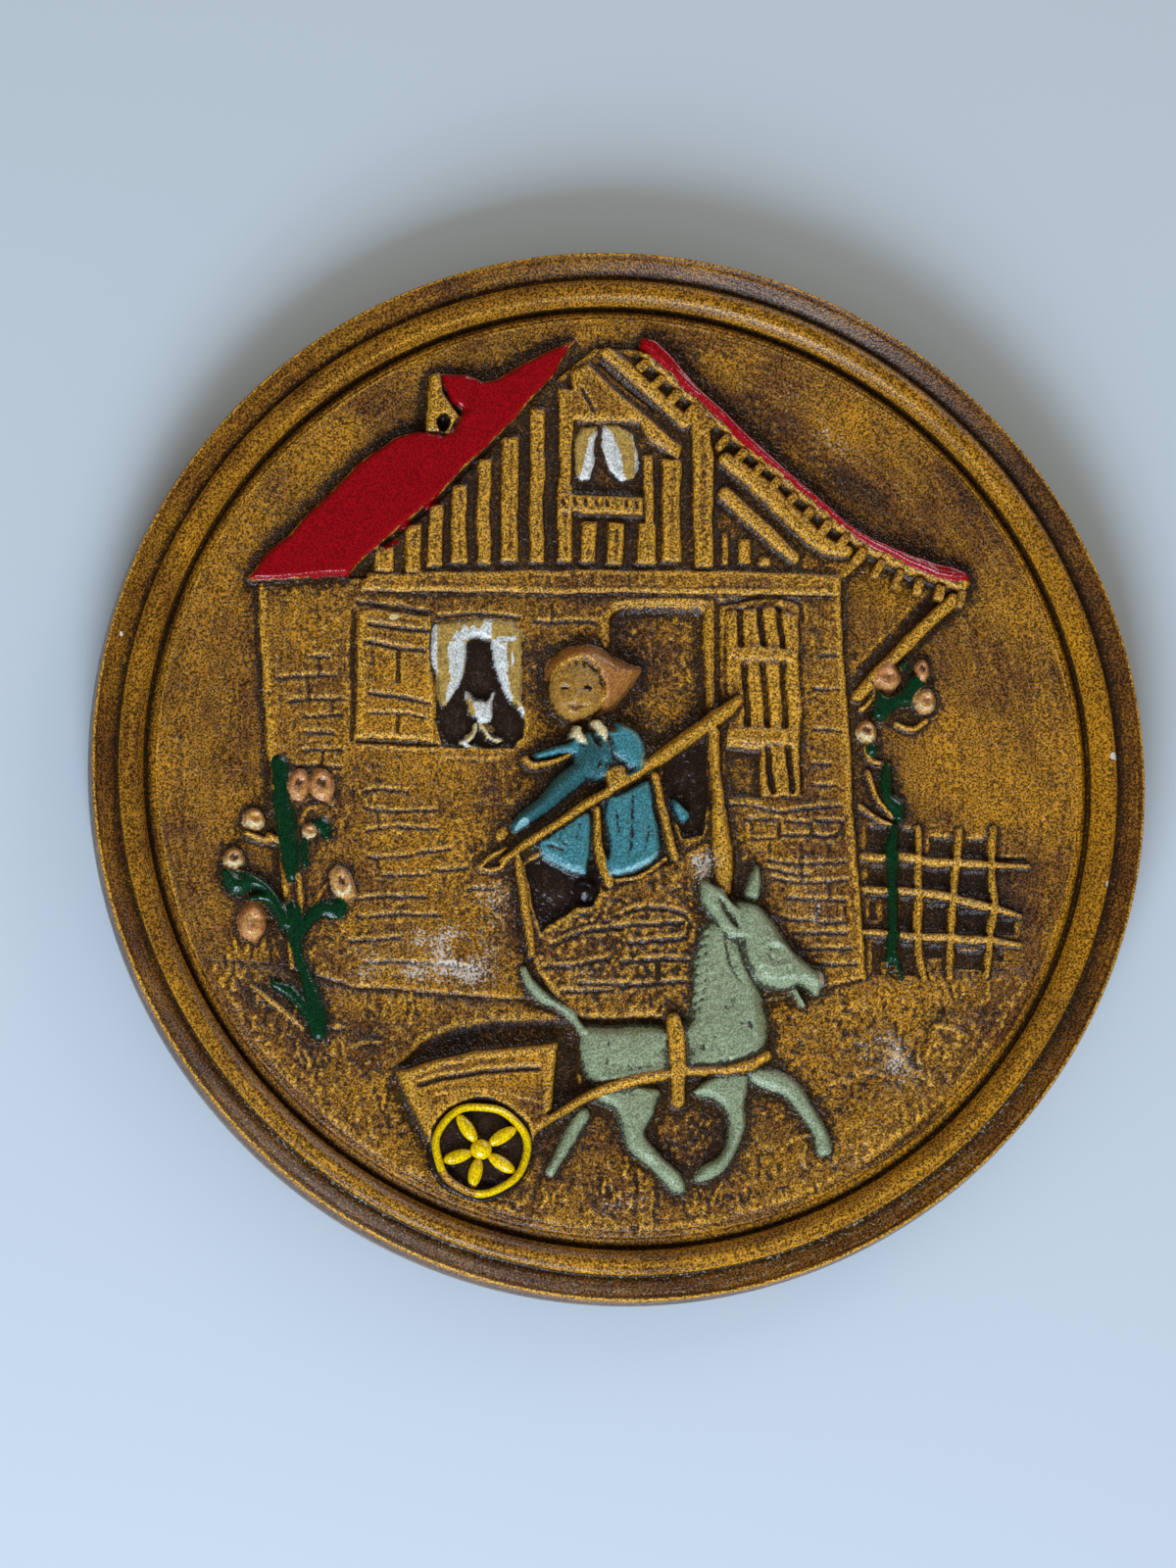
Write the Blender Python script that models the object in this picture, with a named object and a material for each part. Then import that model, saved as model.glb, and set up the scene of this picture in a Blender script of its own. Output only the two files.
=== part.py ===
"""Round wall plaque with a farmhouse scene in low relief, cast in one piece with a turned rim.

The flat back hangs on the wall: +Z is up, the picture faces -Y, and the origin is the middle of the back face.
Sizes are in millimetres. Places inside the picture are in picture units, 110 of which make the radius of the
field, so the picture keeps its proportions when the field changes size. Nothing is undercut, as the plaque has
to leave its mould, so the front is one height over the wall for each place: every form is laid over, or
pressed into, what lies below it.
"""

import math
from dataclasses import dataclass

import bmesh
import bpy
import numpy as np
from mathutils import Vector
from mathutils.geometry import delaunay_2d_cdt

MM = 0.001

# The disc
OUTER_RADIUS = 125.0
RIM_WIDTH = 15.0
SIDE_TAPER = 2.6
SIDE_BULGE = 5.0
SIDE_WIDEST = 10.6
FIELD_RADIUS = OUTER_RADIUS - RIM_WIDTH
FIELD_THICKNESS = 10.0
DISH_RISE = 2.5
RIM_SEGMENTS = 96

# The turned rim, heights over the wall
GROOVE_FLOOR = 10.4
BEAD_CREST = 15.2
COVE_FLOOR = 13.0
LIP_CREST = 16.0

# The nail recess in the back
NAIL_WIDTH = 10.0
NAIL_TALL = 18.0
NAIL_DEEP = 6.5
NAIL_BELOW_TOP = 33.0

# Heights over the field
GROUND = 0.9
PRESSED = 0.3
WALL = 1.4
GABLE_GAP = 0.9
BEAM = 2.3
BOARD = 2.7
SHUTTER = 2.3
ROOF_EAVE = 4.9
ROOF_RIDGE = 2.6
STAIR = 2.3
RAIL = 5.4
DRESS = 5.0
HEAD = 6.4
DONKEY = 4.6
DONKEY_HEAD = 6.3
HARNESS = 5.7
CART = 4.9
LEAF = 2.2
BLOSSOM = 3.1
LATTICE = 1.5

# Free-form carving: how finely curves are broken up, in picture units
CURVE_STEP = 5.2
NEAREST = 0.34
SAME_POINT = 0.001
OPEN_STEP = 13.0
BROAD_FLANK = 2.0
SIGHT_STEPS = 7

# The picture is drawn in units of which this many make the field's radius
PICTURE_RADIUS = 110.0

# Where the forms run out before the groove, in picture units
GROOVE_MARGIN = 0.8
FADE_WIDTH = 2.6
FORMS_END = PICTURE_RADIUS - GROOVE_MARGIN
FORMS_WHOLE = FORMS_END - FADE_WIDTH


@dataclass(frozen=True)
class Spread:
    """A height that runs evenly from one place to another."""

    start: tuple
    end: tuple
    heights: tuple

    def at(self, places: np.ndarray) -> np.ndarray:
        """Returns: the height over each place."""
        way = np.subtract(self.end, self.start)
        share = ((places - self.start) @ way / (way @ way)).clip(0.0, 1.0)
        return self.heights[0] + (self.heights[1] - self.heights[0]) * share


def curve(points: tuple, closed: bool, step: float = CURVE_STEP) -> np.ndarray:
    """Points along a smooth line through the given ones, with any further columns carried along."""
    given = np.array(points, float)
    count = len(given)
    made = []
    for i in range(count if closed else count - 1):
        before = given[(i - 1) % count] if closed or i else given[0]
        here, there = given[i], given[(i + 1) % count]
        after = given[(i + 2) % count] if closed or i + 2 < count else there
        parts = max(1, round(float(np.hypot(*(there - here)[:2])) / step))
        for k in range(parts):
            t = k / parts
            made.append(
                here
                + 0.5 * t * (there - before)
                + t * t * (before - 2.5 * here + 2 * there - 0.5 * after)
                + t**3 * (-0.5 * before + 1.5 * here - 1.5 * there + 0.5 * after)
            )
    return np.array(made if closed else made + [given[-1]])


def to_line(places: np.ndarray, line: np.ndarray) -> tuple:
    """Distance from each place to each stretch of a line, and the share along it of the nearest point."""
    start, way = line[:-1, :2], np.diff(line[:, :2], axis=0)
    off = places[:, None, :] - start[None]
    share = ((off * way).sum(2) / np.maximum((way * way).sum(1), 1e-9)).clip(0.0, 1.0)
    return np.hypot(*np.moveaxis(off - share[..., None] * way, 2, 0)), share


def rounded(share: np.ndarray) -> np.ndarray:
    """A form's flank: steep at its foot and level at its shoulder."""
    return np.sin(share.clip(0.0, 1.0) * math.pi / 2)


class Slab:
    """A form with an outline, a flank and an even top."""

    def __init__(self, outline, height, flank=0.8, smooth=False, pressed=False):
        loop = curve(outline, True) if smooth else np.array(outline, float)
        nxt = np.roll(loop, -1, 0)
        if (loop[:, 0] * nxt[:, 1] - loop[:, 1] * nxt[:, 0]).sum() < 0:
            loop = loop[::-1]
        self.loop, self.height, self.flank, self.pressed = loop, height, flank, pressed

    def inside(self, places: np.ndarray) -> np.ndarray:
        """Returns: how far each place is inside the outline, negative outside."""
        ring = np.vstack([self.loop, self.loop[:1]])
        gap = to_line(places, ring)[0].min(1)
        x, z = places[:, :1], places[:, 1:]
        a, b = ring[:-1], ring[1:]
        rise = np.where(b[:, 1] == a[:, 1], 1e-9, b[:, 1] - a[:, 1])
        crossed = ((a[:, 1] > z) != (b[:, 1] > z)) & (x < a[:, 0] + (z - a[:, 1]) * (b[:, 0] - a[:, 0]) / rise)
        return np.where(crossed.sum(1) % 2 == 1, gap, -gap)

    def cover(self, places: np.ndarray) -> tuple:
        """Returns: how far the surface has come to this form, 0 to 1, and the form's height there."""
        height = self.height.at(places) if isinstance(self.height, Spread) else self.height
        return rounded(self.inside(places) / self.flank), height

    def contours(self) -> list:
        """Returns: the outline and the shoulder as closed rings, with a ring between on a broad flank."""
        back, ahead = self.loop - np.roll(self.loop, 1, 0), np.roll(self.loop, -1, 0) - self.loop
        normals = []
        for way in (back, ahead):
            way = way / np.maximum(np.hypot(way[:, 0], way[:, 1]), 1e-9)[:, None]
            normals.append(np.stack([-way[:, 1], way[:, 0]], 1))
        both = normals[0] + normals[1]
        both /= np.maximum(np.hypot(both[:, 0], both[:, 1]), 1e-9)[:, None]
        mitre = both / np.maximum((both * normals[0]).sum(1), 0.4)[:, None]
        rings = [(self.loop, True)]
        for step in (0.45, 1.0) if self.flank > BROAD_FLANK else (1.0,):
            ring = self.loop + mitre * self.flank * step
            kept = ring[self.inside(ring) > 0.7 * self.flank * step]
            if len(kept) > 1:
                rings.append((kept, len(kept) > 2))
        return rings


class Bar:
    """A stroke along a path, as wide as it is told at each point, with a rounded or a ridged top."""

    def __init__(self, path, width, height, shoulder=0.45, closed=False, pressed=False, smooth=True):
        widths = width if isinstance(width, tuple) else (width,) * len(path)
        heights = height if isinstance(height, tuple) else (height,) * len(path)
        rows = tuple((*p, w / 2, h) for p, w, h in zip(path, widths, heights))
        self.line = curve(rows, closed) if smooth else np.array(rows, float)
        if closed:
            self.line = np.vstack([self.line, self.line[:1]])
        self.closed, self.shoulder, self.pressed = closed, shoulder, pressed

    def nearest(self, places: np.ndarray) -> tuple:
        """Returns: for each place how far it is inside the stroke, the half width and the height there."""
        gap, share = to_line(places, self.line)
        half = self.line[:-1, 2] + share * np.diff(self.line[:, 2])
        best = (half - gap).argmax(1)
        row = np.arange(len(places))
        height = self.line[:-1, 3] + share * np.diff(self.line[:, 3])
        return (half - gap)[row, best], half[row, best], height[row, best]

    def inside(self, places: np.ndarray) -> np.ndarray:
        """Returns: how far each place is inside the stroke, negative outside."""
        return self.nearest(places)[0]

    def cover(self, places: np.ndarray) -> tuple:
        """Returns: how far the surface has come to this form, 0 to 1, and the form's height there."""
        inside, half, height = self.nearest(places)
        return rounded(inside / (half * self.shoulder)), height

    def contours(self) -> list:
        """Returns: the outline, and the shoulder or the ridge."""
        centre, half = self.line[:, :2], self.line[:, 2:3]
        way = np.gradient(centre, axis=0)
        if self.closed:
            way[0] = way[-1] = centre[1] - centre[-2]
        way /= np.maximum(np.hypot(way[:, 0], way[:, 1]), 1e-9)[:, None]
        normal = np.stack([-way[:, 1], way[:, 0]], 1)
        rings = []
        for share in (1.0, 1.0 - self.shoulder):
            if share < 0.05:
                rings.append((centre[:-1] if self.closed else centre, self.closed))
            elif self.closed:
                rings += [((centre + normal * half * s)[:-1], True) for s in (share, -share)]
            else:
                left, right = centre + normal * half * share, centre - normal * half * share
                first, last = centre[:1] - way[:1] * half[:1] * share, centre[-1:] + way[-1:] * half[-1:] * share
                rings.append((np.vstack([left, last, right[::-1], first]), True))
        made = []
        for ring, loop in rings:
            whole = self.inside(ring) < 1.2 * self.shoulder * half.max() + 0.02
            made.append((ring[whole], loop and whole.sum() > 2))
        return [ring for ring in made if len(ring[0]) > 1]


class Dome:
    """A rounded knob on an oval foot."""

    def __init__(self, centre, radii, height, turn=0.0, sides=12, pressed=False):
        self.centre, self.radii, self.height, self.pressed = np.array(centre, float), radii, height, pressed
        self.turn, self.sides = math.radians(turn), sides

    def inside(self, places: np.ndarray) -> np.ndarray:
        """Returns: about how far each place is inside the foot, negative outside."""
        c, s = math.cos(self.turn), math.sin(self.turn)
        off = (places - self.centre) @ np.array([[c, -s], [s, c]])
        return (1.0 - np.hypot(off[:, 0] / self.radii[0], off[:, 1] / self.radii[1])) * min(self.radii)

    def cover(self, places: np.ndarray) -> tuple:
        """Returns: how far the surface has come to this form, 0 to 1, and the form's height there."""
        return rounded(self.inside(places) / min(self.radii)), self.height

    def contours(self) -> list:
        """Returns: the foot, a ring half way up and the middle."""
        angles = np.arange(self.sides) * 2 * math.pi / self.sides
        ring = np.stack([self.radii[0] * np.cos(angles), self.radii[1] * np.sin(angles)], 1)
        c, s = math.cos(self.turn), math.sin(self.turn)
        ring = ring @ np.array([[c, s], [-s, c]])
        return [(self.centre + ring, True), (self.centre + 0.6 * ring, True), (self.centre[None], False)]


def hole(outline, depth=PRESSED, flank=0.45, smooth=False) -> Slab:
    """A sunk place: a window, a door or a gap."""
    return Slab(outline, depth, flank, smooth, pressed=True)


def box(x0, z0, x1, z1) -> tuple:
    """Corners of an upright rectangle."""
    return (x0, z0), (x1, z0), (x1, z1), (x0, z1)


def house_forms() -> list:
    """The wall, the gable with its boards and braces, the windows, the shutters and the door."""
    wall = ((-86, 44), (-84, 10), (-81, -20), (-78, -48), (-62, -52), (-20, -54), (16, -58), (58.5, -47),
            (57.5, -30), (56, -10), (55, 10), (53.5, 30), (53, 50), (-30, 48))
    gable = ((-61, 46), (-57, 52), (-42, 66), (-30, 79), (-16, 94), (-6, 102), (5, 102), (20, 91), (40, 73),
             (56, 58), (60, 54), (54, 48.5), (0, 46))
    boards = ((-58.5, -53.5, 47, 53), (-51, -47, 47, 58.5), (-45.8, -42, 48.2, 63.5), (-40.3, -36.2, 49, 68.5),
              (-34.2, -30.6, 49.5, 75), (-28.5, -24, 50, 80), (-21.5, -17.8, 50, 87), (-15, -11.2, 50.5, 92),
              (-9.4, -5.6, 50.5, 60.5), (-3.2, 1, 50, 60.5), (4, 8.6, 50.5, 60.5), (9.8, 14.8, 51, 76),
              (24.2, 25.8, 51, 58.5), (28, 31, 51, 57), (33, 36, 51, 53))
    forms = [Slab(wall, WALL, 0.9), Slab(gable, GABLE_GAP + WALL, 0.8),
             Slab(((-62, 42), (-10, 43), (53, 44), (53.5, 49.3), (20, 49.6), (-10, 49), (-60, 46.8)), BEAM)]
    gaps = [hole(((x - 1.8, low + 0.6), (x, low + 0.6), (x, top - 1), (x - 1.8, top - 2.5)), GABLE_GAP, 0.5)
            for x, _, low, top in boards[1:]]
    forms += gaps
    forms += [Slab(box(left, low, right, top), BOARD, 0.55) for left, right, low, top in boards]
    forms += [
        Slab(((5.4, 60), (8, 60), (8.2, 76), (5.6, 79)), BOARD, 0.5),
        Slab(((-12, 84), (-12, 96), (-8, 98), (-2, 93), (5, 87), (15, 79), (14, 75), (7, 80), (4, 84)), BOARD, 0.8),
        Bar(((-3, 100.5), (6, 93), (15.5, 85)), 3.6, BOARD),
        Slab(((17.8, 50), (22.4, 50), (22.4, 76), (21, 90), (16.5, 90)), BOARD + 0.3, 0.6),
        Bar(((25, 76), (34, 69), (43, 61), (49, 56), (54, 55)), (4, 5, 5, 4, 3), BOARD + 0.5),
        Bar(((25, 67.5), (31, 62.5), (37, 57), (41.5, 53)), (4, 4, 4, 3), BOARD + 0.3),
        hole(((-12.4, 69), (-10, 67), (3, 67.4), (4.5, 70), (4.6, 77), (3, 82), (-1, 84.2), (-8, 84.2),
              (-11.6, 82)), PRESSED + WALL, 0.6),
        Slab(((-10.6, 72), (-8.2, 70), (-5.9, 74), (-5.6, 83), (-9, 82.6), (-10.8, 79)), WALL + 0.9, 0.5),
        Slab(((-4, 83.4), (-4.2, 78), (-2.6, 73), (0.4, 70.4), (3.4, 71), (4, 77), (2.6, 81.4), (-0.8, 83.4)),
             WALL + 0.9, 0.5),
        Slab(((-14.5, 62), (5.5, 62), (5.5, 66.6), (-14.5, 66.8)), BOARD + 0.6, 0.6),
    ]
    for k in range(11):
        x, z = 13.5 + 4.15 * k, 92.0 - 3.55 * k
        forms.append(hole(((x - 1.1, z - 2.1), (x + 1.0, z - 1.2), (x + 1.0, z + 1.6), (x - 1.0, z + 2.0)),
                          GABLE_GAP, 0.45))
    forms += [
        hole(((-43.3, 6.3), (-23.4, 6.3), (-23.2, 36), (-43.3, 36)), PRESSED),
        Slab(((-42.6, 31), (-37, 31.6), (-36.8, 23), (-40.6, 17), (-42.6, 15)), WALL + 0.5, 0.5),
        Slab(((-30.6, 31.6), (-24.2, 31), (-23.9, 15.5), (-28.6, 20), (-30.4, 26)), WALL + 0.5, 0.5),
        Slab(((-42.6, 31.6), (-24, 31.6), (-24, 35.4), (-42.6, 35.4)), WALL + 0.7, 0.5),
        Slab(((-36.6, 6.8), (-29.4, 6.8), (-29.6, 17), (-29.8, 20), (-31.8, 17.6), (-34.4, 17.6), (-36.4, 20),
              (-36.4, 15)), WALL + 0.6, 0.7),
        Bar(((-45, 3.8), (-34, 3.2), (-23, 3.6)), 2.2, BEAM, smooth=False),
        Slab(((-62, 6.6), (-44.6, 6.6), (-44.4, 38), (-61.6, 37.6)), SHUTTER, 0.8),
        Bar(((-59.6, 34), (-47, 33)), 1.2, WALL - 0.2, shoulder=1.0, pressed=True, smooth=False),
        Bar(((-59.6, 29.4), (-46.4, 28.6)), 1.2, WALL - 0.2, shoulder=1.0, pressed=True, smooth=False),
        Bar(((-59.4, 17.8), (-46.4, 16)), 1.2, WALL - 0.2, shoulder=1.0, pressed=True, smooth=False),
        Bar(((-59, 13.2), (-47, 12.4)), 1.2, WALL - 0.2, shoulder=1.0, pressed=True, smooth=False),
        Slab(((25.4, -4), (43, -4), (42.6, 41), (25, 39.6)), SHUTTER, 0.8),
        hole(((25.8, -3.4), (33.8, -3.4), (33.8, 7), (25.8, 7.4)), 0.8),
        hole(((-2.5, 5), (19.8, 5), (19.6, 33), (16, 38), (8, 39.4), (0, 37), (-2.6, 32)), PRESSED),
    ]
    for left, low, right, top in ((27.4, 31.6, 29.6, 39.6), (32, 31.6, 34.2, 40), (36.8, 31.6, 39, 40),
                                  (28.6, 12.6, 30.8, 26.6), (33, 12.6, 35.2, 26.8), (37.6, 12.6, 39.8, 26.8),
                                  (35.2, -2.4, 37.2, 7), (39.2, -2.4, 41, 7)):
        forms.append(hole(box(left, low, right, top), WALL - 0.3, 0.4))
    return forms


def roof_forms() -> list:
    """Both slopes of the roof with the dormer, the rafter ends and the strut under the right eave."""
    left = ((-10.5, 104), (-20, 99.5), (-26, 96), (-31, 93.6), (-36, 94.4), (-43.5, 94.8), (-42.4, 89.5),
            (-39, 85.4), (-40.4, 80.8), (-48, 80.6), (-54, 79), (-60, 74.4), (-68, 67), (-78, 56), (-85, 49.6),
            (-88, 45), (-80, 43.4), (-70, 44.6), (-64, 45), (-61.6, 48.4), (-52, 57), (-42, 66.4), (-33, 76),
            (-24, 85), (-16, 94))
    fascia = ((5, 101.4), (13, 94), (24, 85.4), (34, 76.4), (44, 68), (54, 59), (60, 54.4), (70, 51), (84, 45.6),
              (86, 49), (72, 55), (62, 59), (50, 68), (36, 80), (22, 92), (10, 103))
    right = ((6, 103.4), (10, 98.6), (20, 91), (30, 82.6), (40, 73), (50, 64.4), (56, 59), (62, 55.8), (70, 52.6),
             (80, 48.6), (84.4, 49), (80, 52.8), (70, 56.4), (62, 59), (56, 63), (50, 68.4), (40, 77), (30, 85.6),
             (20, 95), (14, 101), (10, 104.4))
    slope = Spread((-52, 56), (-68, 72), (ROOF_EAVE, ROOF_RIDGE))
    forms = [
        Slab(((54.6, 26), (57, 20), (61, 21), (81, 43), (82, 47), (56, 50)), 0.8, 1.0),
        Bar(((56.5, 20.5), (66, 30.5), (79.5, 44)), 3.6, BEAM + 0.4),
        Slab(((-46.6, 80), (-41, 79.6), (-38.4, 84.6), (-42.4, 90), (-43.2, 95.2), (-46, 94)), 3.6, 0.8),
        Slab(left, slope, 1.3),
        Dome((-42.4, 82.6), (1.6, 2.4), 1.4, sides=8, pressed=True),
        Slab(fascia, ROOF_RIDGE + 0.4, 0.8),
        Slab(right, ROOF_EAVE - 0.6, 0.9),
    ]
    for k in range(5):
        x, z = 61.5 + 4.3 * k, 51.8 - 1.7 * k
        forms.append(hole(((x - 1.4, z - 2.2), (x + 0.5, z - 2.4), (x + 1.6, z + 1.2), (x - 0.2, z + 1.6)), 0.9, 0.4))
    return forms


def stair_forms() -> list:
    """The landing with the dark arch below it, and the handrail on its posts."""
    landing = ((-34, -22), (-27, -21), (-10, -24), (-4, -29), (3, -25), (12, -20), (20, -15), (27, -16),
               (27, -30), (22, -44), (16, -57), (-12, -58), (-20, -47), (-27, -40))
    rail = ((-33, -22), (-27.6, -20.6), (-18, -14), (-8, -6.6), (0, -1.4), (8, 5), (16, 9.4), (22, 12.6), (27, 18.6))
    return [
        Slab(landing, STAIR, 0.9),
        hole(((-22.6, -24), (-15, -17), (-6, -11), (-5, -28), (-9, -33), (-18, -39)), 0.7, 0.7),
        hole(((11, -15), (21.4, -13), (21.6, 8), (12, 5)), 0.7, 0.7),
        Bar(((-23.6, -21), (-21.6, -29), (-18, -40)), 2.4, RAIL - 1.6),
        Bar(((-5.4, -8), (-5.4, -16), (-4, -27)), 2.4, RAIL - 1.6),
        Bar(((8, 0), (10, -10), (13, -19)), 2.8, RAIL - 1.4),
        Bar(((23, 11), (23.4, -6), (24, -26)), 4.2, RAIL - 1.2),
        Bar(rail, (1.6, 2.6, 3.2, 3.2, 3.4, 3.6, 3.6, 3.8, 2.6), RAIL),
    ]


def figure_forms() -> list:
    """The little figure in a headscarf that leans over the rail."""
    return [
        Slab(((-20, -17), (-13.5, -12.6), (-8, -9), (-6.8, -16), (-7.4, -24.6), (-12, -22.4), (-16.4, -20)),
             DRESS - 1.0, 1.2),
        Slab(((-3.5, -5), (1, -2), (6, 0), (8.4, -5), (11, -18), (5, -22.4), (-3, -24.4), (-4.2, -14)),
             DRESS - 1.0, 1.4),
        Slab(((-12.4, 8.6), (-9, 10.6), (3.6, 10.6), (7.4, 4), (5.6, -0.6), (-1, -3), (-8, -1.5), (-12.6, 2)),
             DRESS, 2.2, smooth=True),
        Dome((2.4, 5.8), (5.4, 6.4), DRESS + 0.8, turn=-20, sides=10),
        Bar(((-11.5, 6.5), (-16, 5), (-21, 3.6)), (4.6, 3.8, 2.8), DRESS + 0.3),
        Dome((-22.4, 2.6), (2.2, 1.8), DRESS + 0.2, sides=8),
        Bar(((-4, 6), (-9.4, 1.4), (-15, -4), (-20, -9), (-24.4, -12.8)), (5.4, 5.8, 5.2, 4.2, 3.2),
            (DRESS + 0.6, DRESS + 1, DRESS + 1, DRESS + 0.6, DRESS)),
        Bar(((-12, 8.2), (-7.4, 7.8), (-3.6, 10)), 2.6, DRESS + 1.1),
        Dome((-8.2, 21.2), (9.6, 9.8), HEAD, turn=10, sides=14),
        Bar(((-2, 15), (3, 20), (6.4, 25)), (5, 4, 2), HEAD - 1.4),
        Dome((-10.2, 19.4), (6.6, 7.4), HEAD + 0.3, turn=-6, sides=12),
        Dome((-0.6, -0.6), (3.2, 2.8), RAIL + 0.9, sides=8),
        Dome((-14.8, -26), (2.2, 2.6), 3.4, sides=8),
        Dome((-8.6, -27.4), (2.2, 2.6), 3.4, sides=8),
        Dome((2.2, -27), (2.6, 2.4), 3.4, sides=8),
    ]


def donkey_forms() -> list:
    """The donkey with its harness."""
    body = ((-9.4, -60.6), (-4, -59.2), (8, -58.6), (15.4, -57.4), (16.6, -50), (17.4, -43), (20, -35.4),
            (26, -33.4), (32, -46), (34.4, -54), (34.6, -64), (30, -68.6), (22, -71), (8, -73.6), (-3, -75.4),
            (-8.6, -71))
    head = ((26.4, -31), (29, -29.2), (33.2, -30.6), (36.8, -35), (40.4, -40), (45, -44.4), (48.2, -47),
            (48, -50), (46.4, -52), (43, -50.2), (37, -50.4), (31.6, -48.6), (28, -41))
    hind = ((-6.4, -77), (0, -73), (8.4, -74.6), (8, -80), (5.8, -85), (9.6, -90), (14.4, -95), (15, -98.4),
            (12, -99), (7, -93.4), (1.4, -88.4), (-0.4, -82), (-2, -79))
    fore = ((17, -75), (22, -70.6), (29.6, -70), (29.6, -77), (29.4, -84), (26, -91), (22, -95), (17.6, -96.2),
            (18.4, -92.4), (22.4, -90), (25, -86), (24.8, -80), (22, -77))
    return [
        Bar(((31, -68), (39.6, -72.6), (44, -78), (47, -83), (48.4, -88)), (6.5, 5, 3.6, 3, 3), DONKEY - 1.2),
        Bar(((-8, -78), (-12, -88), (-17, -95)), (4, 3.4, 3), DONKEY - 1.6),
        Bar(((-10, -60), (-13, -56.4), (-17, -54), (-21, -51.6), (-23.4, -46)), (3.6, 3, 2.8, 2.6, 1.8), DONKEY - 1),
        Slab(hind, DONKEY - 0.5, 1.4, smooth=True),
        Slab(fore, DONKEY - 0.5, 1.4, smooth=True),
        Slab(body, DONKEY, 3.2, smooth=True),
        Bar(((29.4, -29), (31, -24.4), (32.2, -20.8)), (5, 4.4, 2), DONKEY_HEAD - 1),
        Bar(((27.4, -37), (23.6, -31), (19.6, -25.4)), (6.4, 5.6, 2.2), DONKEY_HEAD - 0.4),
        Slab(head, DONKEY_HEAD, 2.6, smooth=True),
        Bar(((40.6, -50), (43, -53.6)), (2.6, 1.8), DONKEY_HEAD - 1.6),
        Bar(((12.6, -57.6), (13, -68), (13.4, -77)), 4.4, HARNESS),
        Bar(((-19, -84), (-14, -80), (-8, -76), (0, -73.4), (10, -71), (20, -70), (28, -69), (34.4, -66)), 2.6,
            HARNESS),
    ]


def cart_forms() -> list:
    """The two-wheeled cart behind the donkey."""
    hub, rim = (-33.2, -89.7), 11.3
    box_outline = ((-53.4, -71.4), (-45, -68.6), (-35, -66), (-25, -64.8), (-14.6, -63.4), (-15.6, -72),
                   (-16.2, -80), (-20, -88), (-26, -97), (-38, -97), (-45.6, -88))
    turns = np.linspace(0, 2 * math.pi, 14, endpoint=False)
    ring, sunk = (tuple((hub[0] + r * math.cos(a), hub[1] + 0.94 * r * math.sin(a)) for a in turns)
                  for r in (rim, rim + 0.6))
    forms = [
        Slab(((-53, -70), (-45, -63), (-33, -60), (-12, -59.4), (-13, -66), (-48, -74)), 1.0, 1.2),
        Slab(box_outline, CART, 1.6),
        Bar(((-50, -72.6), (-38, -70.4), (-26, -69.2), (-16.8, -68.6)), 1.2, CART - 1.6, shoulder=1.0, pressed=True,
            smooth=False),
        hole(sunk, CART - 2.2, 0.6),
        Bar(ring, 2.2, CART + 0.7, closed=True, smooth=False),
    ]
    for angle in (34, 123, 199, 257, 325):
        a = math.radians(angle)
        tip = (hub[0] + rim * math.cos(a), hub[1] + 0.94 * rim * math.sin(a))
        forms.append(Bar((hub, tip), 1.8, CART + 0.3, smooth=False))
    return forms + [Dome(hub, (2.8, 2.6), CART + 1.2, sides=8)]


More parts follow.
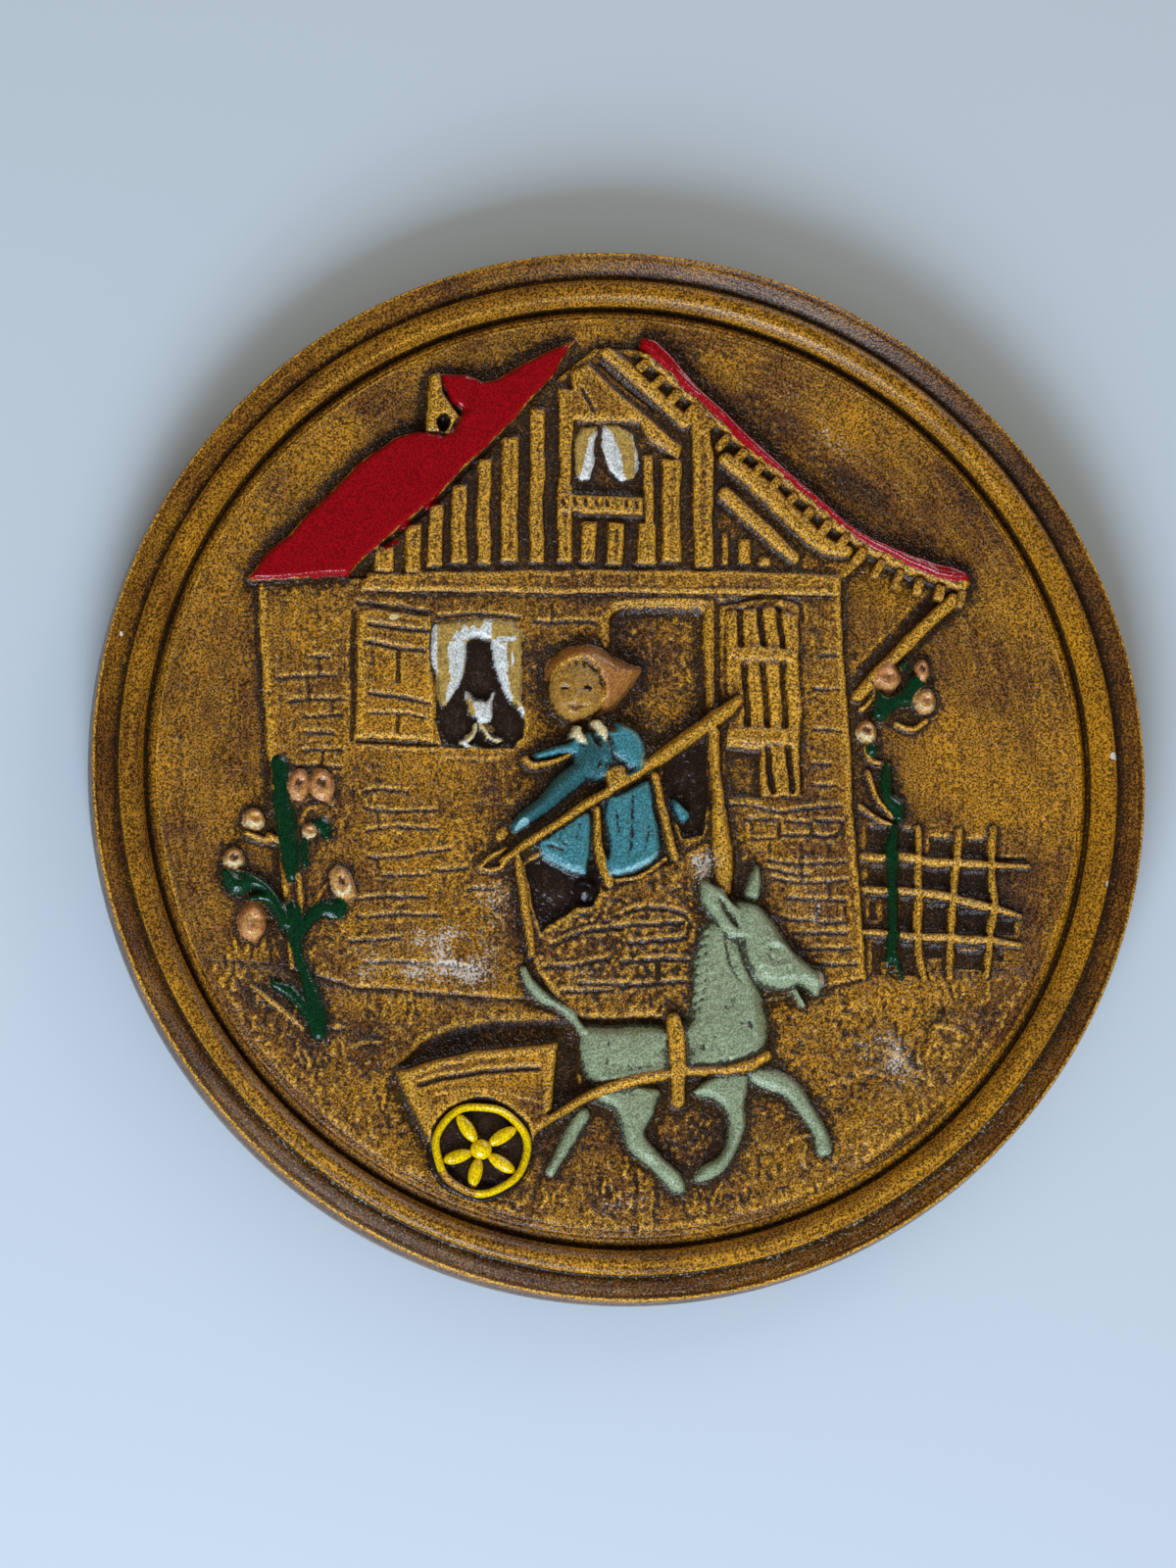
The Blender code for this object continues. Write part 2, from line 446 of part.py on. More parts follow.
def flower_forms() -> list:
    """The hollyhocks at both corners of the house."""
    forms = [
        Bar(((-80.2, 1), (-79.6, -6), (-79, -14), (-77.6, -21), (-77, -26)), (3.6, 4.8, 5.4, 4.6, 3), LEAF + 0.3),
        Bar(((-75.8, -25), (-75.6, -31), (-76, -37), (-75.4, -45), (-73.4, -51), (-71.6, -57), (-70.6, -62.6)),
            (1.8, 1.8, 3.2, 3, 3.4, 4.6, 3.6), LEAF),
        Bar(((-81.4, -51), (-77.6, -53), (-74, -57), (-72.4, -60)), (2, 3, 3, 2), LEAF - 0.3),
        Bar(((-86, -52.4), (-81.6, -55.8), (-76, -60.6)), (1.2, 1.6, 1.2), 1.3, shoulder=1.0),
        Bar(((-92.4, -25.4), (-89, -27.4), (-84, -28.4), (-81, -32.4), (-78, -37)), (4, 6, 2.6, 2.6, 2.6), LEAF),
        Bar(((-86.4, -31), (-82, -31.4), (-80.4, -35)), (2.4, 3.6, 2.4), LEAF),
        Bar(((-65.6, -32.6), (-69, -32.6), (-72.6, -35.6), (-75.4, -39)), (4.6, 4.6, 2.6, 2.4), LEAF),
        Bar(((-84, -16), (-81.6, -16.6), (-80, -20)), (2, 2, 1.8), 1.6),
        Bar(((-74.4, -22.6), (-74.2, -17), (-70.6, -14.4)), (2, 2.2, 4.4), LEAF),
        Dome((-75.6, -4), (2.8, 4.1), BLOSSOM, sides=10),
        Dome((-70.4, -4.2), (2.9, 3.9), BLOSSOM, sides=10),
        Dome((-86, -12.6), (2.8, 2.8), BLOSSOM, sides=9),
        Dome((-73.2, -15.4), (1.7, 1.7), BLOSSOM - 0.4, sides=8),
        Dome((-91.4, -22), (2.8, 2.7), BLOSSOM, sides=9),
        Dome((-86.6, -36.8), (3.5, 4.7), BLOSSOM, turn=-10, sides=10),
        Dome((-65.6, -27), (2.9, 4.6), BLOSSOM, turn=25, sides=10),
        Slab(((59.6, 24), (61, 20), (60, 15.4), (64, 14.6), (66.4, 18), (69.4, 19.6), (72.4, 24.6), (68, 22.6),
              (64, 21)), LEAF, 0.8),
        Bar(((62.6, 3.6), (63, -1), (64, -5.4), (66.4, -7.4)), (3, 3.4, 4, 3.4), LEAF),
        Bar(((65.4, -11), (64.8, -18), (64.6, -27), (64.4, -37), (65.6, -46)), (2.4, 3.2, 2.8, 2.8, 2),
            LATTICE + 0.8),
        Dome((60.2, 7.6), (1.9, 2.6), LEAF, sides=8),
        Dome((67.8, 28), (1.4, 1.4), LEAF, sides=8),
        Dome((63.8, 24.8), (3.4, 3.4), BLOSSOM + 0.3, sides=10),
        Dome((72.6, 19.4), (2.9, 3.3), BLOSSOM, sides=10),
        Dome((72, 27), (1.9, 2.9), BLOSSOM, sides=8),
        Dome((58.9, 11.8), (2.6, 2.8), BLOSSOM, sides=9),
    ]
    return forms


def lattice_forms() -> list:
    """The garden lattice to the right of the house: laid bars with pressed cells between them."""
    cells = ((58.6, -16.4, 63.4, -10.4), (66.4, -16.6, 70.4, -11), (73.4, -17.4, 79.2, -12.6),
             (82, -18, 87.4, -12.8), (58.8, -24.4, 63.2, -19.6), (66.6, -24, 69.6, -19.2),
             (72.2, -25.6, 79, -20.2), (81, -26.8, 87.4, -21), (66.4, -35, 69.6, -27.4), (72, -35, 77.6, -28.6),
             (80.2, -36, 87, -30), (89.8, -36, 94, -32), (66.4, -46, 70.6, -38), (72.8, -42, 77, -38.4),
             (79.6, -44, 86.4, -39.4), (59, -33, 61, -27.4), (59.6, -46, 62.4, -37.6))
    bars = ((((58, -17.8), (66, -17.8), (75, -19), (86, -19.4), (97, -19.6)), (2.2, 2.4, 2.4, 2.2, 1.2)),
            (((58, -25.6), (70, -26.2), (80, -27.6), (88, -29.4), (95, -31.4)), (2, 2.2, 2.4, 2.2, 1.2)),
            (((58, -36), (66, -36.2), (75, -36.8), (88, -37.6), (95, -38.4)), (1.8, 2, 2.2, 2.2, 1.2)),
            (((71, -11.4), (71, -26.6), (70.8, -36.6), (72, -46.6)), (1.8, 2.2, 2.2, 1.8)),
            (((80.6, -11.4), (80, -19.6), (79, -28), (78.6, -37), (78.2, -46)), (2, 2.2, 2.2, 2, 1.8)),
            (((88.8, -11.4), (88.6, -20), (88.6, -29.4), (87.8, -38), (87, -45.6)), (2, 2, 2.2, 2, 1.8)))
    forms = [Bar(path, width, LATTICE, smooth=False) for path, width in bars]
    return [hole(box(*cell), -0.9, 0.6) for cell in cells] + forms


def ground_forms() -> list:
    """The rising ground below the house."""
    meadow = ((-108, -42), (-98, -46), (-78, -47), (-60, -51), (-20, -53), (16, -57), (58, -46), (96, -44),
              (108, -40), (90, -80), (40, -112), (-40, -112), (-90, -80))
    return [Slab(meadow, GROUND, 2.0), Dome((62, -80), (17, 9), GROUND + 1.6, turn=38, sides=12),
            Dome((78, -62), (11, 6), GROUND + 1.0, turn=50, sides=10)]


class Front:
    """The plaque's whole front as a height over the wall."""

    def __init__(self, forms: list):
        self.forms = forms
        self.unit = FIELD_RADIUS / PICTURE_RADIUS
        edge = FIELD_THICKNESS + DISH_RISE
        turned = ((0.0, edge), (0.1, GROOVE_FLOOR), (0.2, edge - 0.4), (0.36, BEAD_CREST - 0.9),
                  (0.48, BEAD_CREST), (0.58, COVE_FLOOR + 0.6), (0.68, COVE_FLOOR), (0.82, LIP_CREST - 0.5),
                  (0.9, LIP_CREST), (0.965, LIP_CREST - 1.3), (1.0, SIDE_WIDEST))
        self.rim = [(FIELD_RADIUS + share * RIM_WIDTH, height) for share, height in turned]

    def bare(self, radius: np.ndarray) -> np.ndarray:
        """Returns: the height of the dished field and the turned rim at each distance from the middle."""
        dish = FIELD_THICKNESS + DISH_RISE * (radius / FIELD_RADIUS).clip(0, 1) ** 2
        turned = np.interp(radius, [r for r, _ in self.rim], [h for _, h in self.rim])
        return np.where(radius < FIELD_RADIUS, dish, turned)

    def height(self, places: np.ndarray) -> np.ndarray:
        """Returns: the height over the wall at each place of the picture."""
        radius = np.hypot(places[:, 0], places[:, 1])
        base = self.bare(radius * self.unit)
        whole = ((FORMS_END - radius) / (FORMS_END - FORMS_WHOLE)).clip(0.0, 1.0)
        made = base.copy()
        for form in self.forms:
            share, level = form.cover(places)
            moved = made + (base + level - made) * share * whole
            made = np.minimum(made, moved) if form.pressed else np.maximum(made, moved)
        return made

    def seen(self, places: np.ndarray, after: int) -> np.ndarray:
        """Returns: whether no form laid after the given one covers each place."""
        free = np.hypot(places[:, 0], places[:, 1]) < FORMS_WHOLE - 0.4
        for form in self.forms[after + 1:]:
            free &= form.inside(places) < 0.12
        return free

    def stretches(self, ring: np.ndarray, closed: bool, after: int) -> list:
        """Returns: the stretches of a contour that stay in sight, each as its two ends."""
        starts, ends = (ring, np.roll(ring, -1, 0)) if closed else (ring[:-1], ring[1:])
        shares = np.linspace(0.0, 1.0, SIGHT_STEPS)[:, None]
        spots = starts[:, None] + (ends - starts)[:, None] * shares
        free = self.seen(spots.reshape(-1, 2), after).reshape(len(starts), SIGHT_STEPS)
        made = []
        for row, places in zip(free, spots):
            turned = np.flatnonzero(np.diff(np.concatenate([[False], row, [False]]).astype(int)))
            made += [(places[i], places[j - 1]) for i, j in zip(turned[::2], turned[1::2]) if j - i > 1]
        return made

    def lines(self) -> tuple:
        """Returns: the points and the edges that the triangles of the front follow, and how many are the rings'."""
        points, edges = [], []

        def add(stretches: list) -> None:
            for pair in stretches:
                edges.append((len(points), len(points) + 1))
                points.extend(pair)

        turns = np.arange(RIM_SEGMENTS) * 2 * math.pi / RIM_SEGMENTS
        for radius in [FORMS_WHOLE * self.unit] + [r for r, _ in self.rim]:
            ring = np.stack([np.cos(turns), np.sin(turns)], 1) * radius / self.unit
            add(list(zip(ring, np.roll(ring, -1, 0))))
        of_rings = len(points)
        for place, form in enumerate(self.forms):
            for ring, closed in form.contours():
                if len(ring) > 1:
                    add(self.stretches(ring, closed, place))
                elif self.seen(ring, place).all():
                    points.extend(ring)
        rows = np.arange(-100, 101, OPEN_STEP)
        open_field = np.array([(x + (k % 2) * OPEN_STEP / 2, z) for k, z in enumerate(rows) for x in rows])
        far = np.hypot(open_field[:, 0], open_field[:, 1]) < 104
        for form in self.forms:
            far &= np.abs(form.inside(open_field)) > OPEN_STEP / 3
        points.extend(open_field[far])
        return np.array(points), edges, of_rings


def joined(points: np.ndarray, edges: list, of_rings: int) -> tuple:
    """Points and edges with near points made one. The rim's rings come first and never run together."""
    cells, kept, place = {}, [], {}
    for k, (x, z) in enumerate(points):
        column, row = int(x // NEAREST), int(z // NEAREST)
        reach = SAME_POINT if k < of_rings else NEAREST
        near = [n for i in (-1, 0, 1) for j in (-1, 0, 1) for n in cells.get((column + i, row + j), ())
                if math.hypot(kept[n][0] - x, kept[n][1] - z) < reach]
        if near:
            place[k] = near[0]
            continue
        cells.setdefault((column, row), []).append(len(kept))
        place[k] = len(kept)
        kept.append((x, z))
    ends = {tuple(sorted((place[a], place[b]))) for a, b in edges if place[a] != place[b]}
    return kept, sorted(ends)


def front_faces(front: Front) -> tuple:
    """Corners and triangles of the front, facing -Y."""
    points, edges = joined(*front.lines())
    flat, _, faces, *_ = delaunay_2d_cdt([Vector(p) for p in points], edges, [], 0, 0.02)
    places = np.array([tuple(p) for p in flat])
    heights = front.height(places)
    corners = [(x * front.unit, -h, z * front.unit) for (x, z), h in zip(places, heights)]
    return corners, [tuple(face) for face in faces]


def nail_outline(count: int = 8) -> list:
    """The nail recess as seen from behind: a slot with round ends."""
    half, straight = NAIL_WIDTH / 2, (NAIL_TALL - NAIL_WIDTH) / 2
    middle = OUTER_RADIUS - NAIL_BELOW_TOP
    ends = [(1, k) for k in range(count + 1)] + [(-1, k) for k in range(count + 1)]
    made = []
    for side, k in ends:
        angle = math.pi * k / count + (0.0 if side > 0 else math.pi)
        made.append((half * math.cos(angle), middle + side * straight + half * math.sin(angle)))
    return made


def plaque_mesh() -> bpy.types.Mesh:
    """The closed body: the front, the side and the back with its recess."""
    forms = (ground_forms() + house_forms() + roof_forms() + lattice_forms() + flower_forms() + stair_forms()
             + figure_forms() + cart_forms() + donkey_forms())
    corners, faces = front_faces(Front(forms))
    turns = [2 * math.pi * k / RIM_SEGMENTS for k in range(RIM_SEGMENTS)]
    radii = np.array([math.hypot(x, z) for x, _, z in corners])
    edge = [i for i in np.nonzero(radii > OUTER_RADIUS - 0.01)[0]]
    edge.sort(key=lambda i: math.atan2(corners[i][2], corners[i][0]) % (2 * math.pi))
    for radius, height in ((OUTER_RADIUS - SIDE_TAPER / 5.2, SIDE_BULGE), (OUTER_RADIUS - SIDE_TAPER, 0.0)):
        ring = range(len(corners), len(corners) + RIM_SEGMENTS)
        corners += [(radius * math.cos(t), -height, radius * math.sin(t)) for t in turns]
        for k in range(RIM_SEGMENTS):
            nxt = (k + 1) % RIM_SEGMENTS
            faces.append((edge[k], ring[k], ring[nxt], edge[nxt]))
        edge = list(ring)
    slot = nail_outline()
    outline = [(corners[i][0], corners[i][2]) for i in edge]
    count = len(outline)
    loops = [(k, (k + 1) % count) for k in range(count)]
    loops += [(count + k, count + (k + 1) % len(slot)) for k in range(len(slot))]
    flat, _, back, *_ = delaunay_2d_cdt([Vector(p) for p in outline + slot], loops, [], 0, 1e-4)
    mouth = range(len(corners), len(corners) + len(slot))
    corners += [(x, 0.0, z) for x, z in slot]
    floor = range(len(corners), len(corners) + len(slot))
    corners += [(x, -NAIL_DEEP, z) for x, z in slot]
    index = [*edge, *mouth]
    for face in back:
        if not all(k >= count for k in face):
            faces.append(tuple(index[k] for k in reversed(face)))
    for k in range(len(slot)):
        nxt = (k + 1) % len(slot)
        faces.append((mouth[k], mouth[nxt], floor[nxt], floor[k]))
    faces.append(tuple(reversed(floor)))
    mesh = bpy.data.meshes.new("plaque")
    mesh.from_pydata([tuple(c * MM for c in corner) for corner in corners], [], faces)
    return mesh


def plaster() -> bpy.types.Material:
    """Cast plaster stained to look like wood."""
    made = bpy.data.materials.new("stained_plaster")
    made.use_nodes = True
    shader = made.node_tree.nodes["Principled BSDF"]
    shader.inputs["Base Color"].default_value = (0.25, 0.13, 0.03, 1.0)
    shader.inputs["Roughness"].default_value = 0.5
    return made


def main() -> None:
    """Builds the plaque."""
    for thing in list(bpy.data.objects):
        bpy.data.objects.remove(thing, do_unlink=True)
    body = bpy.data.objects.new("plaque", plaque_mesh())
    bpy.context.scene.collection.objects.link(body)
    body.data.materials.append(plaster())
    shape = bmesh.new()
    shape.from_mesh(body.data)
    bmesh.ops.triangulate(shape, faces=shape.faces[:])
    bmesh.ops.recalc_face_normals(shape, faces=shape.faces[:])
    shape.to_mesh(body.data)
    shape.free()
    body.data.update()


main()
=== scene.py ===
"""Looks of a round cast wall plaque: a farmhouse, a donkey cart and hollyhocks in low relief inside a turned rim.

The relief is carved on one canvas of heights, form over form as a modeller lays clay, and is then cut into
closed pieces along the outlines of what it shows. The rim, the side and the back are one turned body, and the
cart's wheel and the rafter ends are made by Geometry Nodes. Places, widths and flanks in the picture are in
picture units, of which 110 make the radius of the field: a unit is a millimetre at the built size. Heights are
in millimetres.
"""

import logging
import math
from dataclasses import dataclass
from enum import Enum

import bmesh
import bpy
import numpy as np
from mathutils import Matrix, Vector
from mathutils.geometry import delaunay_2d_cdt

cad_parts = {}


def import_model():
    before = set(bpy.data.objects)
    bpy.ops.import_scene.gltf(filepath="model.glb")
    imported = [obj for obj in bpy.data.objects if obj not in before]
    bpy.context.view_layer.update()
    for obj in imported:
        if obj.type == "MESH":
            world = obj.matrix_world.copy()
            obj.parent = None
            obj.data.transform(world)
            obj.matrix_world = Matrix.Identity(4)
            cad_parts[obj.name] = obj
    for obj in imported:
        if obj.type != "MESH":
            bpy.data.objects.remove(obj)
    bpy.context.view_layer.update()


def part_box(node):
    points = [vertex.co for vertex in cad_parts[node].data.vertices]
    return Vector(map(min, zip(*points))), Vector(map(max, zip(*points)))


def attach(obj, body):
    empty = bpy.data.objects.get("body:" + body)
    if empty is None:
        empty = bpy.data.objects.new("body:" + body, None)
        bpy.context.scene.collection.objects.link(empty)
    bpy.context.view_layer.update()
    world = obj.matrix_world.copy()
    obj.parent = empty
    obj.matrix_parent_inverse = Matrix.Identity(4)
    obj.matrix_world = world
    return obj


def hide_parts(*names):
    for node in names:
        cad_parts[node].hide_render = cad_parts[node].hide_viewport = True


MM = 0.001
FIELD_UNITS = 110.0  # the field's radius in picture units
FIELD_SHARE = 0.88  # the field's radius as a share of the plaque's
BARE = -3.0  # stands for no paint near, where paint is given as how far inside it a place is
WHEEL_CENTRE = (-33.2, -89.7)
NOISE_MEAN = 0.5
HALF_WAVES_PER_METRE = 500.0  # a noise of scale 1 has lumps of half a metre
LOG = logging.getLogger("plaque")


class Enamel(Enum):
    """Brush colours: an sRGB hex colour and how much of the brown wash, with its painted shade, lies over it, 0 to 1.
    """

    CRIMSON = ("#96020f", 0.12)
    BOTTLE_GREEN = ("#0c341b", 0.3)
    PEACH = ("#bf824c", 0.4)
    CREAM = ("#c49255", 0.4)
    AMBER = ("#c98d2e", 0.2)
    UMBER = ("#6a4426", 0.3)
    TEAL = ("#42828a", 0.95)
    APRICOT = ("#a87038", 0.4)
    OCHRE_SKIN = ("#a87c34", 0.95)
    SAGE = ("#8f9c7a", 0.85)
    YELLOW = ("#e2be00", 0.15)
    CURTAIN = ("#d4d6d0", 0.4)
    STRAW = ("#b2924a", 0.5)
    LINEN = ("#d6c392", 0.35)
    DEEP_TEAL = ("#2f6166", 0.95)
    # pale teal for the cuff, and for the painted highlight along the hems
    ICE = ("#86b8bc", 0.7)
    SOOT = ("#1d1410", 0.2)
    SHADE = ("#382820", 0.9)


class Part(Enum):
    """The pieces that the relief is cut into, with the name of each piece."""

    NONE = ""
    SKY_LEFT = "field_left"
    SKY_RIGHT = "field_right"
    WALL = "house_wall"
    WINDOW = "window_and_shutters"
    GABLE = "gable"
    ROOF_LEFT = "roof_left"
    ROOF_RIGHT = "roof_right"
    STAIR = "stair_and_rail"
    FIGURE = "figure"
    MEADOW_LEFT = "meadow_left"
    MEADOW_RIGHT = "meadow_right"
    CART = "cart"
    DONKEY = "donkey"
    FLOWERS_LEFT = "hollyhock_left"
    FLOWERS_RIGHT = "hollyhock_right"
    LATTICE = "garden_lattice"

    @property
    def number(self) -> int:
        """Returns: the number that marks the piece's cells."""
        return list(Part).index(self)

    @classmethod
    def grounds(cls) -> tuple["Part", ...]:
        """Returns: the pieces whose brush streaks run round the plaque."""
        return cls.SKY_LEFT, cls.SKY_RIGHT, cls.MEADOW_LEFT, cls.MEADOW_RIGHT


def linear(colour: str) -> tuple[float, float, float, float]:
    """Turns a colour into what Blender's shaders take.

    Args:
        colour: sRGB hex, such as "#a1041b".

    Returns:
        Linear red, green and blue, and 1 for alpha.
    """
    parts = [int(colour[k : k + 2], 16) / 255 for k in (1, 3, 5)]
    made = [c / 12.92 if c <= 0.04045 else ((c + 0.055) / 1.055) ** 2.4 for c in parts]
    return made[0], made[1], made[2], 1.0


def curve(points: tuple, closed: bool, step: float) -> np.ndarray:
    """Draws a smooth line through points.

    Args:
        points: places, with any further columns that run along with them.
        closed: whether the line returns to its start.
        step: about how far apart the made points are.

    Returns:
        The made points, one a row.
    """
    given = np.array(points, float)
    count = len(given)
    made = []
    for i in range(count if closed else count - 1):
        before = given[(i - 1) % count] if closed or i else given[0]
        here, there = given[i], given[(i + 1) % count]
        after = given[(i + 2) % count] if closed or i + 2 < count else there
        parts = max(1, round(float(np.hypot(*(there - here)[:2])) / step))
        for k in range(parts):
            t = k / parts
            bend = before - 2.5 * here + 2 * there - 0.5 * after
            turn = -0.5 * before + 1.5 * here - 1.5 * there + 0.5 * after
            made.append(here + 0.5 * t * (there - before) + t * t * bend + t**3 * turn)
    return np.array(made if closed else made + [given[-1]])


def to_line(places: np.ndarray, line: np.ndarray) -> tuple[np.ndarray, np.ndarray]:
    """Measures from places to a line.

    Args:
        places: places, one a row.
        line: the line's points, one a row.

    Returns:
        The distance from each place to each stretch of the line, and the share along it of the nearest point.
    """
    start, way = line[:-1, :2], np.diff(line[:, :2], axis=0)
    off = places[:, None, :] - start[None]
    share = ((off * way).sum(2) / np.maximum((way * way).sum(1), 1e-9)).clip(0.0, 1.0)
    return np.hypot(*np.moveaxis(off - share[..., None] * way, 2, 0)), share


def flank_of(share: np.ndarray) -> np.ndarray:
    """Returns: how high a form's flank stands, 0 at the foot and 1 at the shoulder."""
    return np.sin(share.clip(0.0, 1.0) * math.pi / 2)


def hump(at: np.ndarray, middle: float, wide: float) -> np.ndarray:
    """Returns: 1 at the middle, falling off softly on both sides."""
    return np.exp(-(((at - middle) / wide) ** 2))


def new_object(name: str, data: bpy.types.ID) -> bpy.types.Object:
    """Returns: a new object in the scene."""
    made = bpy.data.objects.new(name, data)
    bpy.context.scene.collection.objects.link(made)
    return made


@dataclass(frozen=True)
class Ramp:
    """A height that runs evenly from one place to another."""

    start: tuple[float, float]
    end: tuple[float, float]
    heights: tuple[float, float]

    def at(self, places: np.ndarray) -> np.ndarray:
        """Returns: the height over each place."""
        way = np.subtract(self.end, self.start)
        share = ((places - self.start) @ way / (way @ way)).clip(0.0, 1.0)
        return self.heights[0] + (self.heights[1] - self.heights[0]) * share


class Outline:
    """A form with a drawn outline."""

    def __init__(self, points: tuple, smooth: bool = False) -> None:
        """Keeps the outline's points, made smooth if asked."""
        loop = curve(points, True, 0.9) if smooth else np.array(points, float)
        self.ring = np.vstack([loop, loop[:1]])

    def box(self) -> tuple[np.ndarray, np.ndarray]:
        """Returns: the lowest and the highest corner."""
        return self.ring.min(0), self.ring.max(0)

    def inside(self, places: np.ndarray) -> tuple[np.ndarray, np.ndarray | float]:
        """Returns: how far each place is inside, negative outside, and 1 as the flank's unit."""
        gap = to_line(places, self.ring)[0].min(1)
        x, z = places[:, :1], places[:, 1:]
        a, b = self.ring[:-1], self.ring[1:]
        rise = np.where(b[:, 1] == a[:, 1], 1e-9, b[:, 1] - a[:, 1])
        over = x < a[:, 0] + (z - a[:, 1]) * (b[:, 0] - a[:, 0]) / rise
        crossed = ((a[:, 1] > z) != (b[:, 1] > z)) & over
        return np.where(crossed.sum(1) % 2 == 1, gap, -gap), 1.0


class Stroke:
    """A stroke of a tool along a path. Its flank is a share of half its width."""

    def __init__(self, path: tuple, width: float | tuple, smooth: bool = True) -> None:
        """Keeps the path with the half width at each of its points."""
        widths = width if isinstance(width, tuple) else (width,) * len(path)
        rows = tuple((*p, w / 2) for p, w in zip(path, widths))
        self.line = curve(rows, False, 1.2) if smooth else np.array(rows, float)

    def box(self) -> tuple[np.ndarray, np.ndarray]:
        """Returns: the lowest and the highest corner."""
        half = self.line[:, 2:3]
        return (self.line[:, :2] - half).min(0), (self.line[:, :2] + half).max(0)

    def inside(self, places: np.ndarray) -> tuple[np.ndarray, np.ndarray | float]:
        """Returns: how far each place is inside, negative outside, and half the width there."""
        gap, share = to_line(places, self.line)
        half = self.line[:-1, 2] + share * np.diff(self.line[:, 2])
        best = (half - gap).argmax(1)
        row = np.arange(len(places))
        return (half - gap)[row, best], half[row, best]


class Oval:
    """A knob with an oval foot."""

    def __init__(self, centre: tuple, radii: tuple, turn: float = 0.0) -> None:
        """Keeps the centre, the radii and the turn in degrees."""
        self.centre, self.radii, self.turn = np.array(centre, float), radii, math.radians(turn)

    def box(self) -> tuple[np.ndarray, np.ndarray]:
        """Returns: the lowest and the highest corner."""
        reach = max(self.radii)
        return self.centre - reach, self.centre + reach

    def inside(self, places: np.ndarray) -> tuple[np.ndarray, np.ndarray | float]:
        """Returns: about how far each place is inside, negative outside, and the smaller radius."""
        c, s = math.cos(self.turn), math.sin(self.turn)
        off = (places - self.centre) @ np.array([[c, -s], [s, c]])
        span = np.hypot(off[:, 0] / self.radii[0], off[:, 1] / self.radii[1])
        return (1.0 - span) * min(self.radii), min(self.radii)


Shape = Outline | Stroke | Oval


def box(x0: float, z0: float, x1: float, z1: float) -> Outline:
    """Returns: an upright rectangle as an outline."""
    return Outline(((x0, z0), (x1, z0), (x1, z1), (x0, z1)))


@dataclass
class Rim:
    """The turned body: rim, side and back. Radii and heights over the wall are in millimetres."""

    radius: float
    field_radius: float
    field_thickness: float = 10.0
    dish_rise: float = 2.5
    groove_floor: float = 10.4
    bead_crest: float = 15.2
    cove_floor: float = 13.0
    lip_crest: float = 16.0
    side_widest: float = 10.6
    back_radius: float = 122.4
    under_field: float = 7.0
    nail_width: float = 10.0
    nail_tall: float = 18.0
    nail_deep: float = 6.5
    nail_middle: float = 92.0
    segments: int = 540

    def turned(self) -> list[tuple[float, float]]:
        """Returns: the rim's profile as radius and height, from the field's edge outwards."""
        width, edge = self.radius - self.field_radius, self.field_thickness + self.dish_rise
        floor, bead, cove, lip = self.groove_floor, self.bead_crest, self.cove_floor, self.lip_crest
        shares = (
            (0.0, edge - 0.05), (0.045, edge - 0.6), (0.085, edge - 1.4), (0.11, floor + 0.05), (0.13, floor),
            (0.142, floor + 0.8), (0.155, edge + 0.1), (0.185, edge + 0.9), (0.24, bead - 0.9), (0.3, bead - 0.3),
            (0.37, bead), (0.45, bead - 0.05), (0.51, bead - 0.4), (0.545, bead - 1.0), (0.56, cove + 0.4),
            (0.585, cove), (0.66, cove + 0.45), (0.76, cove + 1.4), (0.86, lip - 0.75), (0.905, lip - 0.6),
            (0.925, lip - 0.1), (0.95, lip), (0.972, lip - 0.5), (0.99, lip - 2.2), (1.0, self.side_widest),
        )
        return [(self.field_radius + share * width, height) for share, height in shares]

    def field_height(self, radius: np.ndarray) -> np.ndarray:
        """Returns: the height of the bare dished field at each distance from the middle."""
        return self.field_thickness + self.dish_rise * (radius / self.field_radius).clip(0, 1) ** 2

    def section(self) -> np.ndarray:
        """Returns: the whole half section as radius and height, from the front's middle to the back's."""
        front = curve(tuple(self.turned()), False, 0.3)
        side = curve(((self.radius, self.side_widest), (self.radius - 0.5, 5.0), (self.back_radius + 0.6, 0.7),
                      (self.back_radius, 0.0)), False, 0.7)
        inner = self.field_radius - 0.7
        floor = [(r, self.under_field) for r in np.linspace(0.0, inner, 12)]
        back = [(r, 0.0) for r in np.linspace(self.back_radius, 0.0, 24)[1:]]
        return np.array([*floor, (inner, self.field_thickness + self.dish_rise - 0.4), *front, *side[1:], *back])


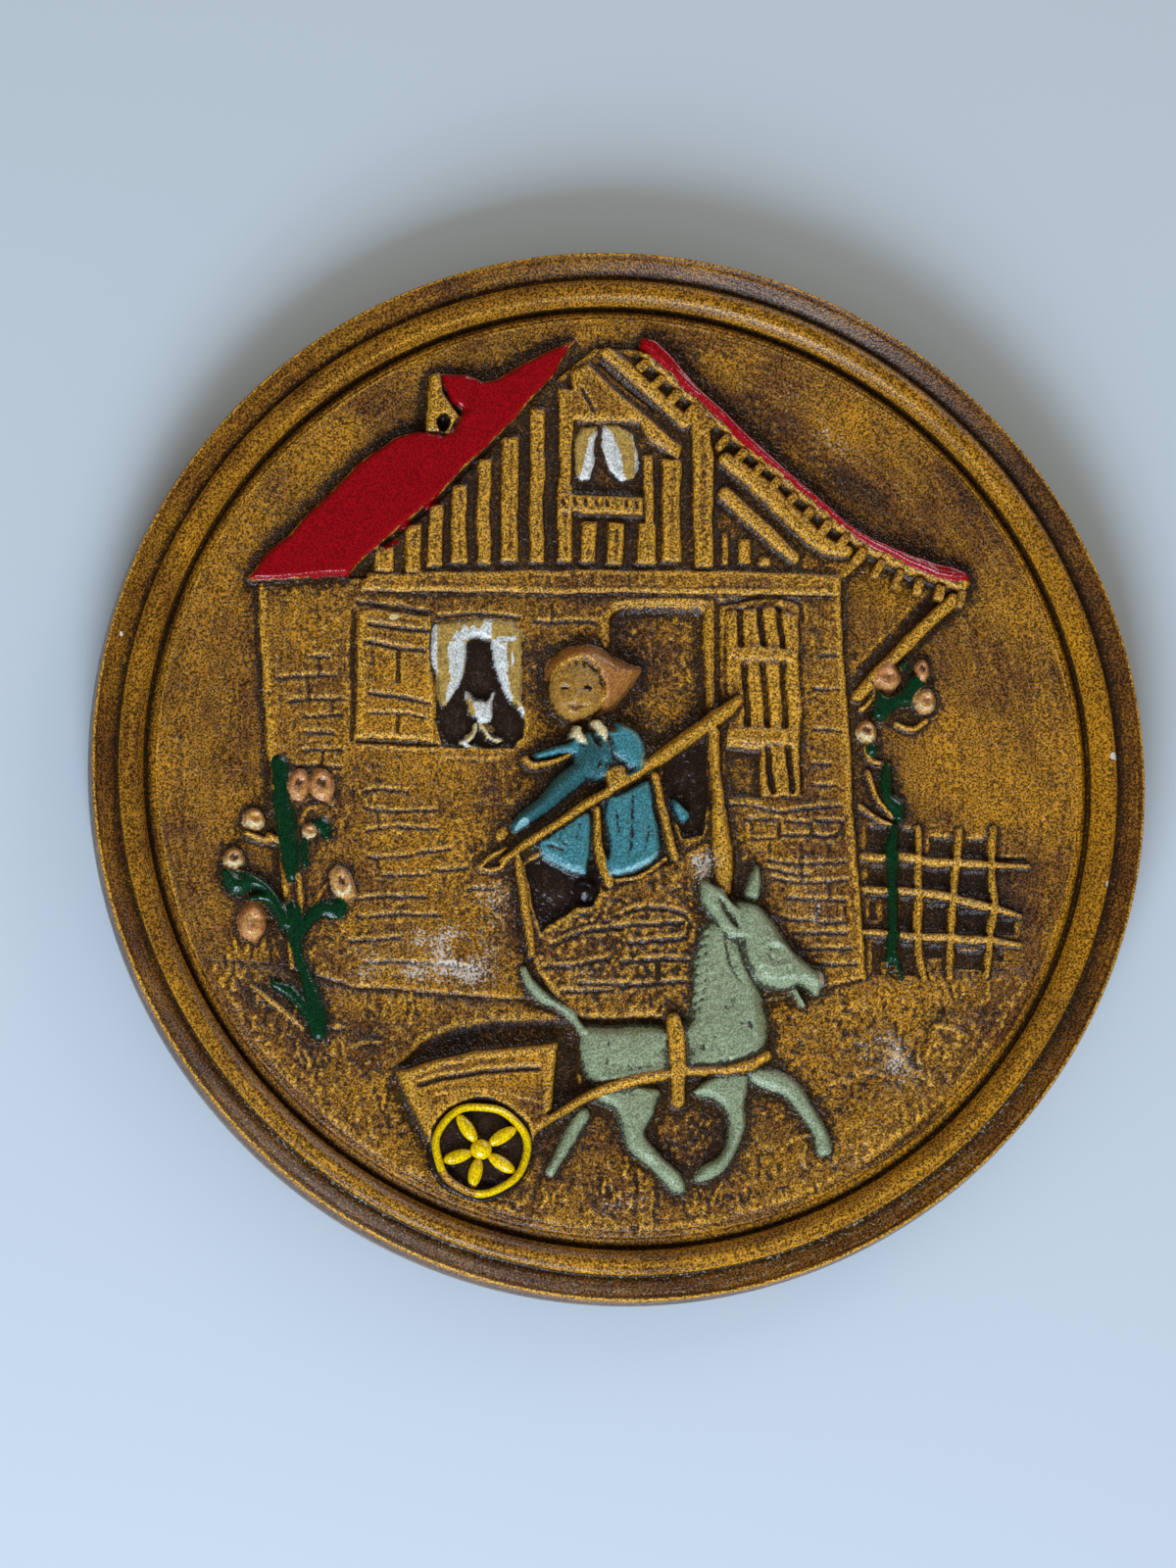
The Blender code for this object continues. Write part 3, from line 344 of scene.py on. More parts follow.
class Canvas:
    """Heights, brush colours and pieces of the relief on a fine square grid."""

    SPACING = 0.36
    SEED = 41
    MARGIN = 2.2  # how far round a shape's box the grid is looked at, in millimetres
    FADE_OUT, FADE_WIDE = 109.4, 2.6  # where the carving has ended at the rim, and how far it fades, in units
    CLAY = 0.05  # the usual roughness in millimetres
    MOULD_SOFTNESS = 0.24
    WASH_AND_SHADE_DEPTHS = ((0.7, 3.2), (1.8, 0.8), (5.0, 0.25))  # widths of hollows, and how dark each gets: the stain's wash in the narrow ones, and painted shade round raised forms in the wider ones

    def __init__(self, rim: Rim) -> None:
        """Lays out the bare field."""
        self.rim, self.unit = rim, rim.field_radius / FIELD_UNITS
        reach = rim.field_radius + 1.0
        count = 2 * math.ceil(reach / self.SPACING) + 1
        self.axis = (np.arange(count) - count // 2) * self.SPACING
        x, z = np.meshgrid(self.axis, self.axis)
        self.radius = np.hypot(x, z)
        edge_roll = 0.22 * hump(rim.field_radius - 0.8, self.radius, 0.55)
        self.base = rim.field_height(self.radius) + edge_roll
        self.height = self.base.copy()
        self.part = np.where(x < 0, Part.SKY_LEFT.number, Part.SKY_RIGHT.number)
        self.painted = np.full(x.shape, BARE)
        self.tint = np.zeros((*x.shape, 4))
        self.rough = np.full(x.shape, self.CLAY)
        self.tone, self.haze = np.zeros(x.shape), np.zeros(x.shape)
        self.rng = np.random.default_rng(self.SEED)
        wobble = [self.noise(5.0) * 0.14 + self.noise(1.6) * 0.035 for _ in range(2)]
        self.places = np.stack([x + wobble[0], z + wobble[1]], 2) / self.unit
        self.whole = ((self.FADE_OUT * self.unit - self.radius) / (self.FADE_WIDE * self.unit)).clip(0.0, 1.0)
        self.ragged = self.noise(0.9) * 0.1 + self.noise(3.0) * 0.09
        self.current = Part.NONE

    def blurred(self, heights: np.ndarray, reach: float) -> np.ndarray:
        """Returns: heights softened over some millimetres."""
        count = len(self.axis)
        fx, fz = np.meshgrid(np.fft.rfftfreq(count, self.SPACING), np.fft.fftfreq(count, self.SPACING))
        soft = np.exp(-2 * math.pi**2 * ((fx * reach) ** 2 + (fz * reach) ** 2))
        return np.fft.irfft2(np.fft.rfft2(heights) * soft, heights.shape)

    def noise(self, size: float) -> np.ndarray:
        """Returns: even noise of about unit height, with lumps of the given size in millimetres."""
        made = self.blurred(self.rng.standard_normal((len(self.axis),) * 2), size / 2)
        return made / made.std()

    def work_on(self, part: Part, rough: float) -> None:
        """Sets the piece that the next forms belong to, and how rough its clay is in millimetres."""
        self.current, self.grain = part, rough

    def reach(self, shape: Shape) -> tuple[tuple[slice, slice], np.ndarray, np.ndarray]:
        """Finds the part of the grid round a shape.

        Args:
            shape: the shape.

        Returns:
            Its rows and columns, how far each place there is inside the shape, and the flank's unit.
        """
        low, high = shape.box()
        low, high = low * self.unit - self.MARGIN, high * self.unit + self.MARGIN
        cols = slice(*np.searchsorted(self.axis, (low[0], high[0])))
        rows = slice(*np.searchsorted(self.axis, (low[1], high[1])))
        places = self.places[rows, cols]
        inside, unit = shape.inside(places.reshape(-1, 2))
        form = places.shape[:2]
        return (rows, cols), inside.reshape(form), np.broadcast_to(unit, inside.shape).reshape(form)

    def lay(
        self,
        shape: Shape,
        height: float | Ramp,
        flank: float = 0.9,
        paint: Enamel | None = None,
        pressed: bool = False,
        bare: float = 0.0,
    ) -> None:
        """Lays a form over the relief, or presses it in.

        Args:
            shape: the form's outline.
            height: its height over the bare field.
            flank: how wide its flank is, in picture units for an outline and in half widths for a stroke or knob.
            paint: its brush colour, or none for bare stain.
            pressed: whether it is pressed in rather than laid on.
            bare: how far the colour stays inside its edge.
        """
        where, inside, unit = self.reach(shape)
        share = flank_of(inside / (flank * unit)) * self.whole[where]
        level = height
        if isinstance(height, Ramp):
            level = height.at(self.places[where].reshape(-1, 2)).reshape(inside.shape)
        now = self.height[where]
        moved = now + (self.base[where] + level - now) * share
        self.height[where] = np.minimum(now, moved) if pressed else np.maximum(now, moved)
        owned = (inside > 0.0) & (self.whole[where] > 0.5)
        self.part[where][owned] = self.current.number
        self.rough[where][owned] = self.grain
        if paint:
            self.brush(shape, paint, bare)
        else:
            self.painted[where] = np.minimum(self.painted[where], -inside)

    def brush(self, shape: Shape, paint: Enamel, bare: float = 0.0) -> None:
        """Brushes a colour on, with a hand's ragged edge and no change of height."""
        where, inside, _ = self.reach(shape)
        inside = inside - bare + self.ragged[where]
        over = (inside > -1.0) & (inside > self.painted[where] - 0.6)
        over |= inside > 0.0
        self.tint[where][over] = (*linear(paint.value[0])[:3], paint.value[1])
        self.painted[where] = np.maximum(self.painted[where], inside)

    def score(self, shape: Shape, depth: float, flank: float = 1.0) -> None:
        """Scores a groove into what is there, or raises a ridge on it where depth is negative."""
        where, inside, unit = self.reach(shape)
        self.height[where] -= depth * flank_of(inside / (flank * unit)) * self.whole[where]

    def groove(self, path: tuple, width: float | tuple, depth: float) -> None:
        """Scores a groove along a path, or raises a ridge where depth is negative."""
        self.score(Stroke(path, width), depth)

    def bar(self, path: tuple, width: float | tuple, height: float, *how: object) -> None:
        """Lays a bar along a path, with flank and paint as lay takes them."""
        self.lay(Stroke(path, width), height, *how)

    def slab(self, points: tuple, height: float | Ramp, *how: object, pressed: bool = False, bare: float = 0.0) -> None:
        """Lays or presses in a form with a drawn outline, with flank and paint as lay takes them."""
        self.lay(Outline(points), height, *how, pressed=pressed, bare=bare)

    def stain(self, shape: Shape, golden: float = 0.0, haze: float = 0.0, soft: float = 1.0) -> None:
        """Brushes the stain darker or more golden over a shape, the darker patches partly as painted shade, or lays
        pale bloom with painted sheen on it.

        Args:
            shape: where.
            golden: how much more golden, negative for darker.
            haze: how much pale bloom and painted sheen.
            soft: how wide the edge is, in the flank's unit.
        """
        where, inside, unit = self.reach(shape)
        share = (inside / (soft * unit)).clip(0.0, 1.0)
        share = share * share * (3.0 - 2.0 * share)
        self.tone[where] += golden * share
        self.haze[where] = np.maximum(self.haze[where], haze * share)

    def finish(self) -> None:
        """Softens the carving as a mould does, roughens it, and works out where wash gathers, where painted shade lies
        round raised forms, and where the stain wears off.
        """
        self.height = self.blurred(self.height, self.MOULD_SOFTNESS)
        tooth = self.noise(0.8) * 0.6 + self.noise(2.2) * 0.5
        self.height += tooth * self.blurred(self.rough, 1.0) * self.whole
        near, middle, far = (self.blurred(self.height, size) - self.height for size, _ in self.WASH_AND_SHADE_DEPTHS)
        patch = self.noise(7.0) * 0.05 + self.noise(2.0) * 0.03
        held = sum(hollow * share for hollow, (_, share) in zip((near, middle, far), self.WASH_AND_SHADE_DEPTHS))
        self.wash = ((held + patch) / 0.7 + 0.04).clip(0.0, 1.0)
        self.wash = (self.wash + (self.blurred(self.rough, 0.8) - self.CLAY) * 2.2).clip(0.0, 1.0)
        self.rub = ((-near * 2.2 - middle * 0.4 + patch * 0.4 - 0.03) / 0.34).clip(0.0, 1.0)
        self.tone = self.blurred(self.tone, 1.5) + self.noise(16.0) * 0.10 + self.noise(5.0) * 0.07
        self.haze = (self.blurred(self.haze, 1.5) * (1.0 + 0.45 * self.noise(4.0))).clip(0.0, 1.0)
        edge = self.radius - (self.FADE_OUT - 0.1) * self.unit
        self.height = np.where(edge > 0, np.minimum(self.height, self.height - edge * 3.0), self.height)

    def cells(self) -> np.ndarray:
        """Returns: for each cell of the grid the number of its piece, with no two cells touching only at a corner."""
        made = self.part[:-1, :-1].copy()
        middle = (self.axis[:-1] + self.axis[1:]) / 2
        made[np.hypot(*np.meshgrid(middle, middle)) > (FIELD_UNITS + 0.2) * self.unit] = 0
        for _ in range(40):
            a, b, c, d = made[:-1, :-1], made[:-1, 1:], made[1:, :-1], made[1:, 1:]
            first = (a == d) & (a != b) & (a != c)
            second = (b == c) & (b != a) & (b != d)
            if not (first | second).any():
                break
            b[first & (a > 0)] = a[first & (a > 0)]
            c[first & (a == 0)] = 0
            a[second & (b > 0)] = b[second & (b > 0)]
            d[second & (b == 0)] = 0
        return made

    def piece(self, part: Part, cells: np.ndarray) -> bpy.types.Object | None:
        """Cuts one piece out of the relief as a closed solid.

        Args:
            part: the piece.
            cells: the number of the piece that each cell of the grid belongs to.

        Returns:
            The new object, or nothing where the piece has no cells.
        """
        own = np.pad(cells == part.number, 1)
        if not own.any():
            return None
        inner = own[1:-1, 1:-1]
        used = np.zeros(self.height.shape, bool)
        for down in (0, 1):
            for right in (0, 1):
                used[down : down + inner.shape[0], right : right + inner.shape[1]] |= inner
        index = np.full(used.shape, -1)
        index[used] = np.arange(used.sum())
        row, col = np.nonzero(inner)
        quads = np.stack([index[row, col], index[row, col + 1], index[row + 1, col + 1], index[row + 1, col]], 1)
        sides = []
        for (dr, dc), first, second in (((-1, 0), (0, 0), (0, 1)), ((0, 1), (0, 1), (1, 1)),
                                        ((1, 0), (1, 1), (1, 0)), ((0, -1), (1, 0), (0, 0))):
            open_side = ~own[row + 1 + dr, col + 1 + dc]
            r, c = row[open_side], col[open_side]
            sides.append(np.stack([r + first[0], c + first[1], r + second[0], c + second[1]], 1))
        sides = np.vstack(sides)
        start, end = index[sides[:, 0], sides[:, 1]], index[sides[:, 2], sides[:, 3]]
        border = np.unique(start)
        top_row, top_col = np.nonzero(used)
        low = np.full(len(top_row), -1)
        low[border] = len(top_row) + np.arange(len(border))
        walls = np.stack([end, start, low[start], low[end]], 1)
        place = {int(v): k for k, v in enumerate(border)}
        spots = [Vector((float(top_col[v]), float(top_row[v]))) for v in border]
        links = [(place[int(a)], place[int(b)]) for a, b in zip(start, end)]
        flat, _, caps, *_ = delaunay_2d_cdt(spots, links, [], 0, 1e-6)
        floor = []
        for cap in caps:
            centre = sum((flat[k] for k in cap), Vector((0.0, 0.0))) / 3
            if inner[int(centre.y), int(centre.x)]:
                floor.append(tuple(int(low[border[k]]) for k in reversed(cap)))
        x, z = self.axis[top_col], self.axis[top_row]
        under = np.full(len(border), -(self.rim.under_field - 0.4))
        corners = np.vstack([
            np.stack([x, -self.height[top_row, top_col], z], 1),
            np.stack([x[border], under, z[border]], 1),
        ]) * MM
        mesh = bpy.data.meshes.new(part.value)
        faces = [*map(tuple, quads.tolist()), *map(tuple, walls.tolist()), *floor]
        mesh.from_pydata(corners.tolist(), [], faces)
        smooth = np.zeros(len(faces), bool)
        smooth[: len(quads)] = True
        mesh.polygons.foreach_set("use_smooth", smooth)
        for name in ("wash", "rub", "painted", "tone", "haze"):
            kept = np.concatenate([getattr(self, name)[top_row, top_col], np.zeros(len(border))])
            mesh.attributes.new(name, "FLOAT", "POINT").data.foreach_set("value", kept)
        kept = np.vstack([self.tint[top_row, top_col], np.zeros((len(border), 4))])
        mesh.attributes.new("tint", "FLOAT_COLOR", "POINT").data.foreach_set("color", kept.ravel())
        return new_object(part.value, mesh)


@dataclass
class Meadow:
    """The rising ground below the house, with tufts of grass."""

    ground: float = 0.9
    tuft_seed: int = 5

    def carve(self, canvas: Canvas) -> None:
        """Carves the ground onto the canvas."""
        left = ((-112, -41), (-98, -46), (-78, -47), (-60, -51), (-20, -53), (6, -56), (6, -112), (-112, -112))
        right = ((6, -56), (16, -57), (58, -46), (96, -44), (112, -40), (112, -112), (6, -112))
        for part, outline in ((Part.MEADOW_LEFT, left), (Part.MEADOW_RIGHT, right)):
            canvas.work_on(part, 0.12)
            canvas.slab(outline, self.ground, 5.0)
        canvas.slab(((4, -60), (8, -60), (8, -109), (4, -109)), self.ground, 0.4)
        canvas.score(Oval((62, -80), (17, 9), 38), -1.6)
        canvas.score(Oval((78, -62), (11, 6), 50), -1.0)
        self.tufts(canvas)

    def tufts(self, canvas: Canvas) -> None:
        """Scores blades of grass in clumps, and the sweep of a broad brush along the rim."""
        rng = np.random.default_rng(self.tuft_seed)
        clumps = (
            (-52, -57, 7, 3), (-84, -44, 9, 4), (56, -52, 7, 3), (80, -49, 9, 3), (-92, -50, 5, 4), (66, -66, 10, 5),
            (44, -92, 12, 6), (20, -102, 12, 2.5), (-8, -100, 12, 4), (-60, -82, 6, 6), (70, -84, 6, 8),
            (-72, -72, 8, 5), (-82, -60, 6, 5), (4, -94, 8, 5)
        )
        for x, z, wide, tall in clumps:
            for _ in range(int(wide * 2.4)):
                at = np.array([x + rng.uniform(-wide, wide), z + rng.uniform(-tall, tall)])
                lean, size = rng.uniform(-0.35, 0.35), rng.uniform(2.0, 4.6)
                tip = at + (lean * size, size)
                bend = (at + tip) / 2 + (rng.uniform(-0.5, 0.5), 0)
                canvas.groove((tuple(at), tuple(bend), tuple(tip)), (1.0, 0.9, 0.4), rng.uniform(-0.5, 0.45))
        for x, z, length, slope in (
            (60, -63, 8, -0.5), (66, -67, 8, -0.7), (56, -69, 7, -0.2), (50, -72, 5, 0.1), (74, -58, 8, -0.3),
            (38, -88, 7, 0.5), (-64, -66, 8, 0.2), (-70, -62, 6, 0.1)
        ):
            path = ((x, z), (x + length / 2, z + slope * length / 2 + 0.8), (x + length, z + slope * length))
            canvas.groove(path, (0.8, 1.6, 0.8), -0.4)


@dataclass
class House:
    """The house wall with its brickwork, the windows, the shutters, the door and the gable."""

    wall: float = 1.4
    sunk: float = 0.2
    beam: float = 2.3
    board: float = 2.7
    gap: float = 0.9
    shutter: float = 2.3
    brick_depth: float = 0.42
    boards: tuple = (
        (-58.5, -53.5, 47, 53), (-51, -47, 47, 58.5), (-45.8, -42, 48.2, 63.5), (-40.3, -36.2, 49, 68.5),
        (-34.2, -30.6, 49.5, 75), (-28.5, -24, 50, 80), (-21.5, -17.8, 50, 87), (-15, -11.2, 50.5, 92),
        (-9.4, -5.6, 50.5, 60.5), (-3.2, 1, 50, 60.5), (4, 8.6, 50.5, 60.5), (9.8, 14.8, 51, 76),
        (24.2, 25.8, 51, 58.5), (28, 31, 51, 57), (33, 36, 51, 53)
    )

    def carve(self, canvas: Canvas) -> None:
        """Carves the house onto the canvas."""
        canvas.work_on(Part.WALL, 0.1)
        canvas.slab(
            ((-86, 44), (-84, 10), (-81, -20), (-78, -48), (-62, -52), (-20, -54), (16, -58), (58.5, -47),
             (57.5, -30), (56, -10), (55, 10), (53.5, 30), (53, 50), (-30, 48)),
            Ramp((0, -34), (0, -51), (self.wall, self.gap)), 0.9
        )
        self.bricks(canvas)
        self.gable(canvas)
        self.windows(canvas)

    def bricks(self, canvas: Canvas) -> None:
        """Scores the mortar lines, each with a proud lower lip."""
        lines = (
            ((-73.5, 26.3), (-69, 26)), ((-81.6, 21), (-74, 21.4), (-67, 21.6)),
            ((-79, 15.8), (-72, 16), (-65.4, 16)), ((-75, 11.6), (-65.4, 12.2)), ((-75.4, 3.8), (-65.4, 4.4)),
            ((-77, 0), (-66, 0)), ((-75, 8), (-68, 8)), ((-73.8, 21), (-73.6, 16.4)), ((-68, 15.6), (-68, 12.4)),
            ((-71, 26), (-71, 21.8)), ((-70.4, 3.8), (-70.4, 0.4)), ((-60.6, -5.4), (-56, -4.8), (-50, -5)),
            ((-60, -9.8), (-52, -10), (-43, -9.6)), ((-60, -15.2), (-54, -13.8), (-49, -13.8), (-43, -14.2)),
            ((-59.4, -21), (-50, -20.4), (-40, -18.6)), ((-56, -25.6), (-45, -25)), ((-57, -10.4), (-56.8, -14)),
            ((-57.6, -21), (-56.6, -23.6)), ((-66, -31), (-54, -30.4), (-46, -30)),
            ((-62, -35), (-50, -34.6), (-42, -34)), ((-64, -41), (-52, -40)),
            ((-60, -46), (-46, -45.6), (-36, -46.4)), ((-36, -28), (-30, -27.6)), ((-44, -24), (-36, -23)),
            ((23, -6.6), (32, -6.6), (38, -7.8), (46, -6.6), (53, -6)), ((30, -10), (37, -9.6)),
            ((39, -10), (45, -10.4)), ((46.6, -9.4), (53, -10)), ((31.4, -14.6), (36.4, -14.4)),
            ((38.4, -13.6), (45, -13.2)), ((46.4, -13), (49, -13.4), (52.4, -12.8)), ((31.2, -10.4), (31.6, -14)),
            ((37.6, -10), (37.6, -14)), ((45.6, -10.4), (45.8, -13.4)), ((52.6, -9.6), (52.8, -13)),
            ((35.6, -15.6), (35.6, -20)), ((43, -15), (43, -19.6)), ((49.6, -15), (49.6, -19.6)),
            ((34.4, -20), (44, -20), (54, -19.6)), ((35, -22), (44, -22.6)), ((35.6, -24), (46, -24.6), (54, -24)),
            ((43, -20.4), (43, -24)), ((49.6, -24.6), (49.6, -28.4)), ((39.6, -28.4), (46, -28.6), (53.6, -28.8)),
            ((36.4, -32.4), (40, -33.4), (46.6, -33.6)), ((46.8, -30), (46.6, -33)), ((47.2, -34.4), (53.6, -34)),
            ((53.6, -30.4), (53.8, -34)), ((40, -36.8), (54, -36.6)), ((43, -40.6), (55, -40)),
            ((46, -44), (56, -43.6)), ((48, 30), (52, 30)), ((46, 22), (52, 22)), ((46, 12), (52.6, 11.6)),
            ((46, 3.6), (50, 3.4)), ((46, -1.6), (51, -1.4)), ((-20, 36), (-6, 36)), ((-6, 44.4), (24, 45.2)),
            ((-20, 44.6), (-6, 44.4)), ((-40, 43.8), (-26, 44)), ((-16, 41), (-16, 36.4))
        )
        for line in lines:
            flat = abs(line[-1][0] - line[0][0]) > abs(line[-1][1] - line[0][1])
            canvas.groove(line, 1.1, self.brick_depth)
            if flat:
                lip = tuple((x + 0.2, z + 0.95) for x, z in line)
                canvas.groove(lip, 0.8, -0.22)
        canvas.groove(((-85, 42), (-83, 10), (-80.4, -20), (-79.4, -34)), (1.2, 1.2, 1.0, 0.6), 0.2)

    def gable(self, canvas: Canvas) -> None:
        """Carves the boarded gable with its braces, the attic window and the little balcony."""
        canvas.work_on(Part.GABLE, 0.07)
        canvas.slab(
            ((-61, 46), (-57, 52), (-42, 66), (-30, 79), (-16, 94), (-6, 102), (5, 102), (20, 91), (40, 73),
             (56, 58), (60, 54), (54, 48.5), (0, 46)), self.gap + 0.3, 0.8
        )
        canvas.slab(((-62, 42), (-10, 43), (53, 44), (53.5, 49.3), (20, 49.6), (-10, 49), (-60, 46.8)), self.beam, 0.8)
        canvas.groove(((-60, 44.4), (-20, 44.8), (10, 45), (48, 46)), 0.7, 0.25)
        for left, right, low, top in self.boards:
            canvas.lay(box(left, low, right, top), self.board, 0.7)
            middle = (left + right) / 2
            canvas.groove(((middle, low + 1), (middle + 0.3, top - 2)), 0.6, 0.16)
            canvas.groove(((left + 0.8, low + 0.4), (right - 0.8, low + 0.5)), 0.8, -0.3)
        canvas.lay(box(5.4, 60, 8.1, 77), self.board, 0.7)
        canvas.slab(
            ((-12, 84), (-12, 96), (-8, 98), (-2, 93), (5, 87), (15, 79), (14, 75), (7, 80), (4, 84)), self.board, 1.0
        )
        canvas.bar(((-3, 100.5), (6, 93), (15.5, 85)), 3.6, self.board, 0.5)
        canvas.groove(((-9.6, 92), (-6.6, 86.6)), 1.0, 0.8)
        canvas.groove(((-5, 98), (0, 94), (8, 87.6)), 1.1, 0.9)
        canvas.slab(((17.8, 50), (22.4, 50), (22.4, 76), (21, 90), (16.5, 90)), self.board + 0.3, 0.7)
        canvas.bar(((25, 76), (34, 69), (43, 61), (49, 56), (54, 55)), (4, 5, 5, 4, 3), self.board + 0.5, 0.5)
        canvas.groove(((29, 74.4), (38, 67.6), (47, 59.6)), 0.9, 0.35)
        canvas.bar(((25, 67.5), (31, 62.5), (37, 57), (41.5, 53)), (4, 4, 4, 3), self.board + 0.3, 0.5)
        canvas.slab(
            ((-12.4, 69), (-10, 67), (3, 67.4), (4.5, 70), (4.6, 77), (3, 82), (-1, 84.2), (-8, 84.2), (-11.6, 82)),
            self.sunk + 0.8, 0.6, pressed=True
        )
        left = ((-11, 72.6), (-9.6, 70), (-7.6, 70.4), (-6, 74), (-5.6, 83.4), (-9, 83), (-10.9, 80))
        right = ((-4.2, 83.6), (-4.2, 78), (-2.6, 73), (0.4, 70.2), (3.6, 70.8), (4.4, 77), (2.8, 81.8), (-0.8, 83.8))
        for outline in (left, right):
            canvas.slab(outline, self.wall + 0.7, 0.6, Enamel.STRAW)
        canvas.brush(
            Outline(((-9.6, 71), (-8.2, 69.8), (-6.2, 73.4), (-6, 81.6), (-7.2, 80.4), (-8.4, 75))), Enamel.CURTAIN
        )
        canvas.brush(
            Outline(((-4.2, 83.4), (-4, 78), (-2.6, 73.2), (0, 70.4), (1.4, 70.8), (0.2, 76), (-1.6, 81))),
            Enamel.CURTAIN
        )
        canvas.brush(Outline(((2.9, 81), (3.8, 79), (4.5, 75), (4.2, 72), (3.6, 75), (3.4, 79))), Enamel.CURTAIN)
        for x in (-8.4, -1.4, 2.2):
            canvas.groove(((x, 82), (x + 0.3, 73)), 0.8, 0.3)
        canvas.lay(box(-14.5, 62, 5.5, 66.7), self.board + 0.6, 0.6)
        canvas.groove(((-13.6, 62.8), (-4, 62.4), (4.6, 62.8)), 0.9, -0.35)
        for x in (-13.6, -11, -8.6, -6, -3.4, 1.2, 3.6):
            canvas.groove(((x, 65.8), (x + 0.2, 63.9)), 0.9, 0.9)

    def windows(self, canvas: Canvas) -> None:
        """Carves the curtained window, both shutters and the door."""
        canvas.work_on(Part.WINDOW, 0.07)
        frame = Outline(
            ((-42, 5.8), (-25, 5.8), (-22.8, 9), (-23.4, 33), (-25, 36), (-42, 36), (-43.8, 33), (-43.6, 12))
        )
        canvas.lay(frame, self.sunk - 0.3, 0.8, Enamel.SHADE, pressed=True)
        canvas.groove(((-43.6, 36.6), (-36, 37.4), (-30, 37.6), (-24, 36.8)), 1.3, 0.6)
        drape = (
            (-43.8, 34.6), (-42, 35.6), (-36, 36), (-31, 36.5), (-25.4, 36), (-23.6, 33.5), (-23.2, 28), (-23.3, 20),
            (-22.6, 14), (-23.6, 15.6), (-26, 17.5), (-28, 21), (-29.6, 26), (-30.4, 31.4), (-33, 32.2), (-35.2, 32),
            (-36.2, 30.4), (-36.6, 25), (-37.4, 22.2), (-38.8, 19.6), (-40.2, 17), (-41.4, 15.2), (-43, 16),
            (-43.4, 22), (-44.5, 26.5), (-44.6, 29), (-43.9, 31.5)
        )
        canvas.slab(drape, self.wall + 0.6, 0.7, Enamel.STRAW)
        whites = (
            ((-40.4, 30.6), (-36.4, 30.6), (-36.8, 25), (-37.6, 22), (-39.4, 18.4), (-41.2, 15.6), (-41.6, 17),
             (-40.6, 22), (-40.9, 26)),
            ((-40, 31), (-39, 33.4), (-38, 32.8), (-37, 34.4), (-36, 33.4), (-35, 34.6), (-33.4, 33.8), (-32, 35.8),
             (-30.6, 36.2), (-30.2, 31.8), (-35, 32.2), (-36.6, 30.8)),
            ((-30.3, 31.6), (-27, 30.8), (-26.6, 26), (-26.8, 22.5), (-25.6, 18.6), (-23, 14), (-22.5, 14),
             (-23.6, 16), (-26.8, 18.2), (-28.7, 22), (-29.9, 27)),
            ((-44.1, 34.2), (-43.2, 34.6), (-43.4, 30), (-43.1, 23), (-43.9, 24), (-44.8, 26.4), (-44.7, 29.6)),
            ((-29, 32.4), (-25.2, 32.2), (-25.2, 31.2), (-29, 31.2)),
            ((-26, 28.8), (-25.3, 28.6), (-25.1, 25.6), (-25.8, 25.4))
        )
        for outline in whites:
            canvas.brush(Outline(outline), Enamel.CURTAIN)
        for x0, x1, top, low in (
            (-42.4, -42.6, 31, 17.4), (-41.2, -41.8, 30, 18), (-38.8, -39.4, 29, 22), (-28.4, -27.4, 30, 21.6),
            (-26.2, -25.6, 30, 19.6), (-24.6, -24.2, 31, 18)
        ):
            canvas.groove(((x0, top), (x1, low)), 0.8, 0.34)
        for x in (-38, -35.8, -33.6, -28, -26):
            canvas.groove(((x, 35.4), (x - 0.2, 33.2)), 0.8, 0.25)
        self.cat(canvas)
        canvas.groove(((-42, 3.8), (-35, 3.5), (-28, 3.9)), 1.2, -0.4)
        canvas.slab(
            ((-62.3, 7), (-52, 7.2), (-43.6, 6.6), (-44.8, 36.8), (-52, 37.6), (-58, 38.4), (-62, 37.6)),
            self.shutter, 0.9
        )
        for line in (
            ((-63.2, 37.4), (-63.1, 22), (-62.9, 7)), ((-62, 39.4), (-54, 38.7), (-45, 37.8)),
            ((-59.4, 34.2), (-53, 33.9), (-45, 32.9)), ((-60, 29.8), (-53, 29.1), (-46, 28.1)),
            ((-59.4, 17.9), (-53, 17), (-45, 15.9)), ((-52.6, 28.6), (-52.6, 24), (-52.8, 21)),
            ((-52.4, 13), (-52.4, 8.6)), ((-61.6, 6.4), (-52, 6.5), (-43, 6.2))
        ):
            canvas.groove(line, 1.3, 0.75)
        canvas.groove(((-58.6, 28.6), (-58.2, 20)), 1.0, 0.25)
        canvas.groove(((-59, 13.1), (-53, 13.3), (-45.8, 12.4)), 0.9, 0.5)
        for line in (
            ((-60, 30.8), (-54, 30.6), (-49, 29.6)), ((-59, 14), (-53, 14), (-46, 13.2)),
            ((-58.6, 8.3), (-52, 8.4), (-46.6, 8)), ((-61.4, 5.4), (-52, 5.3), (-42, 5.5)),
            ((-60, 35.2), (-54, 35), (-46, 34)), ((-43, 37.6), (-34, 38), (-24, 37.8))
        ):
            canvas.groove(line, 0.9, -0.4)
        canvas.brush(Oval((-53.5, 36.5), (0.9, 0.7)), Enamel.LINEN)
        self.slatted_shutter(canvas)
        canvas.work_on(Part.WINDOW, 0.09)
        canvas.slab(
            ((-3, 5), (21.4, 5), (21.2, 20), (20.6, 34), (20.3, 39.6), (18.4, 41), (10, 41), (0.8, 40.5),
             (-1.6, 39.6), (-2.9, 37.4)), self.sunk - 0.6, 2.0, pressed=True
        )
        canvas.bar(((21.2, 41.2), (21.3, 30), (21.8, 17)), 1.1, self.beam - 0.2, 0.7)
        canvas.groove(((23.1, 42), (23.2, 30), (23.8, 16), (26, 17.6)), 1.8, 1.0)
        canvas.groove(((-1, 40.9), (8, 42), (18, 42.2), (20.6, 41.6)), 1.0, -0.5)

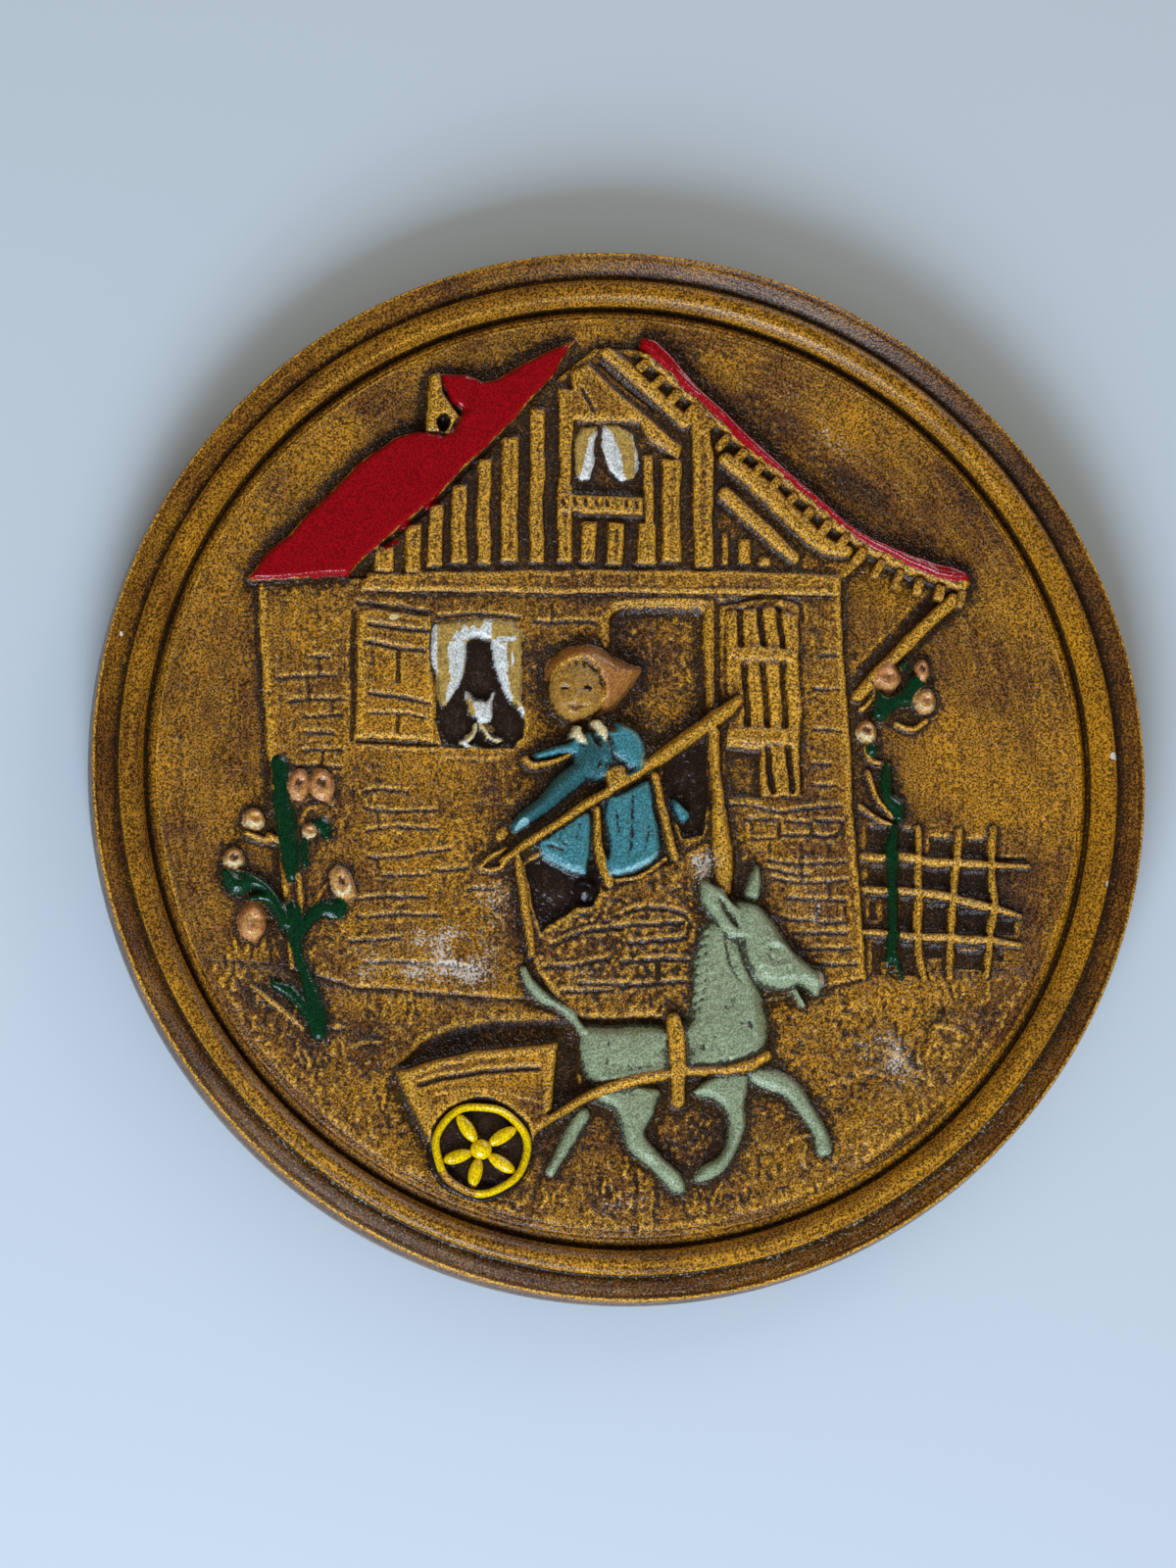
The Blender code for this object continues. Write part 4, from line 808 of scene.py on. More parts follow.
    def cat(self, canvas: Canvas) -> None:
        """Carves the white cat that sits on the sill with its back to the room."""
        canvas.slab(
            ((-36.9, 19.2), (-36, 19), (-34.6, 17.1), (-31.6, 17.1), (-30.2, 19.4), (-29.5, 19.4), (-30, 17),
             (-29.7, 13.5), (-30.4, 12), (-31.4, 11.6), (-33.6, 11.4), (-34, 12.8), (-35.4, 13.6), (-36.6, 16.6)),
            self.wall + 0.8, 0.8, Enamel.CURTAIN
        )
        # The straw colour down the cat's left side is painted shade
        canvas.brush(Outline(((-36.2, 17.4), (-35, 16.4), (-34.2, 13.6), (-35.2, 13.4), (-36.6, 16.4))), Enamel.STRAW)
        canvas.bar(
            ((-34, 11.4), (-34.4, 9.4), (-36, 7.8), (-37.6, 7.0)), (1.0, 1.2, 1.6, 0.8), self.wall + 0.5, 0.8,
            Enamel.LINEN
        )
        canvas.bar(((-37, 7.0), (-35.4, 6.2), (-33.6, 5.8)), (0.8, 1.1, 0.6), self.wall + 0.5, 0.8, Enamel.CURTAIN)
        canvas.bar(
            ((-32.4, 11), (-31.2, 9.2), (-29.6, 7.8), (-28.2, 7.8)), (1.6, 1.6, 1.2, 0.8), self.wall + 0.5, 0.8,
            Enamel.LINEN
        )
        canvas.brush(Oval((-31, 10.8), (1.5, 1.0), -20), Enamel.STRAW)

    def slatted_shutter(self, canvas: Canvas) -> None:
        """Carves the right shutter with its battens and the slots between its slats."""
        canvas.work_on(Part.WINDOW, 0.07)
        canvas.slab(((25.4, -4), (43, -4), (42.8, 39), (36, 41.4), (25, 40)), self.shutter, 0.9)
        canvas.slab(((25, -5), (34.2, -4.6), (34, 7), (25, 7.6)), 0.7, 0.8, pressed=True)
        slots = (
            (28.4, 28.8, 31.8, 40), (33.2, 34.0, 31.6, 40.4), (38.0, 38.4, 31.8, 40.6), (29.6, 30.2, 13.0, 27.2),
            (34.0, 35.2, 13.0, 27.2), (38.8, 39.2, 12.6, 27.6), (35.2, 36.4, -2.6, 7), (40.0, 41.0, -2.6, 7.4)
        )
        for top_x, low_x, low, top in slots:
            canvas.score(Stroke(((top_x, top), (low_x, low)), 1.9, smooth=False), 1.5, 0.8)
        for low, high in ((28, 31), (8, 11.6)):
            canvas.slab(
                ((25, low + 0.4), (42.4, low - 0.4), (42.4, high - 0.2), (33, high + 0.8), (25.4, high)),
                self.shutter + 0.5, 0.8
            )
            canvas.groove(((27, low + 0.9), (41, low + 0.5)), 0.8, -0.25)
        canvas.groove(((24.4, 41.6), (33, 43.6), (42, 42.6), (43.6, 38)), 1.3, 0.7)


@dataclass
class Roof:
    """Both slopes of the roof with the dormer, and the strut under the right eave."""

    eave: float = 4.9
    ridge: float = 2.6
    strut: float = 2.7

    def carve(self, canvas: Canvas) -> None:
        """Carves the roof onto the canvas."""
        canvas.work_on(Part.ROOF_RIGHT, 0.05)
        canvas.slab(((54.6, 26), (57, 20), (61, 21), (81, 43), (82, 47), (56, 50)), 0.5, 1.0, pressed=True)
        canvas.groove(((58, 27), (68, 38), (76, 46)), 3.0, 0.5)
        canvas.bar(((56.5, 20.5), (66, 30.5), (79.5, 44)), 3.6, self.strut, 0.6)
        canvas.work_on(Part.ROOF_LEFT, 0.035)
        canvas.slab(((-46.6, 80), (-41, 79.6), (-38.4, 84.6), (-42.4, 90), (-43.2, 95.2), (-46, 94)), 3.6, 0.9)
        slope = Ramp((-52, 56), (-68, 72), (self.eave, self.ridge))
        left = (
            (-10.5, 104), (-20, 99.5), (-26, 96.2), (-30, 93.8), (-33, 93.2), (-37, 94.6), (-43.5, 95), (-43, 91.5),
            (-41, 87.6), (-38.6, 85.8), (-40.2, 82), (-42, 80.2), (-48, 80.8), (-54, 79), (-60, 74.6), (-68, 67.2),
            (-78, 56.2), (-85, 49.4), (-88.4, 44.6), (-87, 43.4), (-80, 43.6), (-70, 44.8), (-64.6, 45),
            (-61.6, 48.4), (-52, 57), (-42, 66.4), (-33, 76), (-24, 85), (-16, 94)
        )
        canvas.slab(left, slope, 1.3, Enamel.CRIMSON, bare=0.5)
        canvas.score(
            Stroke(((-62, 48.8), (-52, 57.8), (-42, 67), (-33, 76.8), (-24, 85.8), (-16, 94.6)), 1.5), -0.5, 0.9
        )
        canvas.groove(((-36, 92), (-37.6, 86), (-40, 81)), 3.2, 0.5)
        canvas.score(Oval((-36.5, 84.4), (3.0, 1.6), 20), -0.4)
        canvas.lay(Oval((-42.4, 82.6), (1.5, 2.4)), 0.8, 0.6, Enamel.SOOT, pressed=True)
        for x, z in ((-46.6, 62.6), (-52, 57.4), (-55.6, 52.6)):
            canvas.brush(Stroke(((x, z), (x + 2.6, z + 1.4)), 1.3), Enamel.CRIMSON)
        canvas.work_on(Part.ROOF_RIGHT, 0.05)
        fascia = (
            (3, 101.4), (11, 94), (22, 84.6), (32, 75.4), (42, 67), (52, 58.6), (58, 54.6), (68, 49.8), (82, 45),
            (84, 48), (72, 53), (62, 56), (50, 64), (36, 76), (22, 88), (8, 101)
        )
        canvas.slab(fascia, self.ridge + 0.6, 0.8)
        right = (
            (4.4, 101.9), (7.4, 100.1), (11.4, 96.3), (14.4, 93.1), (19.4, 89.1), (24.4, 84.6), (29.4, 79.1),
            (34.4, 74.9), (39.4, 71.3), (44.4, 67.3), (49.4, 63.1), (54.4, 59.1), (59.4, 56.1), (64.4, 53.7),
            (69.4, 51.1), (74.4, 48.9), (79.4, 47.7), (83, 47.8), (83.6, 49), (82.2, 50.6), (79.4, 51.8), (74.4, 53),
            (69.4, 54.6), (64.4, 56.4), (59.4, 58.6), (54.4, 61.5), (49.4, 65.7), (44.4, 70), (39.4, 74.5),
            (34.4, 79), (29.4, 83.5), (24.4, 88.2), (19.4, 92.6), (14.4, 98), (11.4, 101.5), (8.6, 104.4), (5, 104.8)
        )
        canvas.slab(right, self.eave - 0.5, 1.0, Enamel.CRIMSON)
        canvas.groove(
            ((6.4, 101.6), (14.4, 94.6), (24.4, 86), (34.4, 76.4), (44.4, 68.6), (54.4, 60.2), (64.4, 54.8),
             (74.4, 50), (82, 48.8)), 1.3, -0.5
        )


@dataclass
class Stair:
    """The landing with its arch, and the handrail on its posts."""

    landing: float = 2.3
    rail: float = 5.4

    def carve(self, canvas: Canvas) -> None:
        """Carves the stair onto the canvas."""
        canvas.work_on(Part.STAIR, 0.17)
        canvas.slab(
            ((-26, -20.6), (-10, -22), (-4, -27), (3, -24.6), (12, -20), (20, -15), (27, -16), (27, -30), (22, -44),
             (17, -57.5), (-12, -58.5), (-17, -52), (-20.6, -45), (-22.6, -36), (-24.6, -27)), self.landing, 1.4
        )
        canvas.slab(
            ((-22.4, -22), (-17, -18), (-8, -14), (-5, -20), (-5, -28), (-6.4, -31), (-10, -31.6), (-17, -36.6),
             (-18.6, -38)), -0.4, 1.1, Enamel.SHADE, pressed=True
        )
        canvas.score(Outline(((-18.6, -21), (-12.6, -22), (-12, -29), (-15, -32), (-18, -28))), -0.5, 1.2)
        canvas.lay(Oval((-8, -27.4), (3.0, 3.4)), 2.0, 0.9, Enamel.SOOT)
        canvas.slab(
            ((10.4, 3.2), (15, 6.6), (20.6, 8.4), (21, -2), (20.4, -10), (19.6, -13.8), (15, -14.6), (12.6, -10),
             (9.8, -1)), -0.4, 1.1, Enamel.SHADE, pressed=True
        )
        for line in (
            ((-1, -33.6), (6, -31.6), (13, -32.2), (16.6, -34.6), (15.4, -38.4)), ((-2, -36.2), (15, -35)),
            ((2, -39.8), (9, -39.2), (15, -38.6)), ((2.6, -39.8), (3, -43)), ((0, -44.6), (8, -44), (16, -44)),
            ((-18, -46.4), (-10, -45.6), (-3, -44)), ((0, -50.6), (15, -49)), ((-14, -52), (-2, -51.4)),
            ((-16, -41), (-8, -37.6), (0, -36.6)), ((9, -44.4), (9, -48.8)), ((-10, -50), (2, -49.8))
        ):
            canvas.groove(line, 1.3, 0.55)
            canvas.groove(tuple((x, z + 1.1) for x, z in line), 0.9, -0.3)
        canvas.work_on(Part.STAIR, 0.08)
        for path, width, drop in (
            (((-24.4, -20.4), (-22.8, -28), (-21.6, -36), (-21, -43)), (1.8, 2.2, 2.4, 1.6), 1.6),
            (((-5.6, -8.4), (-5.4, -16), (-4.2, -20.6), (-2.8, -25.6)), (2.6, 2.6, 3.2, 3.0), 1.6),
            (((8, 0), (9.4, -6), (11, -13), (13, -19)), (2.7, 2.7, 2.7, 2.4), 1.4),
            (((22.4, 10.4), (22.6, 3), (23, -4), (23.6, -12), (24.2, -20), (24.6, -27)),
             (3.2, 2.6, 3.4, 5.0, 5.4, 4.6), 1.2)
        ):
            canvas.bar(path, width, self.rail - drop, 0.8)

    def handrail(self, canvas: Canvas) -> None:
        """Lays the handrail over the posts and the figure's skirt."""
        canvas.work_on(Part.STAIR, 0.06)
        canvas.bar(((-33, -22.6), (-30.4, -19.8), (-27, -18)), (1.0, 1.4, 0.8), self.rail - 2.4, 0.8)
        canvas.bar(((-32.6, -23.2), (-30, -23.2), (-27.4, -22)), (0.8, 1.4, 1.0), self.rail - 2.6, 0.8)
        canvas.bar(
            ((-27.8, -21), (-22, -17), (-14, -11.6), (-8, -7.2), (-3, -4), (2, -1), (6, 2), (10, 4.8), (16, 9.2),
             (21, 12.6), (25, 15.8), (27.6, 18.4)), (2.0, 2.6, 2.9, 2.9, 3.0, 3.2, 3.4, 3.9, 4.6, 5.0, 4.2, 2.4),
            self.rail, 0.85
        )


@dataclass
class Figure:
    """The little figure in a headscarf that leans over the rail. Its face is a plain doll's face."""

    dress: float = 5.0
    head: float = 6.4

    def carve(self, canvas: Canvas) -> None:
        """Carves the skirt, the feet and the bodice."""
        canvas.work_on(Part.FIGURE, 0.09)
        left = (
            (-7, -9.4), (-8.6, -8.6), (-11.6, -10.6), (-15.6, -13.6), (-19, -16), (-20, -17.2), (-17, -20.6),
            (-12, -23.4), (-7.8, -23.8), (-6.8, -18), (-6.6, -12)
        )
        right = (
            (-3.6, -4.6), (0, -3.4), (5, -1.2), (7, -0.6), (8, -6), (9, -12), (10, -17), (8.6, -20.4), (4, -22.8),
            (0, -23.7), (-3, -24), (-3.6, -20), (-3, -16), (-4, -10)
        )
        canvas.bar(((-2, -24.9), (4, -24.2), (8.4, -21.6), (10.8, -19.6)), 1.4, self.dress - 2.4, 0.8)
        canvas.slab(left, self.dress - 1.0, 1.4, Enamel.TEAL)
        canvas.slab(right, self.dress - 0.9, 1.8, Enamel.TEAL)
        canvas.slab(
            ((12, -4.6), (14, -6), (16.8, -8.6), (16.5, -10), (15, -11), (13.6, -10.6), (12.2, -8)), self.dress - 2.2,
            1.0, Enamel.TEAL
        )
        for path, deep in (
            (((-19, -17.3), (-16, -17.6), (-13.6, -18.8), (-12, -21)), 0.7),
            (((-13, -13.4), (-14.4, -15.8), (-12.6, -17.6)), 0.35), (((-9.6, -12), (-10.4, -17), (-9.4, -21)), 0.35),
            (((-1.4, -6.6), (-0.8, -13), (-1.6, -20)), 0.4), (((2.4, -5), (2.8, -12), (1.8, -20)), 0.4),
            (((5.8, -4), (6.6, -11), (5.8, -18)), 0.4)
        ):
            canvas.groove(path, (0.8, 1.6, 0.8), deep)
        # Both hems are raised a little and brushed pale teal along the ridge as a painted highlight
        for path in (((-19, -18.6), (-14, -22), (-8.2, -23.4)), ((-2.6, -23.4), (4, -22), (9.2, -18.4))):
            canvas.groove(path, (0.8, 1.4, 0.8), -0.35)
            canvas.brush(Stroke(path, (0.6, 1.1, 0.6)), Enamel.ICE)
        for centre, radii, turn in (
            ((-10.6, -16.4), (2.2, 3.4), 20), ((4.4, -14.6), (1.6, 3.6), 8), ((0.8, -11.4), (0.9, 3.2), 4)
        ):
            canvas.score(Oval(centre, radii, turn), -0.3)

    def upper(self, canvas: Canvas) -> None:
        """Carves the arms, the collar and the head over the rail."""
        canvas.work_on(Part.FIGURE, 0.09)
        canvas.lay(
            Outline(((-12.6, 8.6), (-9, 10.6), (-3, 11.6), (3.6, 10.6), (6, 5), (4.6, 1), (-1, -1.6), (-8, -1.5),
             (-12.6, 4)), smooth=True), self.dress, 2.2, Enamel.DEEP_TEAL
        )
        canvas.lay(
            Outline(((-2, 12.6), (1, 12.4), (4, 10.2), (6.2, 7.4), (6.3, 4), (4.6, 1.6), (2.6, 1.2), (0.6, 2.6),
             (-1, 3.4), (-2.6, 6)), smooth=True), self.dress + 0.9, 2.6, Enamel.TEAL
        )
        canvas.bar(((-12, 6), (-15.4, 5.4), (-19.6, 3.9)), (3.6, 3.2, 2.2), self.dress + 0.1, 0.9, Enamel.TEAL)
        canvas.bar(((-12.6, 4.2), (-16.6, 2.6), (-20.4, 1.8), (-22, 2.6)), (1.2, 1.9, 2.0, 1.8), self.dress + 0.3, 0.9)
        canvas.lay(Oval((-22.4, 3.4), (1.2, 0.9), 30), self.dress + 0.1, 0.9)
        canvas.bar(
            ((-4, 5.4), (-9.4, 1.0), (-15, -4.2), (-20, -8.8), (-24.6, -12.6)), (5.4, 6.4, 5.8, 4.8, 3.6),
            self.dress + 0.9, 0.9, Enamel.DEEP_TEAL
        )
        canvas.brush(Oval((-23.6, -12.9), (1.7, 1.0), 35), Enamel.ICE)
        canvas.lay(Oval((-28, -14.4), (2.2, 1.5), 50), self.dress - 1.8, 0.9)
        for path, deep in (
            (((-4, 3.4), (-9, -1), (-15, -6.6), (-20, -10.4)), 0.4), (((-2.4, 7.4), (-4.4, 4.2), (-6, 0.6)), 0.4),
            (((0.4, 2.2), (-1.6, 3.6), (-2.6, 5.6)), 0.6), (((-7.6, 10.4), (-6.2, 8.2), (-5.2, 6.4)), 0.9),
            (((-25.6, -10.8), (-24.4, -12.4), (-23, -14.2)), 0.5)
        ):
            canvas.groove(path, (0.8, 1.4, 0.8), deep)
        canvas.brush(Stroke(((5.6, 7.6), (5.9, 5), (4.6, 2.2)), (0.8, 1.0, 0.6)), Enamel.SAGE)
        canvas.slab(
            ((-12.6, 9), (-11.4, 11.8), (-9, 11.4), (-9.4, 10), (-8.2, 6.6), (-10.6, 7.2)), self.dress + 1.4, 0.8,
            Enamel.LINEN
        )
        canvas.slab(
            ((-7.4, 13), (-4.8, 13.2), (-4, 12), (-3, 11), (-3.2, 8.6), (-4, 7.2), (-5.4, 9), (-7.2, 11.8)),
            self.dress + 1.5, 0.8, Enamel.LINEN
        )
        for path in (((-11.8, 9.4), (-10.6, 8.6), (-9.4, 7.4)), ((-6.4, 12.2), (-5, 11.2), (-4, 9))):
            canvas.groove(path, 0.7, 0.3)
        canvas.brush(Oval((-2.1, 10.9), (0.9, 1.5), 15), Enamel.UMBER)
        self.head_and_scarf(canvas)
        canvas.work_on(Part.STAIR, 0.06)
        canvas.lay(
            Outline(((-3.6, 0.6), (-1.4, 1.7), (0.8, 1.4), (1.7, 0), (1.4, -1.8), (-0.2, -3.2), (-2.4, -4),
             (-3.7, -2.6)), smooth=True), 6.2, 1.4
        )
        for x in (-2.4, -1, 0.4):
            canvas.groove(((x, -1.4), (x + 0.3, 0.9)), 0.6, 0.25)

    def head_and_scarf(self, canvas: Canvas) -> None:
        """Carves the scarf as a hood with its tail, and a calm doll's face inside it."""
        hood = (
            (-17.7, 21), (-17.4, 25.6), (-14.4, 29.4), (-9, 31), (-5, 30.4), (-2, 28.6), (2, 26.8), (5.4, 25.8),
            (4.4, 23), (2, 19.8), (0, 17.2), (-2.2, 15.4), (-4, 14.6), (-7, 13), (-10.4, 12), (-14, 12.9), (-16.6, 16)
        )
        canvas.lay(Outline(hood, smooth=True), self.head, 3.6, Enamel.APRICOT)
        canvas.lay(Oval((-10.5, 19.7), (6.9, 7.8), -6), self.head - 0.9, 0.22, pressed=True)
        canvas.lay(Oval((-10.6, 19.6), (6.3, 7.2), -6), self.head + 0.7, 0.9, Enamel.OCHRE_SKIN)
        canvas.groove(
            ((-15.6, 25.4), (-12.6, 27.8), (-9.6, 28.2), (-6, 26.4), (-3.9, 23), (-3, 19.4), (-3.2, 16)),
            (0.6, 1.0, 1.2, 1.2, 1.2, 1.1, 0.7), -0.45
        )
        canvas.brush(Stroke(((-8, 27.6), (-5.2, 25.2), (-3.6, 21.6), (-3.1, 17.6)), (0.4, 0.7, 0.8, 0.5)), Enamel.PEACH)
        for path in (((-1.6, 27), (-1.2, 23), (-2, 18.6)), ((1.2, 25.6), (1.2, 22.6), (-0.4, 19))):
            canvas.groove(path, (0.6, 1.3, 0.6), 0.4)
        middle = -10.9
        for side in (-1, 1):
            eye = (middle + side * 2.6, 19.9)
            canvas.score(Oval(eye, (1.8, 1.3)), 0.7)
            canvas.brush(Oval(eye, (1.15, 0.8)), Enamel.SOOT)
            canvas.score(Oval(eye, (0.9, 0.6)), -0.35)
            canvas.groove(
                ((eye[0] - 1.5, eye[1] + 1.8), (eye[0], eye[1] + 2.4), (eye[0] + 1.5, eye[1] + 1.8)), 0.9, 0.4
            )
            canvas.score(Oval((middle + side * 3.6, 16.8), (1.8, 1.6)), -0.45)
        canvas.score(Oval((middle, 18.2), (1.0, 1.4)), -0.8)
        canvas.groove(((middle - 1.7, 15.9), (middle, 15.2), (middle + 1.7, 15.9)), 1.0, 0.7)
        canvas.brush(Stroke(((middle - 1.3, 15.7), (middle, 15.2), (middle + 1.3, 15.7)), 0.8), Enamel.UMBER)
        canvas.score(Oval((middle, 13.6), (1.6, 1.0)), -0.35)
        for k in range(5):
            x = middle - 3.4 + 1.7 * k
            canvas.groove(((x, 26.2 - 0.25 * (k - 2) ** 2), (x + 0.5, 24.6 - 0.2 * (k - 2) ** 2)), 0.7, 0.3)


@dataclass
class Cart:
    """The two-wheeled cart; its wheel is laid on it by Geometry Nodes."""

    side: float = 4.9
    wheel_centre: tuple[float, float] = WHEEL_CENTRE

    def carve(self, canvas: Canvas) -> None:
        """Carves the cart's box and the wheel's sunk round onto the canvas."""
        canvas.work_on(Part.CART, 0.07)
        canvas.slab(
            ((-53, -70), (-47, -64), (-40, -60.6), (-30, -58.4), (-12, -57.6), (-9.4, -64), (-9.6, -76), (-17, -82),
             (-48, -74)), -0.3, 2.2, pressed=True
        )
        canvas.slab(
            ((-53.4, -71.4), (-45, -68.6), (-35, -66), (-25, -64.8), (-14.6, -63.4), (-15.4, -72), (-16, -80),
             (-20, -86), (-26, -97), (-38, -97), (-45.6, -88)), self.side, 1.2
        )
        canvas.groove(((-49.6, -72.2), (-44, -70.4), (-34, -67.6), (-24, -66.6), (-16.6, -66)), 2.0, -0.35)
        canvas.groove(((-47.6, -74.6), (-38, -72.4), (-30, -71), (-19.6, -70.2)), 1.5, 1.0)
        canvas.groove(((-47, -73.4), (-38, -71.2), (-30, -69.8), (-19.6, -69)), 0.9, -0.4)
        canvas.groove(((-44, -77), (-36, -76), (-28, -76.2), (-18, -79)), 1.0, -0.3)
        canvas.lay(Oval(self.wheel_centre, (12.4, 11.9)), self.side - 2.4, 0.14, Enamel.SHADE, pressed=True)
        centre = self.wheel_centre
        for angle in range(20, 380, 60):
            spot = (centre[0] + 6.6 * math.cos(math.radians(angle)), centre[1] + 6.2 * math.sin(math.radians(angle)))
            canvas.score(Oval(spot, (2.4, 1.6), angle), -0.35)


@dataclass
class Donkey:
    """The donkey with its harness and the shaft."""

    body: float = 4.6
    head: float = 6.3
    harness: float = 5.7

    def carve(self, canvas: Canvas) -> None:
        """Carves the donkey and its harness onto the canvas."""
        canvas.work_on(Part.DONKEY, 0.08)
        self.far_side(canvas)
        self.trunk(canvas)
        self.head_and_ears(canvas)
        self.straps(canvas)

    def far_side(self, canvas: Canvas) -> None:
        """Carves the far legs and the tail."""
        canvas.bar(
            ((29, -69), (35, -71.4), (40.4, -74), (44, -79), (47, -84), (47.6, -88)), (4, 5.6, 5, 4, 3.8, 3.6),
            self.body - 1.4, 0.8, Enamel.SAGE
        )
        canvas.bar(((-9, -80.6), (-12.6, -87), (-16.6, -94)), (3.8, 3.4, 2.6), self.body - 1.6, 0.8, Enamel.SAGE)
        canvas.bar(
            ((-9, -61), (-11.6, -57.4), (-15, -55), (-18.4, -53), (-21, -50), (-22.6, -46.4)),
            (2.6, 2.2, 1.8, 3.2, 3, 1.4), self.body - 1.2, 0.9, Enamel.SAGE
        )

    def trunk(self, canvas: Canvas) -> None:
        """Carves the near legs, the body and the neck with its mane."""
        hind = (
            (-6.4, -77), (0, -73), (8.4, -74.6), (8, -80), (5.8, -85), (9.6, -90), (14.4, -95), (15, -98.4),
            (12, -99), (7, -93.4), (1.4, -88.4), (-0.4, -82), (-2, -79)
        )
        fore = (
            (17, -75), (22, -70.6), (29.6, -70), (29.6, -77), (29.4, -84), (26, -91), (22, -95), (17.6, -96.2),
            (18.4, -92.4), (22.4, -90), (25, -86), (24.8, -80), (22, -77)
        )
        body = (
            (-9.4, -60.6), (-4, -59.2), (8, -58.6), (15.4, -57.4), (16.6, -50), (17.4, -43), (20, -35.4), (26, -33.4),
            (32, -46), (34.4, -54), (34.6, -64), (30, -68.6), (22, -71), (8, -73.6), (-3, -75.4), (-8.6, -71)
        )
        for leg in (hind, fore):
            canvas.lay(Outline(leg, smooth=True), self.body - 0.5, 1.6, Enamel.SAGE)
        canvas.lay(Outline(body, smooth=True), self.body, 3.6, Enamel.SAGE)
        for k in range(9):
            x, z = 17.0 + 0.035 * (k - 2) ** 2, -54.0 + 2.1 * k
            canvas.groove(((x, z), (x + 2.6, z + 1.3)), 0.8, 0.4)
        for x, z, tall in (
            (26.6, -40, 2.6), (27.4, -44.6, 1.8), (22, -46, 3.4), (31, -57, 4), (20.4, -62, 2.4), (-4.6, -66, 2.6)
        ):
            canvas.groove(((x, z + tall), (x + 0.5, z), (x + 0.2, z - tall)), 0.9, -0.4)
        for path, wide, deep in (
            (((20, -40), (19.6, -48), (18.6, -56)), 1.4, 0.35), (((-6, -72.6), (2, -71.4), (9, -70)), 1.6, -0.35),
            (((24, -38), (25.4, -45), (28.6, -49.6)), 1.2, 0.3), (((1.6, -80), (3, -86), (9, -92)), 1.4, -0.25),
            (((30, -58), (31.4, -64), (28, -67)), 1.4, 0.3), (((-2.6, -62), (-4, -67), (-3, -72)), 1.6, 0.3)
        ):
            canvas.groove(path, (wide * 0.6, wide, wide * 0.6), deep)
        canvas.score(Oval((2, -66), (8, 3.6)), -0.4)
        canvas.score(Oval((24, -60), (6, 5.4)), -0.5)

    def head_and_ears(self, canvas: Canvas) -> None:
        """Carves the head, both ears, the eye, the nostril and the mouth."""
        canvas.lay(
            Outline(((29.2, -28.4), (30.2, -24), (32.4, -20.8), (33.6, -24.6), (32.6, -29.6)), smooth=True),
            self.head - 1.2, 1.2, Enamel.SAGE
        )
        canvas.lay(
            Outline(((26.4, -31), (29, -29.2), (33.2, -30.6), (36.8, -35), (40.4, -40), (45, -44.4), (48.2, -47),
             (48, -50), (46.4, -52), (43, -50.2), (37, -50.4), (31.6, -48.6), (28, -41)), smooth=True), self.head,
            3.0, Enamel.SAGE
        )
        canvas.lay(
            Outline(((18.8, -25.2), (21.4, -25.4), (26, -29), (28.8, -33.4), (29.6, -38.4), (25.6, -38.6),
             (22, -34.4), (19.2, -30)), smooth=True), self.head - 0.2, 1.5, Enamel.SAGE
        )
        canvas.score(
            Outline(((22.4, -28.6), (25, -30.4), (27, -34), (27.6, -36.6), (25.6, -35.4), (23.4, -32)), smooth=True),
            1.5, 0.8
        )
        canvas.groove(((24.6, -31), (26, -34)), 0.8, -0.5)
        canvas.score(Oval((36.2, -42.4), (4.2, 2.4), -20), 0.8)
        canvas.lay(Oval((36.9, -42.7), (2.2, 1.3), -20), self.head + 0.1, 0.9, Enamel.SAGE)
        canvas.score(Oval((36.9, -42.8), (1.0, 0.7), -20), 0.5)
        canvas.groove(((32.6, -41), (35, -39.6), (38.6, -40.4), (40.6, -42.4)), 1.0, -0.5)
        canvas.groove(((33.4, -44.6), (36.4, -45.4), (40, -44.6)), 0.9, -0.4)
        canvas.score(Oval((33.4, -35.6), (3.4, 2.0), -45), 0.5)
        canvas.score(Oval((46.2, -47.8), (0.9, 0.6)), 0.5)
        canvas.groove(((47.6, -50.4), (44, -48.8), (41, -49.2)), 0.9, 0.6)
        canvas.groove(((30, -44), (32.6, -46.4), (37, -47.6), (40.6, -47.2)), (0.8, 1.4, 0.8), 0.35)
        canvas.groove(((32, -38.6), (36, -38.8), (39.6, -41)), 1.1, -0.4)
        canvas.bar(((41.2, -50.4), (42, -52), (43, -53.6)), (1.4, 1.6, 1.3), self.head - 1.8, 0.9, Enamel.SAGE)
        canvas.brush(Oval((47.3, -47.8), (0.8, 1.5)), Enamel.CURTAIN)

    def straps(self, canvas: Canvas) -> None:
        """Lays the girth and the shaft over the body."""
        canvas.work_on(Part.DONKEY, 0.07)
        canvas.bar(((12.4, -58.4), (13, -66), (13.2, -72), (13.4, -77)), (4.6, 4.2, 4.2, 3.8), self.harness, 0.55)
        canvas.bar(
            ((-19.6, -84), (-14, -80.2), (-8, -76.4), (0, -73.6), (10, -71.4), (20, -70.4), (28, -69), (34.4, -66)),
            (2.2, 2.8, 3, 2.8, 2.6, 2.4, 2.8, 3.2), self.harness, 0.8
        )
        for path in (((-18, -83), (-8, -76.4), (0, -73.6), (9, -71.6)), ((17, -70.6), (26, -69.2), (33, -66.6))):
            canvas.groove(path, 0.9, 0.3)
        canvas.lay(Oval((7.8, -75.2), (2, 1.4)), self.body - 1, 0.9, Enamel.SAGE)


